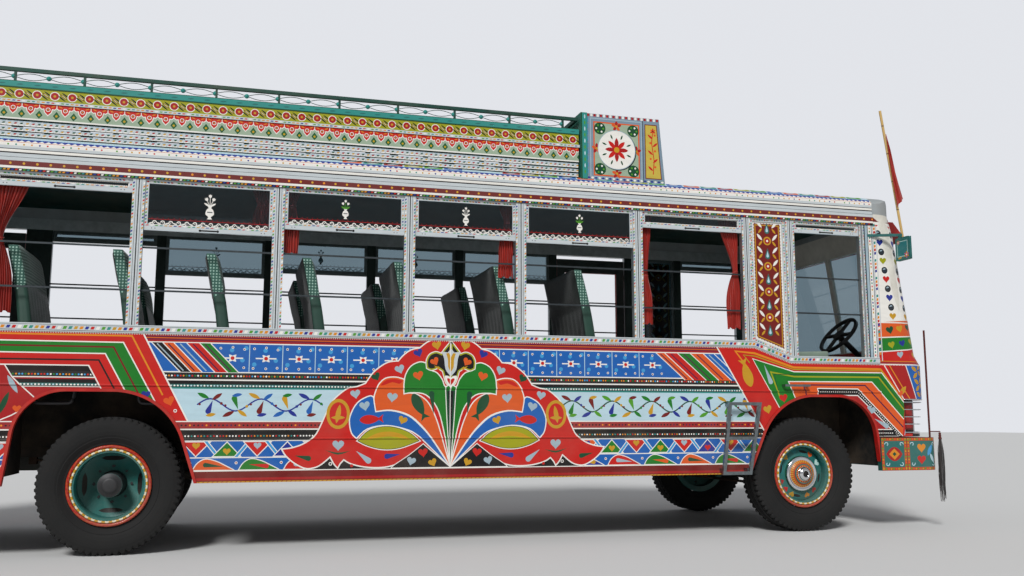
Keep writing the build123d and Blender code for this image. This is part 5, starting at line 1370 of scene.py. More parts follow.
upper = Canvas()
rail_strip(upper, 0, 60, "silver")
rail_strip(upper, 6, 10, "black")
rail_strip(upper, 48, 51, "slate")
chip_row(upper, rear_post_x + 4, front_post_x - 10, 18, 40, 38, 9, rail_base)
cant_bands(upper, rear_post_x, front_post_x)
upper.fill(rect(rear_post_x, 2934, front_post_x, 2937), "slate")
chip_row(upper, rear_post_x + 2, front_post_x - 8, 2834, 2846, 27, 5)
post_regions, pane_regions, sash_regions = {}, {}, {}
for number, (centre, width, foot) in enumerate(posts):
    post_art(upper, centre - width / 2, centre + width / 2, foot)
    post_regions["post_%d" % number] = [rect(centre - width / 2, foot, centre + width / 2, window_head)]
for number, (rear, front, bottom) in enumerate(bays):
    sash_art(upper, rear, front, bottom)
    pane = rect(rear + stile, bottom + bottom_rail, front - stile, window_head - stile)
    sash_regions["sash_%d" % number] = [rect(rear, bottom, front, window_head), pane]
quarter = [(x, waist_at(x)) for x in (slope_start_x, slope_end_x)]
quarter += [(x, window_head) for x in (slope_end_x, slope_start_x)]
quarter_pane = grown(quarter, -stile)
upper.fill(quarter, "silver")
for a, b in around(grown(quarter, -14)):
    upper.row(a, b, 26, paired_chips, lambda x, z: rect(x - 6, z - 6, x + 6, z + 6))
sash_regions["quarter"] = [quarter, quarter_pane]
doorway_cuts = [
    rect(rear - 1, 1500, front + 1, door_high + door_gap + 1) for name, rear, front, post in doorways
]
rail_loop = [(x, rail_base(x)) for x in (rear_post_x, slope_start_x, slope_end_x, front_post_x)]
rail_loop += [
    (x, rail_base(x) + rail_height) for x in (front_post_x, slope_end_x, slope_start_x, rear_post_x)
]
cant_loop = rect(rear_post_x, window_head, front_post_x, roof_spring)
trim = Mosaic(upper, {
    "rail": [rail_loop],
    "rail_left": [rail_loop] + doorway_cuts,
    "cant": [cant_loop],
    **post_regions,
    **sash_regions,
})
right_posts = list(post_regions)
left_posts = [name for name in right_posts if name not in ("post_2", "post_8")]
left_sashes = [name for name in sash_regions if name not in ("sash_1", "sash_7")]
both_sides(trim, "rail_trim", ("rail", "cant"), raised(rail_proud), ("rail_left", "cant"))
both_sides(trim, "post_trim", right_posts, raised(0), left_posts)
both_sides(trim, "sash_trim", list(sash_regions), raised(-12), left_sashes)

wide = Canvas()
for *_, front, post in doorways:
    post_art(wide, front, post, 1700)
wide_posts = Mosaic(
    wide, {name: [rect(front, 1701, post, window_head - 1)] for name, rear, front, post in doorways},
)
wide_posts.piece(
    "wide_post_trim", ("door_front", "door_rear"), side_place(1, 1.2, False), "coach_body", True,
)

panes = Canvas()
for number, (rear, front, bottom) in enumerate(bays):
    pane_art(panes, number, rear, front, bottom)
    pane_regions["pane_%d" % number] = [rect(
        rear + stile, bottom + bottom_rail, front - stile, window_head - stile,
    )]
quarter_art(panes, slope_start_x + stile, slope_end_x - stile)
pane_regions["quarter"] = [quarter_pane]
glass_art = Mosaic(panes, pane_regions)
left_panes = [name for name in pane_regions if name not in ("pane_1", "pane_7")]
both_sides(glass_art, "glass_decals", list(pane_regions), raised(-22, 1.0), left_panes)


# Doors above the sill

for name, rear, front in [doorway[:3] for doorway in doorways]:
    low, high = rear + door_gap + 1, front - door_gap - 1
    canvas = Canvas()
    canvas.fill(rect(low, sill_height, high, door_high), "crimson")
    canvas.edged(rect(low + 14, sill_height - 40, high - 14, door_high - 14), "teal", "white", 7)
    canvas.edged(rect(low + 76, sill_height - 80, high - 76, 2656), "silver", "white", 6)
    for x in (low + 45, high - 45):
        for k, z in enumerate(range(1700, 2740, 96)):
            canvas.fill(heart(x, z, 46), ["gold", "orange", "grey", "red"][k % 4])
            canvas.fill(leaf(x, z + 46, 52, 18, 90), "lime")
    for k, (x, z) in enumerate(along((low + 110, 2718), (high - 110, 2718), 92)):
        canvas.fill(heart(x, z, 52), ["gold", "grey", "orange"][k % 3])
        canvas.fill(leaf(x + 46, z, 50, 16, 20), "lime")
    window = rect(rear + 98, 1640, front - 98, 2640)
    frame_art = Mosaic(canvas, {"top": [rect(low, sill_height + 1, high, door_high - 1), window]})
    frame_art.piece(name + "_frame_art", ("top",), side_place(1), name, True)


# Roof sides and the rack's boards

cove_centre = (1048.4, 2907.2)
cove_radius = 220
eave_height = 3045
cove_start = math.atan2(eave_height - cove_centre[1], body_half_width - cove_centre[0])
rack_rear_x = -4800
rack_front_x = 1620
rack_half_width = 1130
courses = [
    (3122, 3152, 0), (3164, 3192, 0), (3204, 3242, 0), (3254, 3385, 4), (3385, 3410, 12), (3410, 3500, 4),
    (3500, 3556, 8),
]


def roof_place(side, lift=1.5):
    """Above the eave the canvas follows the cove."""
    def place(u, z):
        if z <= eave_height:
            return (u, side * (body_half_width + lift), z)
        angle = cove_start + (z - eave_height) / cove_radius
        reach = cove_radius + lift
        return (
            u, side * (cove_centre[0] + reach * math.cos(angle)),
            cove_centre[1] + reach * math.sin(angle),
        )
    return place


eaves = Canvas()
eaves.bands(rear_post_x, front_post_x, [
    (2940, 2966, "silver"), (2966, 2976, "black"), (2976, 2996, "white"), (2996, 3002, "slate"),
    (3002, 3024, "silver"), (3024, 3045, "white"), (3045, 3090, "white"), (3090, 3200, "pale"),
    (3080, 3100, "navy"), (3051, 3057, "rust"),
])
for x in spaced(rear_post_x, front_post_x, 46):
    eaves.fill([(x - 22, 3082), (x + 22, 3082), (x, 3060)], "navy")
    eaves.fill([(x + 9, 3086), (x + 37, 3086), (x + 23, 3098)], "sky")
eaves.row((rear_post_x, 3034), (front_post_x, 3034), 54, mixed_chips, lambda x, z: ellipse(x, z, 7, 7, 8))
patches = ["lime", "blue", "orange", "sea", "crimson", "olive"]
for i, x in enumerate(spaced(rear_post_x + 60, front_post_x - 60, 172)):
    if x > 900 or -400 < x < 520:
        eaves.fill([
            (x - 86, 3106), (x + 70, 3106), (x + 86, 3190), (x - 70, 3190),
        ], patches[i % len(patches)])
        eaves.fill(leaf(x, 3148, 110, 34, 12), "white" if i % 2 else "pale")
eaves_loop = rect(rear_post_x + 1, roof_spring + 0.5, front_post_x - 1, 3196)
roof_art = Mosaic(eaves, {"side": [eaves_loop]}, guides_z=[3045] + list(range(3060, 3196, 22)))
both_sides(roof_art, "roof_art", ("side",), roof_place)


def board_art(c, x0, x1):
    """The painted boards and slats of the luggage rack."""
    for low, high, _ in courses[:3]:
        middle = (low + high) / 2
        c.fill(rect(x0, low, x1, high), "silver")
        for i, x in enumerate(spaced(x0, x1, 41)):
            # The white ovals along each slat's low edge and the grey ovals along its high edge are
            # painted highlight and painted shade of its flutes.
            c.fill(ellipse(x, low + 2, 17, 10, 10), "white")
            c.fill(ellipse(x, high - 2, 17, 8, 10), "grey")
            c.fill([
                (x - 13, middle - 6), (x + 5, middle - 6), (x + 13, middle + 6), (x - 5, middle + 6),
            ], ["gold", "crimson", "forest"][i % 3])
    low, high = courses[3][:2]
    c.fill(rect(x0, low, x1, high), "sage")
    c.fill(rect(x0, low, x1, low + 12), "white")
    for x in spaced(x0, x1, 122):
        drape = [
            (x - 61, high + 4), (x - 61, high - 26), (x - 44, high - 40), (x - 30, high - 36),
            (x - 24, high - 62), (x, high - 88), (x + 24, high - 62), (x + 30, high - 36),
            (x + 44, high - 40), (x + 61, high - 26), (x + 61, high + 4),
        ]
        c.edged(drape, "red", "white", 6)
        c.dot(x, high - 40, 17, "white", 16)
        c.dot(x, high - 40, 12, "crimson", 14)
        c.dot(x, high - 40, 5, "gold", 8)
        for lean in (-1, 1):
            c.fill(leaf(x + lean * 34, high - 14, 34, 9, lean * 24), "amber")
        c.fill([(x + 61, low + 14), (x + 86, low + 44), (x + 61, low + 80), (x + 36, low + 44)], "forest")
        c.fill([(x + 61, low + 26), (x + 76, low + 44), (x + 61, low + 66), (x + 46, low + 44)], "green")
        c.dot(x + 61, low + 44, 9, "gold", 12)
    low, high = courses[4][:2]
    c.fill(rect(x0, low, x1, high), "silver")
    chip_row(c, x0, x1, low + 8, high - 8, 34, 4)
    low, high = courses[5][:2]
    middle = (low + high) / 2
    c.fill(rect(x0, low, x1, high), "olive")
    for x in spaced(x0, x1, 124):
        c.dot(x, middle, 35, "white", 20)
        c.dot(x, middle, 29, "crimson", 20)
        c.dot(x, middle, 10, "gold", 12)
        for k, colour in enumerate(("black", "maroon", "black")):
            c.fill(leaf(x + 50 + 13 * k, middle - 14 + 13 * k, 72, 12, 143), colour)
        c.fill(leaf(x + 63, middle, 44, 5, 143), "cream")
    low, high = courses[6][:2]
    middle = (low + high) / 2
    c.fill(rect(x0, low, x1, high), "sea")
    c.fill(rect(x0, low, x1, low + 9), "forest")
    c.fill(rect(x0, high - 5, x1, high), "forest")
    c.row((x0, low), (x1, low), 124, ["teal"], lambda x, z: leaf(x, middle, 54, 11, 4))


boards = Canvas()
board_art(boards, rack_rear_x - 12, rack_front_x + 12)
seam = 0.3
tail_width = 2 * rack_half_width
board_regions = {}
for i, (low, high, proud) in enumerate(courses):
    board_regions["course_%d" % i] = [rect(
        rack_rear_x - proud, low + seam, rack_front_x + proud, high - seam,
    )]
for i, (low, high, proud) in enumerate(courses):
    tail_end = rack_rear_x + tail_width + 2 * proud
    board_regions["tail_%d" % i] = [rect(rack_rear_x, low + seam, tail_end, high - seam)]
board_mosaic = Mosaic(boards, board_regions)


def proud_at(z):
    """How far a course of boards stands out at a height."""
    return next((proud for low, high, proud in courses if low <= z <= high), 0)


def course_place(side, lift=1.2):
    return lambda u, z: (u, side * (rack_half_width + proud_at(z) + lift), z)


def tail_place(u, z):
    return (rack_rear_x - proud_at(z) - 1.2, rack_half_width + proud_at(z) - (u - rack_rear_x), z)


both_sides(board_mosaic, "board_art", ["course_%d" % i for i in range(len(courses))], course_place)
board_mosaic.piece(
    "board_art_rear", ["tail_%d" % i for i in range(len(courses))], tail_place, "coach_body",
)


# Crown box over the cab

crown_foot_x = 2450
crown_top_x = 2400
crown_low = 3090
crown_top = 3710
crown_half_width = 1140


def crown_front(z):
    return crown_foot_x + (crown_top_x - crown_foot_x) * (z - crown_low) / (crown_top - crown_low)


def flower(c, x, z, radius, petals, colours, centre="gold"):
    for i in range(petals):
        angle = 360 / petals * i + 90
        turn = math.radians(angle)
        px, pz = x + radius * 0.55 * math.cos(turn), z + radius * 0.55 * math.sin(turn)
        c.fill(leaf(px, pz, radius * 0.95, radius * 1.9 / petals * 1.5, angle), colours[i % len(colours)])
    c.dot(x, z, radius * 0.24, centre, 14)


def medallion(c, x, z, half, radius, ground="sage"):
    """A square floral panel with a plain round plate and a small rosette on it."""
    c.fill(rect(x - half, z - half * 1.12, x + half, z + half * 1.12), "orange")
    c.fill(rect(x - half + 12, z - half * 1.12 + 12, x + half - 12, z + half * 1.12 - 12), ground)
    for sx in (-1, 1):
        for sz in (-1, 1):
            cx, cz = x + sx * half * 0.72, z + sz * half * 0.84
            c.dot(cx, cz, half * 0.25, "forest", 16)
            for k in range(6):
                c.dot(
                    cx + half * 0.15 * math.cos(k * 1.05), cz + half * 0.15 * math.sin(k * 1.05),
                    half * 0.042, "white" if k % 2 else "lime", 8,
                )
    for angle in range(0, 360, 90):
        px = x + math.cos(math.radians(angle)) * half * 0.86
        pz = z + math.sin(math.radians(angle)) * half * 0.98
        flower(c, px, pz, half * 0.22, 5, ["crimson", "orange"])
    # The black disc a little below and to one side of the plate is a painted shadow of the plate.
    c.dot(x + 6, z - 6, radius + 8, "black", 40)
    c.dot(x, z, radius + 6, "grey", 40)
    c.dot(x, z, radius, "white", 40)
    flower(c, x, z, radius * 0.62, 8, ["crimson", "red"])
    for k in range(8):
        angle = math.radians(22.5 + 45 * k)
        c.fill(leaf(
            x + radius * 0.72 * math.cos(angle), z + radius * 0.72 * math.sin(angle), radius * 0.28,
            radius * 0.09, math.degrees(angle),
        ), "forest")


def stem_panel(c, loop, x, z0, z1):
    c.edged(loop, "mustard", "maroon", 8)
    c.stroke([
        (x, z0 + 40), (x + 12, (z0 * 2 + z1) / 3), (x - 10, (z0 + z1 * 2) / 3), (x + 4, z1 - 46),
    ], 8, "red")
    for i, z in enumerate(range(int(z0) + 80, int(z1) - 60, 74)):
        lean = 1 if i % 2 else -1
        c.fill(leaf(x + lean * 24, z + 14, 62, 20, 90 - lean * 50), "red")
        c.dot(x - lean * 22, z + 30, 11, "orange", 10)
    flower(c, x + 4, z1 - 58, 30, 6, ["red", "orange"], "maroon")


crown = Canvas()
crown.fill(rect(1600, 3000, 2500, 3800), "steel")
crown.row((1710, 3150), (1710, 3680), 60, ["sky"], lambda x, z: rect(x - 3, z - 20, x + 3, z + 20))
crown.stroke([(1735, 3132), (2225, 3132), (2225, 3668), (1735, 3668), (1735, 3132)], 9, "grey")
medallion(crown, 1984, 3392, 222, 176)
crown.stroke([(2240, 3110), (2240, 3700)], 6, "slate")
stem_panel(crown, [
    (2262, 3150), (crown_front(3150) - 30, 3150), (crown_front(3650) - 30, 3650), (2262, 3650),
], 2335, 3150, 3650)
crown.row(
    (1700, 3694), (2398, 3694), 30, ["crimson", "white"], lambda x, z: rect(x - 11, 3684, x + 11, 3708),
)
crown.row((1700, 3124), (2440, 3124), 33, ["navy", "white"], lambda x, z: ellipse(x, 3122, 13, 9, 10))
crown_loop = [(1701, 3108), (crown_front(3108) - 1, 3108), (crown_front(3709) - 1, 3709), (1701, 3709)]
crown_side = Mosaic(crown, {"side": [crown_loop]})
post_canvas = Canvas()
post_canvas.fill(rect(1600, 3000, 1701, 3800), "sea")
# The darker green strip along the post's rear edge is painted shade.
post_canvas.fill(rect(1600, 3000, 1652, 3800), "forest")
post_canvas.row((1676, 3140), (1676, 3700), 58, ["lime", "pale"], lambda x, z: leaf(x, z, 42, 13, 90))
crown_post = Mosaic(post_canvas, {"post": [rect(1641, 3108, 1699, 3709)]})
for side_sign, word in ((-1, "right"), (1, "left")):
    crown_side.piece(
        "crown_art_" + word, "side", lambda u, z, s=side_sign: (u, s * (crown_half_width + 1.5), z),
        "coach_body", side_sign > 0,
    )
    crown_post.piece(
        "crown_post_" + word, "post", lambda u, z, s=side_sign: (u, s * (crown_half_width + 16.5), z),
        "coach_body", side_sign > 0,
    )

brow = Canvas()
brow.fill(rect(-1200, 3000, 1200, 3800), "steel")
brow.row(
    (-1130, 3694), (1130, 3694), 30, ["crimson", "white"], lambda y, z: rect(y - 11, 3684, y + 11, 3708),
)
for i, y in enumerate((-920, -460, 0, 460, 920)):
    if i % 2:
        stem_panel(brow, rect(y - 62, 3300, y + 62, 3650), y, 3290, 3650)
    else:
        medallion(brow, y, 3470, 150 if y else 160, 112)
brow.row((-1120, 3262), (1120, 3262), 62, mixed_chips, lambda y, z: heart(y, z, 40))
roof_line = [(y, 3126 + 108 * (1 - (y / 1080) ** 2)) for y in range(1080, -1081, -120)]
brow_loop = [(-1139, 3108), (-1139, 3709), (1139, 3709), (1139, 3108)] + roof_line
Mosaic(brow, {"front": [brow_loop]}).piece(
    "crown_art_front", "front", lambda y, z: (crown_front(z) + 1.5, y, z), "coach_body", False,
)


# Front of the cab, its crest and the lamp niches

niche_low, niche_high = 866, 1180
front = Canvas()
front.bands(-1200, 1200, [
    (500, 3000, "red"), (835, 1180, "black"), (1182, 1194, "white"), (1194, 1300, "blue"),
    (1300, 1312, "white"), (1312, 1420, "crimson"), (1420, 1432, "white"), (1432, 1500, "green"),
    (1500, 1510, "white"), (1512, 1536, "dots_maroon"), (1536, 1542, "amber"), (1610, 1700, "green"),
])
for y in spaced(-960, 960, 118):
    front.fill(leaf(y - 22, 1247, 76, 30, 45), "gold")
    front.fill(leaf(y + 22, 1247, 76, 30, 135), "gold")
front.row(
    (-960, 1366), (960, 1366), 112, ["grey", "gold", "orange", "olive"], lambda y, z: heart(y, z, 70),
)
for i, y in enumerate(spaced(-960, 960, 128)):
    front.fill(heart(y, 1578, 56), ["grey", "gold"][i % 2])
    front.fill(drop(y + 62, 1578, 60, 22, 90 if i % 2 else 270), "orange")
for sign in (-1, 1):
    front.edged(rect(sign * 540 - 66, 856, sign * 540 + 66, 1170), "crimson", "white", 7)
    for k in range(3):
        front.fill(heart(sign * 540, 916 + 96 * k, 74), ["gold", "grey", "orange"][k])
front.fill(rect(-430, 846, 430, 928), "crimson")
front.row((-430, 886), (430, 886), 96, ["gold", "grey", "lime"], lambda y, z: heart(y, z, 54))
front.stroke([(-445, 845), (-445, 1415), (445, 1415), (445, 845)], 10, "silver")
front.stroke([(-970, 1182), (970, 1182)], 9, "white")
front.bands(-1200, 1200, [
    (2700, 2838, "white"), (2838, 2866, "white"), (2866, 2910, "dots_cant"), (2910, 2945, "silver"),
])
face_half = body_half_width - corner_radius
grille_hole = rect(-430, 930, 430, 1400)
niche_holes = [
    rect(620, niche_low, face_half + 5, niche_high),
    rect(-face_half - 5, niche_low, -620, niche_high),
]
front_art = Mosaic(front, {
    "lower": [rect(-face_half, 842, face_half, 1692), grille_hole] + niche_holes,
    "upper": [rect(-face_half, 2708, face_half, 2938)],
}, guides_z=face_bends)
front_art.piece("front_art", ("lower", "upper"), end_place(True, 2.2), "coach_body")

crest = Canvas()
crest.fill(rect(-1100, 2700, 1100, 3000), "crimson")
crest.fill(rect(-1100, 2905, 1100, 2930), "white")
for i, y in enumerate(spaced(-1005, 1005, 124)):
    crest.edged(ellipse(y, 2836, 46, 52, 20), ["teal", "navy", "green"][i % 3], "white", 7)
    flower(crest, y, 2836, 32, 6, ["gold", "orange"], "white")
crest.row((-1005, 2766), (1005, 2766), 40, ["gold", "white"], lambda y, z: ellipse(y, 2768, 17, 14, 12))
crest_art = Mosaic(crest, {"face": [rect(-1009, 2757, 1009, 2924)]})
crest_place = lambda y, z: (4950 + (2925 - z) / 170 * 140 + 1.5, y, z + 1.2)
crest_art.piece("crest_art", "face", crest_place, "coach_body")


# Rear end

back = Canvas()
side_bands(back)
back.fill(rect(-1300, 1640, 1300, 2960), "red")
triangle_band(back, -1200, 1250)
drop_band(back, -1200, 1200)
back.fill(rect(-1300, 1357, 1300, 1572), "blue")
for y in spaced(-1080, 1080, 190):
    flower(back, y, 1464, 62, 8, ["white", "pale"], "red")
    ring(back, y + 95, 1500, 12, "white", "maroon")
    ring(back, y + 95, 1424, 12, "white", "maroon")
vine(back, -1080, 1080, 1106, 220, ["navy", "green", "maroon", "gold", "lime"])
for sign in (-1, 1):
    y = sign * 480
    back.edged(rect(y - 488, 1690, y + 488, 2630), "green", "white", 10)
    back.edged(rect(y - 450, 1728, y + 450, 2592), "orange", "white", 8)
    back.row((y - 440, 1666), (y + 440, 1666), 110, ["gold"], lambda x, z: heart(x, 1664, 42))
for z in range(1740, 2600, 104):
    for y, colour in ((-1030, "gold"), (1030, "gold")):
        back.fill(heart(y, z, 66), colour if z % 208 else "grey")
        back.fill(leaf(y, z + 54, 50, 18, 90), "lime")
for i, y in enumerate(spaced(-1080, 1080, 216)):
    back.edged(ellipse(y, 2728, 70, 66, 24), ["teal", "navy", "crimson"][i % 3], "white", 8)
    flower(back, y, 2728, 50, 8, ["gold", "orange"], "white")
    back.fill(leaf(y + 108, 2728, 96, 30, 90), "lime")
cant_bands(back, -1300, 1300, "dots_rear")
chip_row(back, -1080, 1080, 2834, 2846, 27, 5)
rear_window = rect(60, 1760, 900, 2560)
rear_holes = [[(-y, z) for y, z in rear_window], rear_window]
rear_half = body_half_width - rear_radius
rear_loop = rect(-rear_half, skirt_bottom + 1, rear_half, roof_spring - 1)
rear_art = Mosaic(back, {"rear": [rear_loop] + rear_holes})
rear_art.piece("rear_art", "rear", end_place(False), "coach_body", True)
corner = Canvas()
corner.fill(rect(-5400, 1600, -4900, 3000), "red")
corner.fill(rect(-5400, 1640, -4900, 1700), "silver")
chip_row(corner, -5250, -4952, 1658, 1682, 38, 9)
for i, z in enumerate(range(1770, 2820, 104)):
    corner.fill(heart(-5040, z, 84), ["gold", "grey", "orange", "olive"][i % 4])
    corner.fill(leaf(-5040, z + 54, 62, 20, 90), "lime")
cant_bands(corner, -5400, -4900)
chip_row(corner, -5250, -4952, 2834, 2846, 27, 5)
corner_loop = rect(side_end_rear + 10, sill_height + 1, rear_post_x - 1, roof_spring - 1)
rear_corner = Mosaic(corner, {"corner": [corner_loop]}, guides_x=list(range(-5190, -4950, 22)))
both_sides(rear_corner, "rear_corner", "corner", raised(0, 1.6))


# Front bumper: the canvas runs along the side, round the corner and across to the middle

bumper_turn = 5020
bumper_radius = 150
bumper_half = 1240
bumper_low, bumper_high = 531, 829
bumper_face = bumper_turn + math.pi / 2 * bumper_radius


def bumper_place(side, lift=1.4):
    def place(u, z):
        if u <= bumper_turn:
            return (u, side * (bumper_half + lift), z)
        if u <= bumper_face:
            angle = (u - bumper_turn) / bumper_radius
            reach = bumper_radius + lift
            return (
                bumper_turn + reach * math.sin(angle),
                side * (bumper_half - bumper_radius + reach * math.cos(angle)), z,
            )
        return (
            bumper_turn + bumper_radius + lift, side * (bumper_half - bumper_radius - (u - bumper_face)),
            z,
        )
    return place


def curl(c, x, z, size, degrees, colour, flip=False):
    """A small open scroll."""
    line = []
    for i in range(15):
        t = i / 14
        angle = 4.6 * t
        r = size * (0.5 - 0.36 * t)
        line.append((r * math.cos(angle), r * math.sin(angle)))
    c.fill(turned(ribbon(line, size * 0.16), x, z, degrees, 1, flip), colour)


def bumper_panel(c, x0, x1, kind):
    c.fill(rect(x0, bumper_low, x1, bumper_high), "rust")
    for a, b in (
        ((x0, 545), (x1, 545)), ((x0, 815), (x1, 815)),
        ((x0 + 14, 540), (x0 + 14, 820)), ((x1 - 14, 540), (x1 - 14, 820)),
    ):
        c.row(a, b, 26, ["gold", "lime", "orange"], lambda x, z: ellipse(x, z, 9, 9, 8))
    c.fill(rect(x0 + 28, 560, x1 - 28, 800), "teal")
    x, z = (x0 + x1) / 2, 680
    if kind == 0:
        c.fill(leaf(x, z, 176, 130, 0), "crimson")
        c.fill([(x - 58, z), (x, z - 52), (x + 58, z), (x, z + 52)], "amber")
        c.fill([(x - 22, z), (x, z - 20), (x + 22, z), (x, z + 20)], "forest")
    else:
        c.fill(heart(x - 20, z + 52, 92), "amber")
        c.fill(heart(x - 24, z - 56, 92), "red")
        c.fill(leaf(x + 74, z + 34, 120, 44, 60), "sky")
        c.fill(leaf(x + 98, z - 40, 96, 36, 120), "pale")
    for sx in (-1, 1):
        for sz in (-1, 1):
            curl(c, x + sx * ((x1 - x0) / 2 - 58), z + sz * 88, 46, 0 if sz > 0 else 200, "pale", sx < 0)


bumper = Canvas()
stops = [4515, 4792, 5150, 5256, 5480, 5700, 5920, 6140, 6346]
for i, (x0, x1) in enumerate(zip(stops, stops[1:])):
    bumper_panel(bumper, x0 + 2, x1 - 2, i % 2)
bumper_loop = rect(4516, bumper_low, bumper_face + 1090, bumper_high)
bumper_art = Mosaic(bumper, {"half": [bumper_loop]}, guides_x=list(range(5020, 5260, 20)))
both_sides(bumper_art, "bumper_art", "half", bumper_place)


# Wheels

wheel_track = 1030
inner_track = 710
wheel_places = {
    "front_wheel_right": (front_axle_x, -wheel_track, -1),
    "front_wheel_left": (front_axle_x, wheel_track, 1),
    "rear_wheels_right": (rear_axle_x, -wheel_track, -1),
    "rear_wheels_left": (rear_axle_x, wheel_track, 1),
}


def shared(name, mesh, place, side, body):
    """An object at a wheel's middle that uses a mesh drawn with y outboard."""
    location = (place[0] * MM, place[1] * MM, axle_z * MM)
    return placed(name, mesh, location, (0, 0, math.pi if side < 0 else 0), body)


def lathe(name, profile, count, materials, pick=None, reach=None, soft=True):
    """A profile of (radius, y) turned about the axle; pick chooses the material of each patch."""
    points, faces, indices = [], [], []
    for i in range(count):
        angle = 2 * math.pi * i / count
        for j, (radius, y) in enumerate(profile):
            r = radius + (reach(i, j) if reach else 0)
            points.append((r * math.cos(angle), y, r * math.sin(angle)))
    rows = len(profile)
    for i in range(count):
        for j in range(rows - 1):
            a, b = i * rows + j, ((i + 1) % count) * rows + j
            faces.append((a, a + 1, b + 1, b))
            indices.append(pick(i, j) if pick else 0)
    return new_mesh(name, points, faces, materials, indices, soft)


def torus_profile(radius, y, tube, steps=10):
    return [(
        radius + tube * math.cos(2 * math.pi * k / steps), y + tube * math.sin(2 * math.pi * k / steps),
    ) for k in range(steps + 1)]


def disc_art(name, canvas, profile):
    """Art on a wheel's disc, as a mesh: profile gives y at a radius."""
    disc = [ellipse(0, 0, 243, 243, 48), ellipse(0, 0, 90, 90, 32)]
    made = Mosaic(canvas, {"disc": disc}, cell=60).piece(
        name + "_source", "disc", lambda u, v: (u, profile(math.hypot(u, v)), v), "coach_body",
    )
    mesh = made.data
    bpy.data.objects.remove(made)
    mesh.name = name
    return mesh


def front_disc(r):
    return 22 + 40 * (244 - min(max(r, 118), 244)) / 126 + 1.2


def rear_disc(r):
    return -83 - 65 * (244 - min(max(r, 118), 244)) / 126 + 1.2


def slot_loop(angle, radius, length, width):
    """A hand hole of a disc, long along the circle."""
    turn = math.radians(angle)
    outer = [
        (-length / 2, 0), (-length * 0.3, width * 0.42), (0, width / 2), (length * 0.3, width * 0.42),
    ]
    inner = [
        (length / 2, 0), (length * 0.3, -width * 0.42), (0, -width / 2), (-length * 0.3, -width * 0.42),
    ]
    loop = smooth(outer + inner, (0, 4), 3)
    return turned(loop, radius * math.cos(turn), radius * math.sin(turn), angle + 90)


front_face = Canvas()
front_face.dot(0, 0, 246, "deep", 48)
front_face.dot(0, 0, 238, "teal", 48)
front_face.dot(0, 0, 160, "forest", 40)
# The hand holes are not cut in this skin: the black inside each one is painted shade, and the lighter
# edge round it is paint.
for k in range(4):
    angle = 12 + 90 * k
    front_face.fill(slot_loop(angle, 200, 104, 40), "lake")
    front_face.fill(slot_loop(angle, 200, 92, 26), "black")
for angle, colour in (
    (46, "gold"), (76, "lake"), (124, "orange"), (152, "ice"), (226, "crimson"), (250, "amber"),
    (318, "red"), (340, "crimson"), (296, "gold"),
):
    x, z = 200 * math.cos(math.radians(angle)), 200 * math.sin(math.radians(angle))
    front_face.fill(heart(x, z, 54 if colour != "ice" else 62, angle - 90), colour)
front_disc_mesh = disc_art("front_disc_art", front_face, front_disc)
rear_face = Canvas()
rear_face.dot(0, 0, 246, "teal", 48)
# The hand holes are not cut in this skin: the black inside each one is painted shade.
for k in range(4):
    rear_face.fill(slot_loop(90 * k, 196, 176, 34), "black")
rear_disc_mesh = disc_art("rear_disc_art", rear_face, rear_disc)


def metal(name, colour, rough, metallic=1.0):
    g = Graph(name)
    dark = (colour[0] * 0.35, colour[1] * 0.33, colour[2] * 0.3, 1)
    g.set(Base_Color=g.mix(g.math("MULTIPLY", g.noise(40, 5, 0.6), 0.35), colour, dark))
    g.roughness(rough, 0.16, g.noise(40 / 3, 4))
    g.set(Metallic=metallic)
    g.relief(g.noise(80, 3), 0.1, 0.0015)
    return g.material


chrome = metal("chrome", (0.82, 0.84, 0.86, 1), 0.06)
black_iron = metal("black_iron", (0.05, 0.05, 0.052, 1), 0.45, 0.6)

tyre_rubber = Graph("tyre_rubber")
dusty = tyre_rubber.math("MULTIPLY", tyre_rubber.noise(6, 6, 0.62), 0.35)
rubber_tone = tyre_rubber.mix(dusty, (0.009, 0.0095, 0.01, 1), (0.035, 0.032, 0.028, 1))
tyre_rubber.set(Base_Color=rubber_tone, Roughness=0.82, Specular_IOR_Level=0.25)
tyre_rubber.relief(tyre_rubber.noise(70, 5), 0.25, 0.002)

tread_profile = [
    (302, 96), (318, 99), (340, 112), (352, 119), (356, 117), (372, 124), (398, 129), (430, 130),
    (452, 128), (466, 124),
    (480, 121), (507, 111), (507, 76), (494, 73), (494, 60), (507, 57), (507, 22), (495, 19), (495, 8),
    (507, 5),
]
tyre_line = tread_profile + [(r, -y) for r, y in tread_profile[::-1]]
lug_rows = {10: 0.2, 11: 1.0, 12: 0.8}
lug_rows.update({len(tyre_line) - 1 - k: v for k, v in list(lug_rows.items())})
groove_depth = 17


def groove(i, j):
    """How far the tread dips between its lugs."""
    return -groove_depth * lug_rows.get(j, 0) if i % 3 == 0 else 0


def rope(i, j):
    return (i + 2 * j) // 3 % 2


def cap_colour(i, j):
    """Chrome, rust, gold, crimson or black, by the patch's place on the cap."""
    if j < 6 or 13 <= j <= 18:
        return 0
    if j < 8 and i % 2:
        return 2
    if j < 10:
        return 1
    if j < 13:
        return 3 if i % 3 else 2
    return 4


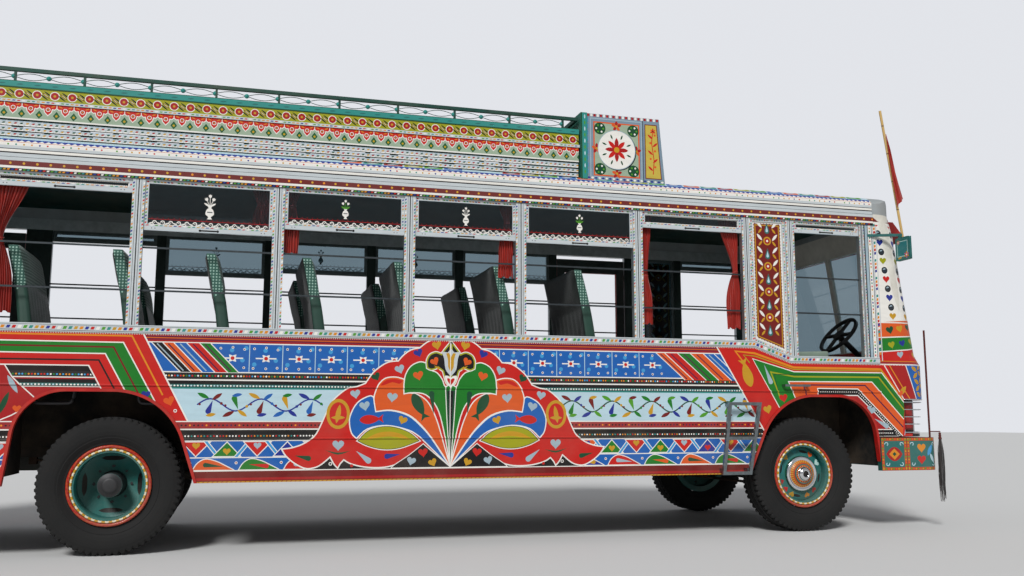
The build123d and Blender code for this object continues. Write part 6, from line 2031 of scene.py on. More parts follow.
tyre_mesh = lathe("tyre", tyre_line, 192, [tyre_rubber.material], reach=groove, soft=False)
rope_mesh = lathe("rim_rope", torus_profile(287, 106, 12), 132, [paint("crimson"), paint("rust")], rope)
bead_mesh = lathe(
    "rim_beads", torus_profile(264, 108, 8, 8), 132, [paint("gold"), paint("cream")],
    lambda i, j: (i // 2) % 2, lambda i, j: 1.5 if i % 2 else -1.0,
)
rim_line = [(243, 98), (256, 104), (299, 106.5)]
barrel_mesh = lathe("rim_barrel", [(243, 24), (242.5, 60)] + rim_line, 64, [paint("teal")])
deep_barrel_mesh = lathe("deep_barrel", [(243, -82), (242.5, 0)] + rim_line, 64, [paint("teal")])
cap_line = [
    (154, 60), (158, 68), (152, 78), (142, 84), (132, 82), (126, 78), (122, 79), (112, 88), (100, 94),
    (90, 98), (84, 100), (82, 108), (76, 112), (64, 114), (60, 116), (58, 128), (50, 138), (36, 144),
    (30, 145), (28, 141), (14, 139), (0.5, 139),
]
cap_mesh = lathe(
    "hub_cap", cap_line, 72, [chrome, paint("rust"), paint("gold"), paint("crimson"), paint("black")],
    cap_colour, lambda i, j: 2.2 if j in (1, 2) and i % 2 else 0,
)
ring_line = [
    (104, -146), (96, -120), (91, -100), (91, 66), (84, 73), (60, 74), (56, 82), (38, 86), (0.5, 86),
]
rear_hub_mesh = lathe("rear_hub_cover", ring_line, 40, [black_iron])


def nuts_mesh(radius, y, count, size):
    """Six-sided nuts with their studs, in a ring."""
    points, faces = [], []
    profile = [(size, 0), (size, size * 1.1), (size * 0.5, size * 1.2), (size * 0.48, size * 2.2)]
    for k in range(count):
        angle = 2 * math.pi * k / count
        cx, cz = radius * math.cos(angle), radius * math.sin(angle)
        turns = [math.pi / 3 * i + angle for i in range(6)]
        start = len(points)
        for r, h in profile:
            points += [(cx + r * math.cos(turn), y + h, cz + r * math.sin(turn)) for turn in turns]
        faces += ring_faces(start, 6, len(profile) - 1)
        faces.append(tuple(range(len(points) - 6, len(points))))
    return new_mesh("wheel_nuts", points, faces, [black_iron], soft=False)


rear_nuts = nuts_mesh(138, -146, 8, 15)
rim_parts = {"rope": rope_mesh, "beads": bead_mesh}
front_parts = {"disc": front_disc_mesh, "barrel": barrel_mesh, "cap": cap_mesh}
rear_parts = {"disc": rear_disc_mesh, "barrel": deep_barrel_mesh, "hub": rear_hub_mesh, "nuts": rear_nuts}
for name, (x, y, sign) in wheel_places.items():
    steered = name.startswith("front")
    for word, mesh in {**rim_parts, **(front_parts if steered else rear_parts)}.items():
        shared(name + "_" + word, mesh, (x, y), sign, name)
    if steered:
        tyre = shared(name.replace("wheel", "tyre"), tyre_mesh, (x, y), sign, name)
        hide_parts(name.replace("wheel", "tyre"))
        continue
    for word, track in (("outer", wheel_track), ("inner", inner_track)):
        tyre = shared(
            name.replace("wheels", "tyre") + "_" + word, tyre_mesh, (x, sign * track), sign, name,
        )
        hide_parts(name.replace("wheels", "tyres"))


# Coats for the pieces that keep the part's own shape

def coat(
    name, base, dark, rough, metallic=0.0, scale=8.0, grain=(1, 1, 1), dust=0.0, bump=0.15, fine=60,
    inner=None, mask=None,
):
    """Base colour with darker clouds and road dust; inner is a second colour where mask(graph) is 1."""
    g = Graph(name)
    cloud = g.patches(g.noise(scale, 7, 0.62, g.stretch(*grain)), 0.35, 1.2)
    tone = g.mix(cloud, linear(base), linear(dark))
    if inner:
        tone = g.mix(mask(g), tone, g.mix(cloud, linear(inner[0]), linear(inner[1])))
    if dust:
        tone = g.mix(g.patches(g.noise(2.1, 6, 0.66), 0.4, dust * 3), tone, linear("8a7660"))
    g.set(Base_Color=tone)
    g.roughness(rough, 0.18, g.noise(scale * 0.7, 4))
    g.set(Metallic=metallic, Specular_IOR_Level=0.35)
    g.relief(g.noise(fine, 4, 0.6, g.stretch(*grain)), bump, 0.002)
    return g.material


def facing_in(axis):
    """1 on faces that look towards the middle of the bus along that axis."""
    def mask(g):
        inwards = g.math("MULTIPLY", g.facing()[axis], g.math("SIGN", g.split()[axis]))
        return g.math("LESS_THAN", inwards, -0.3)
    return mask


def facing_down(g):
    return g.math("LESS_THAN", g.facing()[2], -0.05)


def above(limit):
    return lambda g: g.math("GREATER_THAN", g.split()[2], limit)


def planked(name, base, dark, pitch, axis, rough=0.6):
    """Boards with open seams and a grain that runs along x."""
    g = Graph(name)
    grain = g.noise(11, 8, 0.7, g.stretch(0.25, 3, 3))
    tone = g.mix(g.ramp(grain, [(0.35, (0, 0, 0, 1)), (0.7, (1, 1, 1, 1))]), linear(base), linear(dark))
    cell = g.math("FRACT", g.math("DIVIDE", g.split()[axis], pitch))
    seam = g.math("LESS_THAN", cell, 0.05)
    g.set(Base_Color=g.mix(seam, tone, (0.01, 0.008, 0.006, 1)))
    g.roughness(rough, 0.25, grain)
    g.relief(g.math("SUBTRACT", grain, g.math("MULTIPLY", seam, 2.0)), 0.4, 0.002)
    return g.material


def clear_glass(name, tint, rough=0.03):
    g = Graph(name)
    smear = g.noise(3, 5, 0.7)
    g.set(Base_Color=g.mix(g.math("MULTIPLY", smear, 0.5), tint, shade(tint, 0.8)))
    g.roughness(rough, 0.05, smear)
    g.set(Transmission_Weight=1.0, IOR=1.45)
    g.relief(g.noise(2, 2), 0.03, 0.002)
    return g.material


def dress(material, *names):
    """Gives pieces of the part one material in all their slots."""
    for name in names:
        shell = nodes[name]
        for slot in shell.material_slots:
            slot.material = material
        if not shell.material_slots:
            shell.data.materials.append(material)
    return material


dark_inside = ("2c3a38", "131b1b")
dress(coat(
    "skirt_coat", "b81a13", "5a0d0b", 0.4, dust=0.2, inner=dark_inside, mask=facing_in(1),
), "side_panel_right", "side_panel_left")
dress(coat(
    "nose_coat", "b81a13", "5a0d0b", 0.4, dust=0.2, inner=("e4e1d6", "a9a79c"), mask=above(1.69),
), "front_panel")
dress(coat(
    "tail_coat", "b81a13", "5a0d0b", 0.4, dust=0.2, inner=dark_inside, mask=facing_in(0),
), "rear_panel")
dress(coat(
    "door_coat", "a81613", "520c0a", 0.4, dust=0.2, inner=dark_inside, mask=facing_in(1),
), "door_front", "door_rear")
dress(coat(
    "roof_coat", "aab1b3", "7b8384", 0.52, 0.3, scale=5, dust=0.25, inner=("1f4b46", "12302e"),
    mask=facing_down, bump=0.3, fine=9,
), "roof_shell")
dress(coat("rail_coat", "c4cacb", "868c8c", 0.3, 0.75, scale=16, dust=0.12), "body_rails")
dress(coat(
    "post_coat", "b9c0c2", "6d7375", 0.28, 0.85, scale=20, grain=(1, 1, 0.3), inner=("39433f", "1c2322"),
    mask=facing_in(1),
), "window_posts")
dress(coat(
    "sash_coat", "c6ccce", "7f8688", 0.26, 0.85, scale=18, grain=(0.3, 1, 1), inner=("6a7372", "3a4241"),
    mask=facing_in(1),
), "window_sashes")
dress(coat("bar_coat", "4b5154", "1d2022", 0.34, 0.8, scale=30), "window_bars")
dress(planked("floor_coat", "3c342a", "1d1813", 0.14, 1), "floor")
dress(coat("cover_coat", "2a2c2b", "121312", 0.6, scale=20, dust=0.2, bump=0.4, fine=140), "engine_cover")
dress(coat(
    "well_coat", "33352f", "151613", 0.55, 0.4, scale=22, dust=0.3, bump=0.5, fine=110,
), "step_wells")
dress(coat("house_coat", "1b1a18", "0b0a0a", 0.8, dust=0.3, bump=0.5, fine=30), "wheel_houses")
dress(coat("frame_coat", "1c1b1a", "0a0a0a", 0.66, 0.3, dust=0.35, scale=12), "chassis_frame")
dress(coat(
    "spring_coat", "3a2a20", "15110e", 0.7, 0.5, dust=0.3, scale=26, grain=(0.4, 1, 3),
), "leaf_springs", "tie_rod")
iron_coat = dress(
    coat("iron_coat", "2e2d2b", "100f0f", 0.6, 0.5, dust=0.35, scale=18, bump=0.35, fine=80),
    "front_axle", "rear_axle", "engine_block", "knuckle_left", "knuckle_right",
)
dress(coat("tank_coat", "24282a", "101112", 0.5, 0.2, dust=0.4, scale=9), "fuel_tank")
dress(coat("pipe_coat", "5a3a26", "2a1a12", 0.8, 0.5, dust=0.3, scale=24, bump=0.5), "exhaust")
dress(coat("bumper_coat", "1d5a54", "0d2b29", 0.4, dust=0.25, scale=12), "bumpers")
dress(planked("rack_wood", "8a7656", "57462f", 0.34, 0, 0.7), "rack_floor")
dress(coat(
    "board_coat", "1c6a5b", "0e3b34", 0.42, dust=0.2, scale=9, grain=(0.4, 1, 2),
), "rack_boards", "crown_box")
rack_rail_coat = dress(coat(
    "rack_rail_coat", "17463c", "0b211d", 0.4, 0.2, dust=0.15, scale=20,
), "rack_rails")
dress(coat("visor_coat", "a3161a", "560c0e", 0.38, dust=0.15, scale=10), "sun_visor")
dress(coat("ladder_coat", "b9c2c4", "5f6668", 0.34, 0.7, dust=0.2, scale=30), "roof_ladder")
dress(coat("step_coat", "8c9497", "3d4345", 0.22, 0.95, scale=34, bump=0.1), "driver_step")
lamp_coat = dress(coat("lamp_coat", "dfe3e6", "9aa0a4", 0.1, 1.0, scale=40, bump=0.05), "lamps")
dress(coat("mirror_coat", "23625f", "123634", 0.36, dust=0.1, scale=16), "mirrors")
rod_coat = dress(coat(
    "rod_coat", "5a2019", "240d0a", 0.5, 0.2, scale=50, grain=(1, 1, 0.2),
), "corner_rods")
dress(coat("dash_coat", "1d1e20", "0c0c0d", 0.5, scale=30, bump=0.5, fine=240), "dashboard")
dress(coat("steering_coat", "101112", "050505", 0.35, scale=30, bump=0.2, fine=180), "steering_wheel")
dress(
    coat("wheel_coat", "1f6d68", "0d3533", 0.4, dust=0.35, scale=16), "front_wheel_left",
    "front_wheel_right", "rear_wheels_left", "rear_wheels_right",
)
dress(coat("grille_coat", "ccd1d4", "7b8083", 0.14, 1.0, scale=30, bump=0.06), "grille")
bamboo = Graph("bamboo")
node_pitch = 0.27
node_band = bamboo.math("FRACT", bamboo.math("DIVIDE", bamboo.split()[2], node_pitch))
node_band = bamboo.math("LESS_THAN", node_band, 0.035)
stem_tone = bamboo.mix(
    bamboo.noise(14, 5, 0.6, bamboo.stretch(3, 3, 0.3)), linear("d9b978"), linear("a67f3e"),
)
bamboo.set(Base_Color=bamboo.mix(node_band, stem_tone, linear("6b4a22")), Roughness=0.45)
bamboo.relief(node_band, 0.6, 0.002)
dress(bamboo.material, "flag_pole")
dress(clear_glass("window_coat", (0.42, 0.58, 0.66, 1)), "window_glass")


# Padded pieces: blocks of cells that cloth pressure fills out between their seams

def block(ns, nt, ny, spot):
    """The skin of a block of cells, with its points placed by spot and kept by their cell."""
    index, points, faces = {}, [], []

    def at(i, j, k):
        if (i, j, k) not in index:
            index[i, j, k] = len(points)
            points.append(spot(i / ns, j / nt, k / ny))
        return index[i, j, k]

    for i in range(ns):
        for j in range(nt):
            faces.append((at(i, j, 0), at(i, j + 1, 0), at(i + 1, j + 1, 0), at(i + 1, j, 0)))
            faces.append((at(i, j, ny), at(i + 1, j, ny), at(i + 1, j + 1, ny), at(i, j + 1, ny)))
    for i in range(ns):
        for k in range(ny):
            faces.append((at(i, 0, k), at(i + 1, 0, k), at(i + 1, 0, k + 1), at(i, 0, k + 1)))
            faces.append((at(i, nt, k), at(i, nt, k + 1), at(i + 1, nt, k + 1), at(i + 1, nt, k)))
    for j in range(nt):
        for k in range(ny):
            faces.append((at(0, j, k), at(0, j, k + 1), at(0, j + 1, k + 1), at(0, j + 1, k)))
            faces.append((at(ns, j, k), at(ns, j + 1, k), at(ns, j + 1, k + 1), at(ns, j, k + 1)))
    return points, faces, index


cloth_frames = 20


def pressed(source, seams):
    """Where cloth pressure moves the points of an object whose seams are held."""
    group = source.vertex_groups.new(name="seams")
    group.add(list(seams), 1.0, "REPLACE")
    cloth = source.modifiers.new("cloth", "CLOTH")
    cloth.settings.use_pressure = True
    cloth.settings.uniform_pressure_force = 4
    cloth.settings.effector_weights.gravity = 0
    cloth.settings.vertex_group_mass = "seams"
    cloth.settings.tension_stiffness = 12
    cloth.settings.bending_stiffness = 0.4
    cloth.point_cache.frame_start = 1
    cloth.point_cache.frame_end = cloth_frames
    for step in range(1, cloth_frames + 1):
        bpy.context.scene.frame_set(step)
    ready = source.evaluated_get(bpy.context.evaluated_depsgraph_get())
    moved = [v.co.copy() for v in ready.data.vertices]
    source.modifiers.remove(cloth)
    bpy.context.scene.frame_set(1)
    return moved


def puffed(name, points, faces, seams, cap, materials, pick, rounds=1):
    """A closed skin blown out by cloth pressure with its seams held, then subdivided."""
    mesh = new_mesh(name, points, faces, materials, pick)
    source = placed(name + "_source", mesh)
    rest = [v.co.copy() for v in mesh.vertices]
    moved = pressed(source, seams)
    for v, start, end in zip(mesh.vertices, rest, moved):
        step = end - start
        if step.length > cap:
            step *= cap / step.length
        v.co = start + step
    smoother = source.modifiers.new("smoother", "SUBSURF")
    smoother.levels = rounds
    ready = source.evaluated_get(bpy.context.evaluated_depsgraph_get())
    result = bpy.data.meshes.new_from_object(ready)
    result.name = name
    bpy.data.objects.remove(source)
    return result


def quad_spot(corners, y0, y1, bow=0.0, crown=0.0):
    """Places block points in a section of four corners between y0 and y1.

    The corners are the rear low, the rear high, the front high and the front low.
    """
    (ax, az), (bx, bz), (cx, cz), (dx, dz) = corners

    def spot(s, t, k):
        rear = (ax + (bx - ax) * s, az + (bz - az) * s)
        fore = (dx + (cx - dx) * s, dz + (cz - dz) * s)
        x = rear[0] + (fore[0] - rear[0]) * t + bow * math.sin(math.pi * s)
        z = rear[1] + (fore[1] - rear[1]) * t - crown * (2 * k - 1) ** 4 * s
        return (x, y0 + (y1 - y0) * k, z)
    return spot


def woven(name, base, dark, dots=None, rough=0.75, sheen=0.3):
    """Cloth or leathercloth with a fine weave, and printed dots where asked."""
    g = Graph(name)
    split = g.split()
    threads = [g.math("SINE", g.math("MULTIPLY", split[axis], 1600)) for axis in (1, 2)]
    weave = g.math("MULTIPLY", *threads)
    tone = g.mix(g.noise(7, 6, 0.6), linear(base), linear(dark))
    if dots:
        cells = [g.math("FRACT", g.math("MULTIPLY", split[axis], 42)) for axis in (0, 1, 2)]
        w, u, v = [g.math("SUBTRACT", cell, 0.5) for cell in cells]
        sideways = g.math("GREATER_THAN", g.math("ABSOLUTE", g.facing()[1]), 0.6)
        rest = g.math("MULTIPLY", u, g.math("SUBTRACT", 1.0, sideways))
        flat = g.math("ADD", g.math("MULTIPLY", w, sideways), rest)
        far = g.math("SQRT", g.math("ADD", g.math("MULTIPLY", v, v), g.math("MULTIPLY", flat, flat)))
        tone = g.mix(g.math("LESS_THAN", far, 0.27), tone, linear(dots))
    g.set(Base_Color=tone)
    g.roughness(rough - 0.1, 0.2, g.noise(12, 4))
    g.set(Sheen_Weight=sheen, Sheen_Roughness=0.5)
    g.relief(weave, 0.25, 0.0006)
    return g.material


seat_green = woven("seat_green", "1f4a3b", "0e2a22", None, 0.45, 0.15)
seat_cover = woven("seat_cover", "2b5e50", "1b4238", "8fb0a2")
seat_rear = woven("seat_rear", "14201c", "0a100e", None, 0.6, 0.1)
driver_cloth = woven("driver_cloth", "8b9c8d", "5f7064", None, 0.8)

bench_half = 434
back_cells = (24, 4, 32)
back_spot = quad_spot([(128, 1458), (0, 2318), (66, 2318), (206, 1590)], -bench_half, bench_half, 16, 26)
points, faces, index = block(*back_cells, back_spot)
cover_from = 14
seams = {
    v for (i, j, k), v in index.items()
    if j in (0, 4) and ((k % 4 == 0 and i <= cover_from) or i == cover_from or k in (0, 32))
}
cells = {v: cell for cell, v in index.items()}


def cloth_of(face):
    """The rear cloth, the cover over the top or the plain green, by the cells of a face's points."""
    if max(cells[v][1] for v in face) == 0:
        return 2
    return 1 if min(cells[v][0] for v in face) >= cover_from else 0
back_cloths = [seat_green, seat_cover, seat_rear]
bench_back = puffed(
    "bench_back", points, faces, seams, 20 * MM, back_cloths, [cloth_of(f) for f in faces], 0,
)
seat_cells = (5, 16, 32)
seat_spot = quad_spot([(222, 1468), (220, 1586), (606, 1606), (606, 1482)], -bench_half, bench_half)
points, faces, index = block(*seat_cells, seat_spot)
seams = {
    v for (i, j, k), v in index.items() if (i == 5 and k % 4 == 0) or i == 0 or (i == 5 and j in (0, 16))
}
bench_seat = puffed("bench_seat", points, faces, seams, 22 * MM, [seat_green], None, 0)


def tubes(name, lines, radius, body, material, sides=8):
    """Round tubes along lines of points, in one piece."""
    points, faces = [], []
    for line in lines:
        line = [Vector(p) for p in line]
        start = len(points)
        for i, p in enumerate(line):
            ahead_of = line[min(i + 1, len(line) - 1)] - line[max(i - 1, 0)]
            ahead_of.normalize()
            side = ahead_of.cross(Vector((0, 0, 1) if abs(ahead_of.z) < 0.9 else (1, 0, 0))).normalized()
            up = side.cross(ahead_of)
            for k in range(sides):
                angle = 2 * math.pi * k / sides
                points.append(tuple(p + (side * math.cos(angle) + up * math.sin(angle)) * radius))
        faces += ring_faces(start, sides, len(line) - 1)
        faces.append(tuple(range(start, start + sides))[::-1])
        faces.append(tuple(range(len(points) - sides, len(points))))
    return mesh_object(name, points, faces, body, [material], soft=True)


def bend(points, radius=40, steps=4):
    """The same line with its corners rounded."""
    line = [points[0]]
    for a, b, c in zip(points, points[1:], points[2:]):
        a, b, c = Vector(a), Vector(b), Vector(c)
        reach = min(radius, (a - b).length / 2, (c - b).length / 2)
        p, q = b + (a - b).normalized() * reach, b + (c - b).normalized() * reach
        for i in range(steps + 1):
            t = i / steps
            line.append(tuple(p * (1 - t) ** 2 + b * 2 * t * (1 - t) + q * t * t))
    line.append(points[-1])
    return line


bench_rows = [(x, -670) for x in (-4400, -3660, -2900, -2170, -1484, -741, -1, 850, 1581)]
bench_rows += [(x, 670) for x in (-2170, -1484, -741, -1, 850)]
frame_lines = []
for i, (x, y) in enumerate(bench_rows):
    for word, mesh in (("back", bench_back), ("seat", bench_seat)):
        pad = placed("bench_%s_%02d" % (word, i + 1), mesh, (x * MM, y * MM, 0), body="coach_body")
        if word == "back" and i == 0:
            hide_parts("seats")
    for leg_y in (y - 400, y + 400):
        legs = [
            (x + 560, leg_y, 1476), (x + 505, leg_y, 1116), (x + 240, leg_y, 1116),
            (x + 236, leg_y, 1476),
        ]
        frame_lines.append(bend(legs, 40))
        frame_lines.append([(x + 545, leg_y, 1300), (x + 240, leg_y, 1300)])
    for rail_x in (x + 552, x + 240):
        frame_lines.append([(rail_x, y - 400, 1462), (rail_x, y + 400, 1462)])
tubes("bench_frames", frame_lines, 13, "coach_body", black_iron)

driver_right, driver_left = -918, -482
corners = [(3730, 1516), (3642, 2138), (3720, 2138), (3818, 1660)]
points, faces, index = block(18, 4, 14, quad_spot(corners, driver_right, driver_left, 10, 20))
seams = {
    v for (i, j, k), v in index.items()
    if j in (0, 4) and (k in (0, 3, 11, 14) or (i in (0, 6, 12, 18) and 3 <= k <= 11))
}
driver_back = puffed("driver_back", points, faces, seams, 20 * MM, [driver_cloth], None)
corners = [(3760, 1520), (3840, 1630), (4226, 1646), (4226, 1532)]
points, faces, index = block(5, 14, 14, quad_spot(corners, driver_right, driver_left))
seams = {
    v for (i, j, k), v in index.items() if i == 0 or (i == 5 and (k in (0, 3, 11, 14) or j in (0, 14)))
}
driver_cushion = puffed("driver_cushion", points, faces, seams, 22 * MM, [driver_cloth], None)
for word, mesh in (("driver_back", driver_back), ("driver_cushion", driver_cushion)):
    pad = placed(word, mesh, body="coach_body")
    if word == "driver_back":
        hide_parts("driver_seat")


def plinth(s, t, k):
    """The driver's plinth, drawn in at its waist."""
    waist = 18 * math.sin(math.pi * s)
    return (3800 + waist + (340 - 2 * waist) * t, -900 + waist + (400 - 2 * waist) * k, 1252 + 262 * s)


points, faces, index = block(10, 8, 10, plinth)
mesh_object("driver_plinth", points, faces, "coach_body", [iron_coat], soft=True)


# Curtains, gathered at the top and tied: one sheet each, with folds

satin = Graph("red_satin")
satin_tone = satin.mix(
    satin.noise(9, 5, 0.6, satin.stretch(3, 1, 0.5)), linear("b3372b"), linear("7c1a16"),
)
satin.set(Base_Color=satin_tone)
satin.roughness(0.26, 0.14, satin.noise(30, 3))
satin.set(Sheen_Weight=0.6, Sheen_Roughness=0.3, Anisotropic=0.5)
satin.relief(satin.noise(160, 3, 0.6, satin.stretch(1, 1, 0.2)), 0.25, 0.0008)

chance = random.Random(7)
curtain_table = [
    # name, x at the top, x of the tie, x at the foot, half widths there, height of the tie, foot, folds
    ("curtain_1", (-2880, -2950, -2915), (120, 26, 74), 2330, 1775, 9),
    ("curtain_2", (-1070, -1062, -1070), (80, 52, 78), 2690, 2486, 7),
    ("curtain_3", (-840, -842, -840), (60, 34, 60), 2700, 2306, 6),
    ("curtain_4", (950, 956, 946), (70, 24, 66), 2650, 2186, 7),
    ("curtain_5", (2243, 2232, 2246), (56, 26, 54), 2260, 1826, 6),
    ("curtain_6", (3062, 3122, 3096), (101, 24, 66), 2330, 1806, 8),
]
curtain_y = -1148
curtain_top = 2826
curtain_swing = 19


def smoothstep(a, b, v):
    t = min(1, max(0, (v - a) / (b - a)))
    return t * t * (3 - 2 * t)


def curtain(name, xs, halves, tie, foot, folds):
    top = curtain_top
    columns, rows = 60, 64
    phase = chance.random() * 6
    points = []
    for r in range(rows + 1):
        v = r / rows
        z = top + (foot - top) * v
        near = math.exp(-((z - tie) / 46) ** 2)
        hangs = z > tie
        if z >= tie:
            t = smoothstep(tie, top, z)
            middle, half = xs[1] + (xs[0] - xs[1]) * t, halves[1] + (halves[0] - halves[1]) * t
        else:
            t = min(1, (tie - z) / max(60, (tie - foot) * 0.6))
            swell = math.sin(t * math.pi * 0.62)
            middle, half = xs[1] + (xs[2] - xs[1]) * t, halves[1] + (halves[2] - halves[1]) * swell
        deep = 15 - 8 * near
        for c in range(columns + 1):
            u = 2 * c / columns - 1
            fold = math.sin(math.pi * folds * u + phase + 1.1 * math.sin(3.1 * v + phase))
            fold = fold + 0.35 * math.sin(math.pi * folds * 2.3 * u + 5 * v)
            round_off = math.sqrt(max(0.0, 1 - (u * 0.92) ** 2))
            y = curtain_y - (6 + 10 * near) * round_off + deep * fold * 0.74
            x = middle + half * u + 3 * math.sin(9 * v + 4 * u + phase)
            sag = 14 * (1 - v) * (1 - abs(u)) if hangs else 16 * v * math.sin(6 * u + phase)
            y = max(curtain_y - curtain_swing, min(curtain_y + curtain_swing, y))
            points.append((x, y, max(foot, min(top, z - sag))))
    made = mesh_object(name, points, grid_faces(columns, rows), "coach_body", [satin.material], soft=True)
    return made


drapes = [curtain(*row) for row in curtain_table]
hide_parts("curtains")
ties = []
for _, xs, halves, tie, *_ in curtain_table:
    turns = [2 * math.pi * k / 12 for k in range(13)]
    reach = halves[1] + 2
    ties.append([
        (
            xs[1] + reach * math.cos(turn), curtain_y + 17 * math.sin(turn), tie + 5 * math.cos(turn),
        ) for turn in turns
    ])
tubes("curtain_ties", ties, 4.5, "coach_body", satin.material, 6)


# Flag on the pole

# Its rear and front edges from top to bottom, each point a height and an x
flag_rear = [(3700, 4662), (3330, 4702), (2987, 4744)]
flag_front = [(3700, 4668), (3330, 4746), (3080, 4818)]
flag_y = -1351


def edge_at(table, v):
    """Height and x on an edge at a share of its drop."""
    low = table[-1][0]
    z = table[0][0] + (low - table[0][0]) * v
    for (za, xa), (zb, xb) in zip(table, table[1:]):
        if z >= zb - 1e-6:
            return z, xa + (xb - xa) * (za - z) / (za - zb)
    return z, table[-1][1]


flag_points = []
flag_columns, flag_rows = 28, 60
for r in range(flag_rows + 1):
    v = r / flag_rows
    (zl, xl), (zr, xr) = edge_at(flag_rear, v), edge_at(flag_front, v)
    for c in range(flag_columns + 1):
        u = c / flag_columns
        sway = 9 * min(1, v * 4) * (math.sin(9 * u + 1.5 * v) + 0.5 * math.sin(17 * u - 3 * v))
        flag_points.append((xl + (xr - xl) * u, flag_y - sway, zl + (zr - zl) * u))
flag_faces = grid_faces(flag_columns, flag_rows)
flag = mesh_object("flag_cloth", flag_points, flag_faces, "coach_body", [satin.material], soft=True)
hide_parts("flag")


# Yarn tassels on the corner rods

yarn = Graph("black_yarn")
yarn.set(Base_Color=yarn.mix(yarn.noise(40, 4), (0.012, 0.011, 0.012, 1), (0.05, 0.04, 0.035, 1)))
yarn.set(Roughness=0.9, Sheen_Weight=0.4)
yarn.relief(yarn.noise(400, 2, 0.5, yarn.stretch(1, 1, 0.1)), 0.5, 0.001)
yarn_count = 170
yarn_half = 1.9
yarn_top = 876
yarn_drop = 650
collar_height = 858
full_turn = 6.283
collar_line = [(1, 20), (9, 18), (12, 8), (9, 0), (13, -8), (11, -18), (14, -30), (16, -44)]
tassel_low, tassel_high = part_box("tassels")
for side, word in ((-1, "right"), (1, "left")):
    middle = ((tassel_low[0] + tassel_high[0]) / 2 / MM, side * (tassel_high[1] / MM - 22))
    points, faces = [], []
    for n in range(yarn_count):
        turn, spread = chance.random() * full_turn, math.sqrt(chance.random())
        long_by = 0.62 + 0.37 * chance.random()
        wave, start = chance.random() * full_turn, len(points)
        for i in range(9):
            t = i / 8
            z = yarn_top - t * long_by * yarn_drop
            reach = spread * (6 + 20 * smoothstep(0, 0.4, t) + 5 * math.sin(7 * t + wave) * t)
            x = middle[0] + reach * math.cos(turn + 0.9 * t) + 3 * t * math.sin(11 * t + wave)
            y = middle[1] + reach * math.sin(turn + 0.9 * t) + 3 * t * math.cos(9 * t + wave)
            twist = turn + 2.6 * t
            dx, dy = yarn_half * math.sin(twist), yarn_half * math.cos(twist)
            points += [(x - dx, y + dy, z), (x + dx, y - dy, z)]
        faces += grid_faces(1, 8, start)
    tassel = mesh_object("tassel_" + word, points, faces, "coach_body", [yarn.material], soft=True)
    if side < 0:
        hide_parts("tassels")
    collar = lathe("tassel_collar_" + word, collar_line, 18, [rod_coat])
    location = (middle[0] * MM, middle[1] * MM, collar_height * MM)
    placed("tassel_collar_" + word, collar, location, (math.pi / 2, 0, 0), "coach_body")


# Lamp lenses, mirrors, wire on the rack

def turned_piece(name, mesh, centre, turn):
    """A piece of the body placed in millimetres and turned about the upright by some degrees."""
    return placed(name, mesh, tuple(c * MM for c in centre), (0, 0, math.radians(turn)), "coach_body")


headlamp_y, headlamp_z = 820, 1023
tail_lamp_x, tail_lamp_z = -5131, 1000
lens_glass = clear_glass("lens_glass", (0.86, 0.88, 0.86, 1), 0.05)
tail_red = clear_glass("tail_red", (0.6, 0.02, 0.015, 1), 0.1)
lens_mesh = lathe(
    "headlamp_lens", [(88, 0), (90, 4), (84, 12), (60, 20), (32, 24), (0.5, 25.5)], 72, [lens_glass],
    reach=lambda i, j: 1.2 if i % 2 and 0 < j < 5 else 0,
)
bowl_mesh = lathe("headlamp_bowl", [(90, 2), (72, -6), (46, -14), (18, -20), (0.5, -21)], 48, [lamp_coat])
tail_mesh = lathe(
    "tail_lens", [(50, 0), (49, 8), (38, 15), (20, 18), (0.5, 19)], 40, [tail_red],
    reach=lambda i, j: 1.0 if i % 2 and j else 0,
)
for side, word in ((-1, "right"), (1, "left")):
    turned_piece("headlamp_lens_" + word, lens_mesh, (5058, side * headlamp_y, headlamp_z), -90)
    turned_piece("headlamp_bowl_" + word, bowl_mesh, (5080, side * headlamp_y, headlamp_z), -90)
    for i, y in enumerate((820, 960)):
        turned_piece("tail_lens_%s_%d" % (word, i), tail_mesh, (tail_lamp_x, side * y, tail_lamp_z), 90)

niche_canvas = Canvas()
# The black ground of the niche lining is painted shade, the dark of the recess behind the lamp wires.
niche_canvas.fill(rect(4700, 800, 5400, 1250), "black")
niche_canvas.fill(rect(4846, 900, 5140, 1150), "maroon")
niche_canvas.fill(rect(4866, 920, 5120, 1130), "crimson")
for low in (950, 1018, 1086):
    niche_canvas.fill(rect(4846, low, 5140, low + 10), "black")
liner_depth = 60
liner_half_width = body_half_width - liner_depth
liner_radius = corner_radius - liner_depth
liner_start = front_face_x(headlamp_z) - corner_radius
liner_turn = liner_radius * math.pi / 2


def liner_place(side):
    """A lining behind the wires: along the side, round the corner and up to the lamp."""
    def place(u, z):
        if u <= liner_start:
            return (u, side * liner_half_width, z)
        angle = min((u - liner_start) / liner_radius, math.pi / 2)
        rest = max(0, u - liner_start - liner_turn)
        depth = liner_half_width - liner_radius + liner_radius * math.cos(angle) - rest
        return (liner_start + liner_radius * math.sin(angle), side * depth, z)
    return place


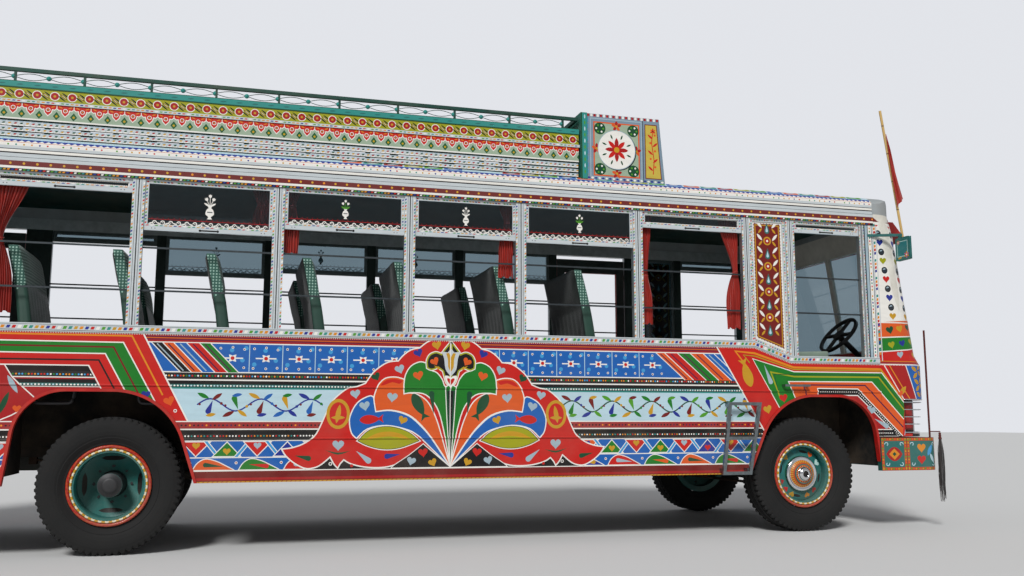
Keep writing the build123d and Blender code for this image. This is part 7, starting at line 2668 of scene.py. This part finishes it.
liner_loop = rect(4813, 868, liner_start + liner_turn + 34, 1178)
liner_art = Mosaic(
    niche_canvas, {"liner": [liner_loop]}, guides_x=[liner_start + 24 * i for i in range(14)],
)
trim_z = 1184
for side, word in ((-1, "right"), (1, "left")):
    liner_art.piece("niche_lining_" + word, "liner", liner_place(side), "coach_body", side > 0)
    trim_line = [side_place(side, 3, False)(x, trim_z) for x in range(4800, side_end_front + 1, 20)]
    trim_line += [end_place(True, 3)(side * y, trim_z) for y in (face_half, 620)]
    tubes("niche_trim_" + word, [trim_line], 6, "coach_body", chrome)
mirror_canvas = Canvas()
mirror_canvas.fill(rect(1200, 2400, 1500, 2800), "teal")
# The dark teal square is the mirror glass in flat paint, a painted reflection of what the glass shows.
mirror_canvas.fill(rect(1296, 2516, 1444, 2664), "ice")
mirror_canvas.fill(rect(1302, 2522, 1438, 2658), "lake")
flower(mirror_canvas, 1424, 2526, 34, 6, ["amber", "pink"], "white")
flower(mirror_canvas, 1314, 2656, 24, 6, ["pink", "gold"], "white")
mirror_canvas.fill(leaf(1330, 2506, 60, 20, 10), "gold")
mirror_loop = smooth([(1272, 2482), (1468, 2482), (1468, 2698), (1272, 2698)], (0, 1, 2, 3))
mirror_art = Mosaic(mirror_canvas, {"plate": [mirror_loop]})
mirror_rear_x, mirror_front_x = 4764, 4788
mirror_lift = 1.4
for side, word in ((-1, "right"), (1, "left")):
    for end, x in (("rear", mirror_rear_x - mirror_lift), ("front", mirror_front_x + mirror_lift)):
        flip = side > 0 if end == "rear" else side < 0
        mirror_art.piece(
            "mirror_%s_%s" % (end, word), "plate", lambda y, z, s=side, x=x: (x, s * y, z), "coach_body",
            flip,
        )

wire_y, wire_z = 1120, 3595
wire_pitch = 245
wave_lines = []
for side in (-1, 1):
    for phase in (0, math.pi):
        wave_lines.append([
            (x, side * wire_y, wire_z + 26 * math.sin((x + 4900) / wire_pitch * math.pi + phase))
            for x in range(-4795, 1481, 35)
        ])
tubes("rack_wires", wave_lines, 3, "coach_body", rack_rail_coat, 5)
boss_points, boss_faces = [], []
boss_profile = [(19, 2), (16, 7), (7, 9), (5, 13)]
boss_sides = 10
boss_turns = [k * 0.6283 for k in range(boss_sides)]
for side in (-1, 1):
    for x in range(-4655, 1480, wire_pitch):
        for way in (-1, 1):
            start = len(boss_points)
            for r, h in boss_profile:
                y = side * wire_y + way * h
                boss_points += [(
                    x + r * math.cos(turn), y, wire_z + r * math.sin(turn),
                ) for turn in boss_turns]
            boss_faces += ring_faces(start, boss_sides, len(boss_profile) - 1)
            boss_faces.append(tuple(range(len(boss_points) - boss_sides, len(boss_points))))
mesh_object("rack_bosses", boss_points, boss_faces, "coach_body", [paint("sea")], soft=True)


# Floor and light

floor_reach = 60
floor_corners = [
    (sx * floor_reach, sy * floor_reach, 0) for sx, sy in ((-1, -1), (1, -1), (1, 1), (-1, 1))
]
floor_mesh = bpy.data.meshes.new("stage_floor")
floor_mesh.from_pydata(floor_corners, [], [(0, 1, 2, 3)])
stage_floor = placed("stage_floor", floor_mesh)
stage_floor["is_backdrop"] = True
g = Graph("stage_floor")
g.set(Base_Color=(0.62, 0.62, 0.61, 1), Roughness=0.9)
stage_floor.data.materials.append(g.material)

# The sky is brighter to the camera than to the surfaces that it lights
sky_light = 0.37
sky_seen_more = 0.45
sun_energy = 2.7
sun_width = 14
sun_tilt, sun_turn = 50, -28
world = bpy.data.worlds.new("studio")
bpy.context.scene.world = world
world.use_nodes = True
tree = world.node_tree
background = tree.nodes["Background"]
path = tree.nodes.new("ShaderNodeLightPath")
seen = tree.nodes.new("ShaderNodeMath")
seen.operation = "MULTIPLY_ADD"
seen.inputs[1].default_value = sky_seen_more
seen.inputs[2].default_value = sky_light
tree.links.new(path.outputs["Is Camera Ray"], seen.inputs[0])
tree.links.new(seen.outputs[0], background.inputs["Strength"])
background.inputs["Color"].default_value = (0.93, 0.95, 1.0, 1)
bpy.context.scene.view_settings.view_transform = "Standard"
sun_data = bpy.data.lights.new("key", "SUN")
sun_data.energy = sun_energy
sun_data.angle = math.radians(sun_width)
placed("key", sun_data, rotation=(math.radians(sun_tilt), 0, math.radians(sun_turn)))

low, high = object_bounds()
list(low)
list(high)
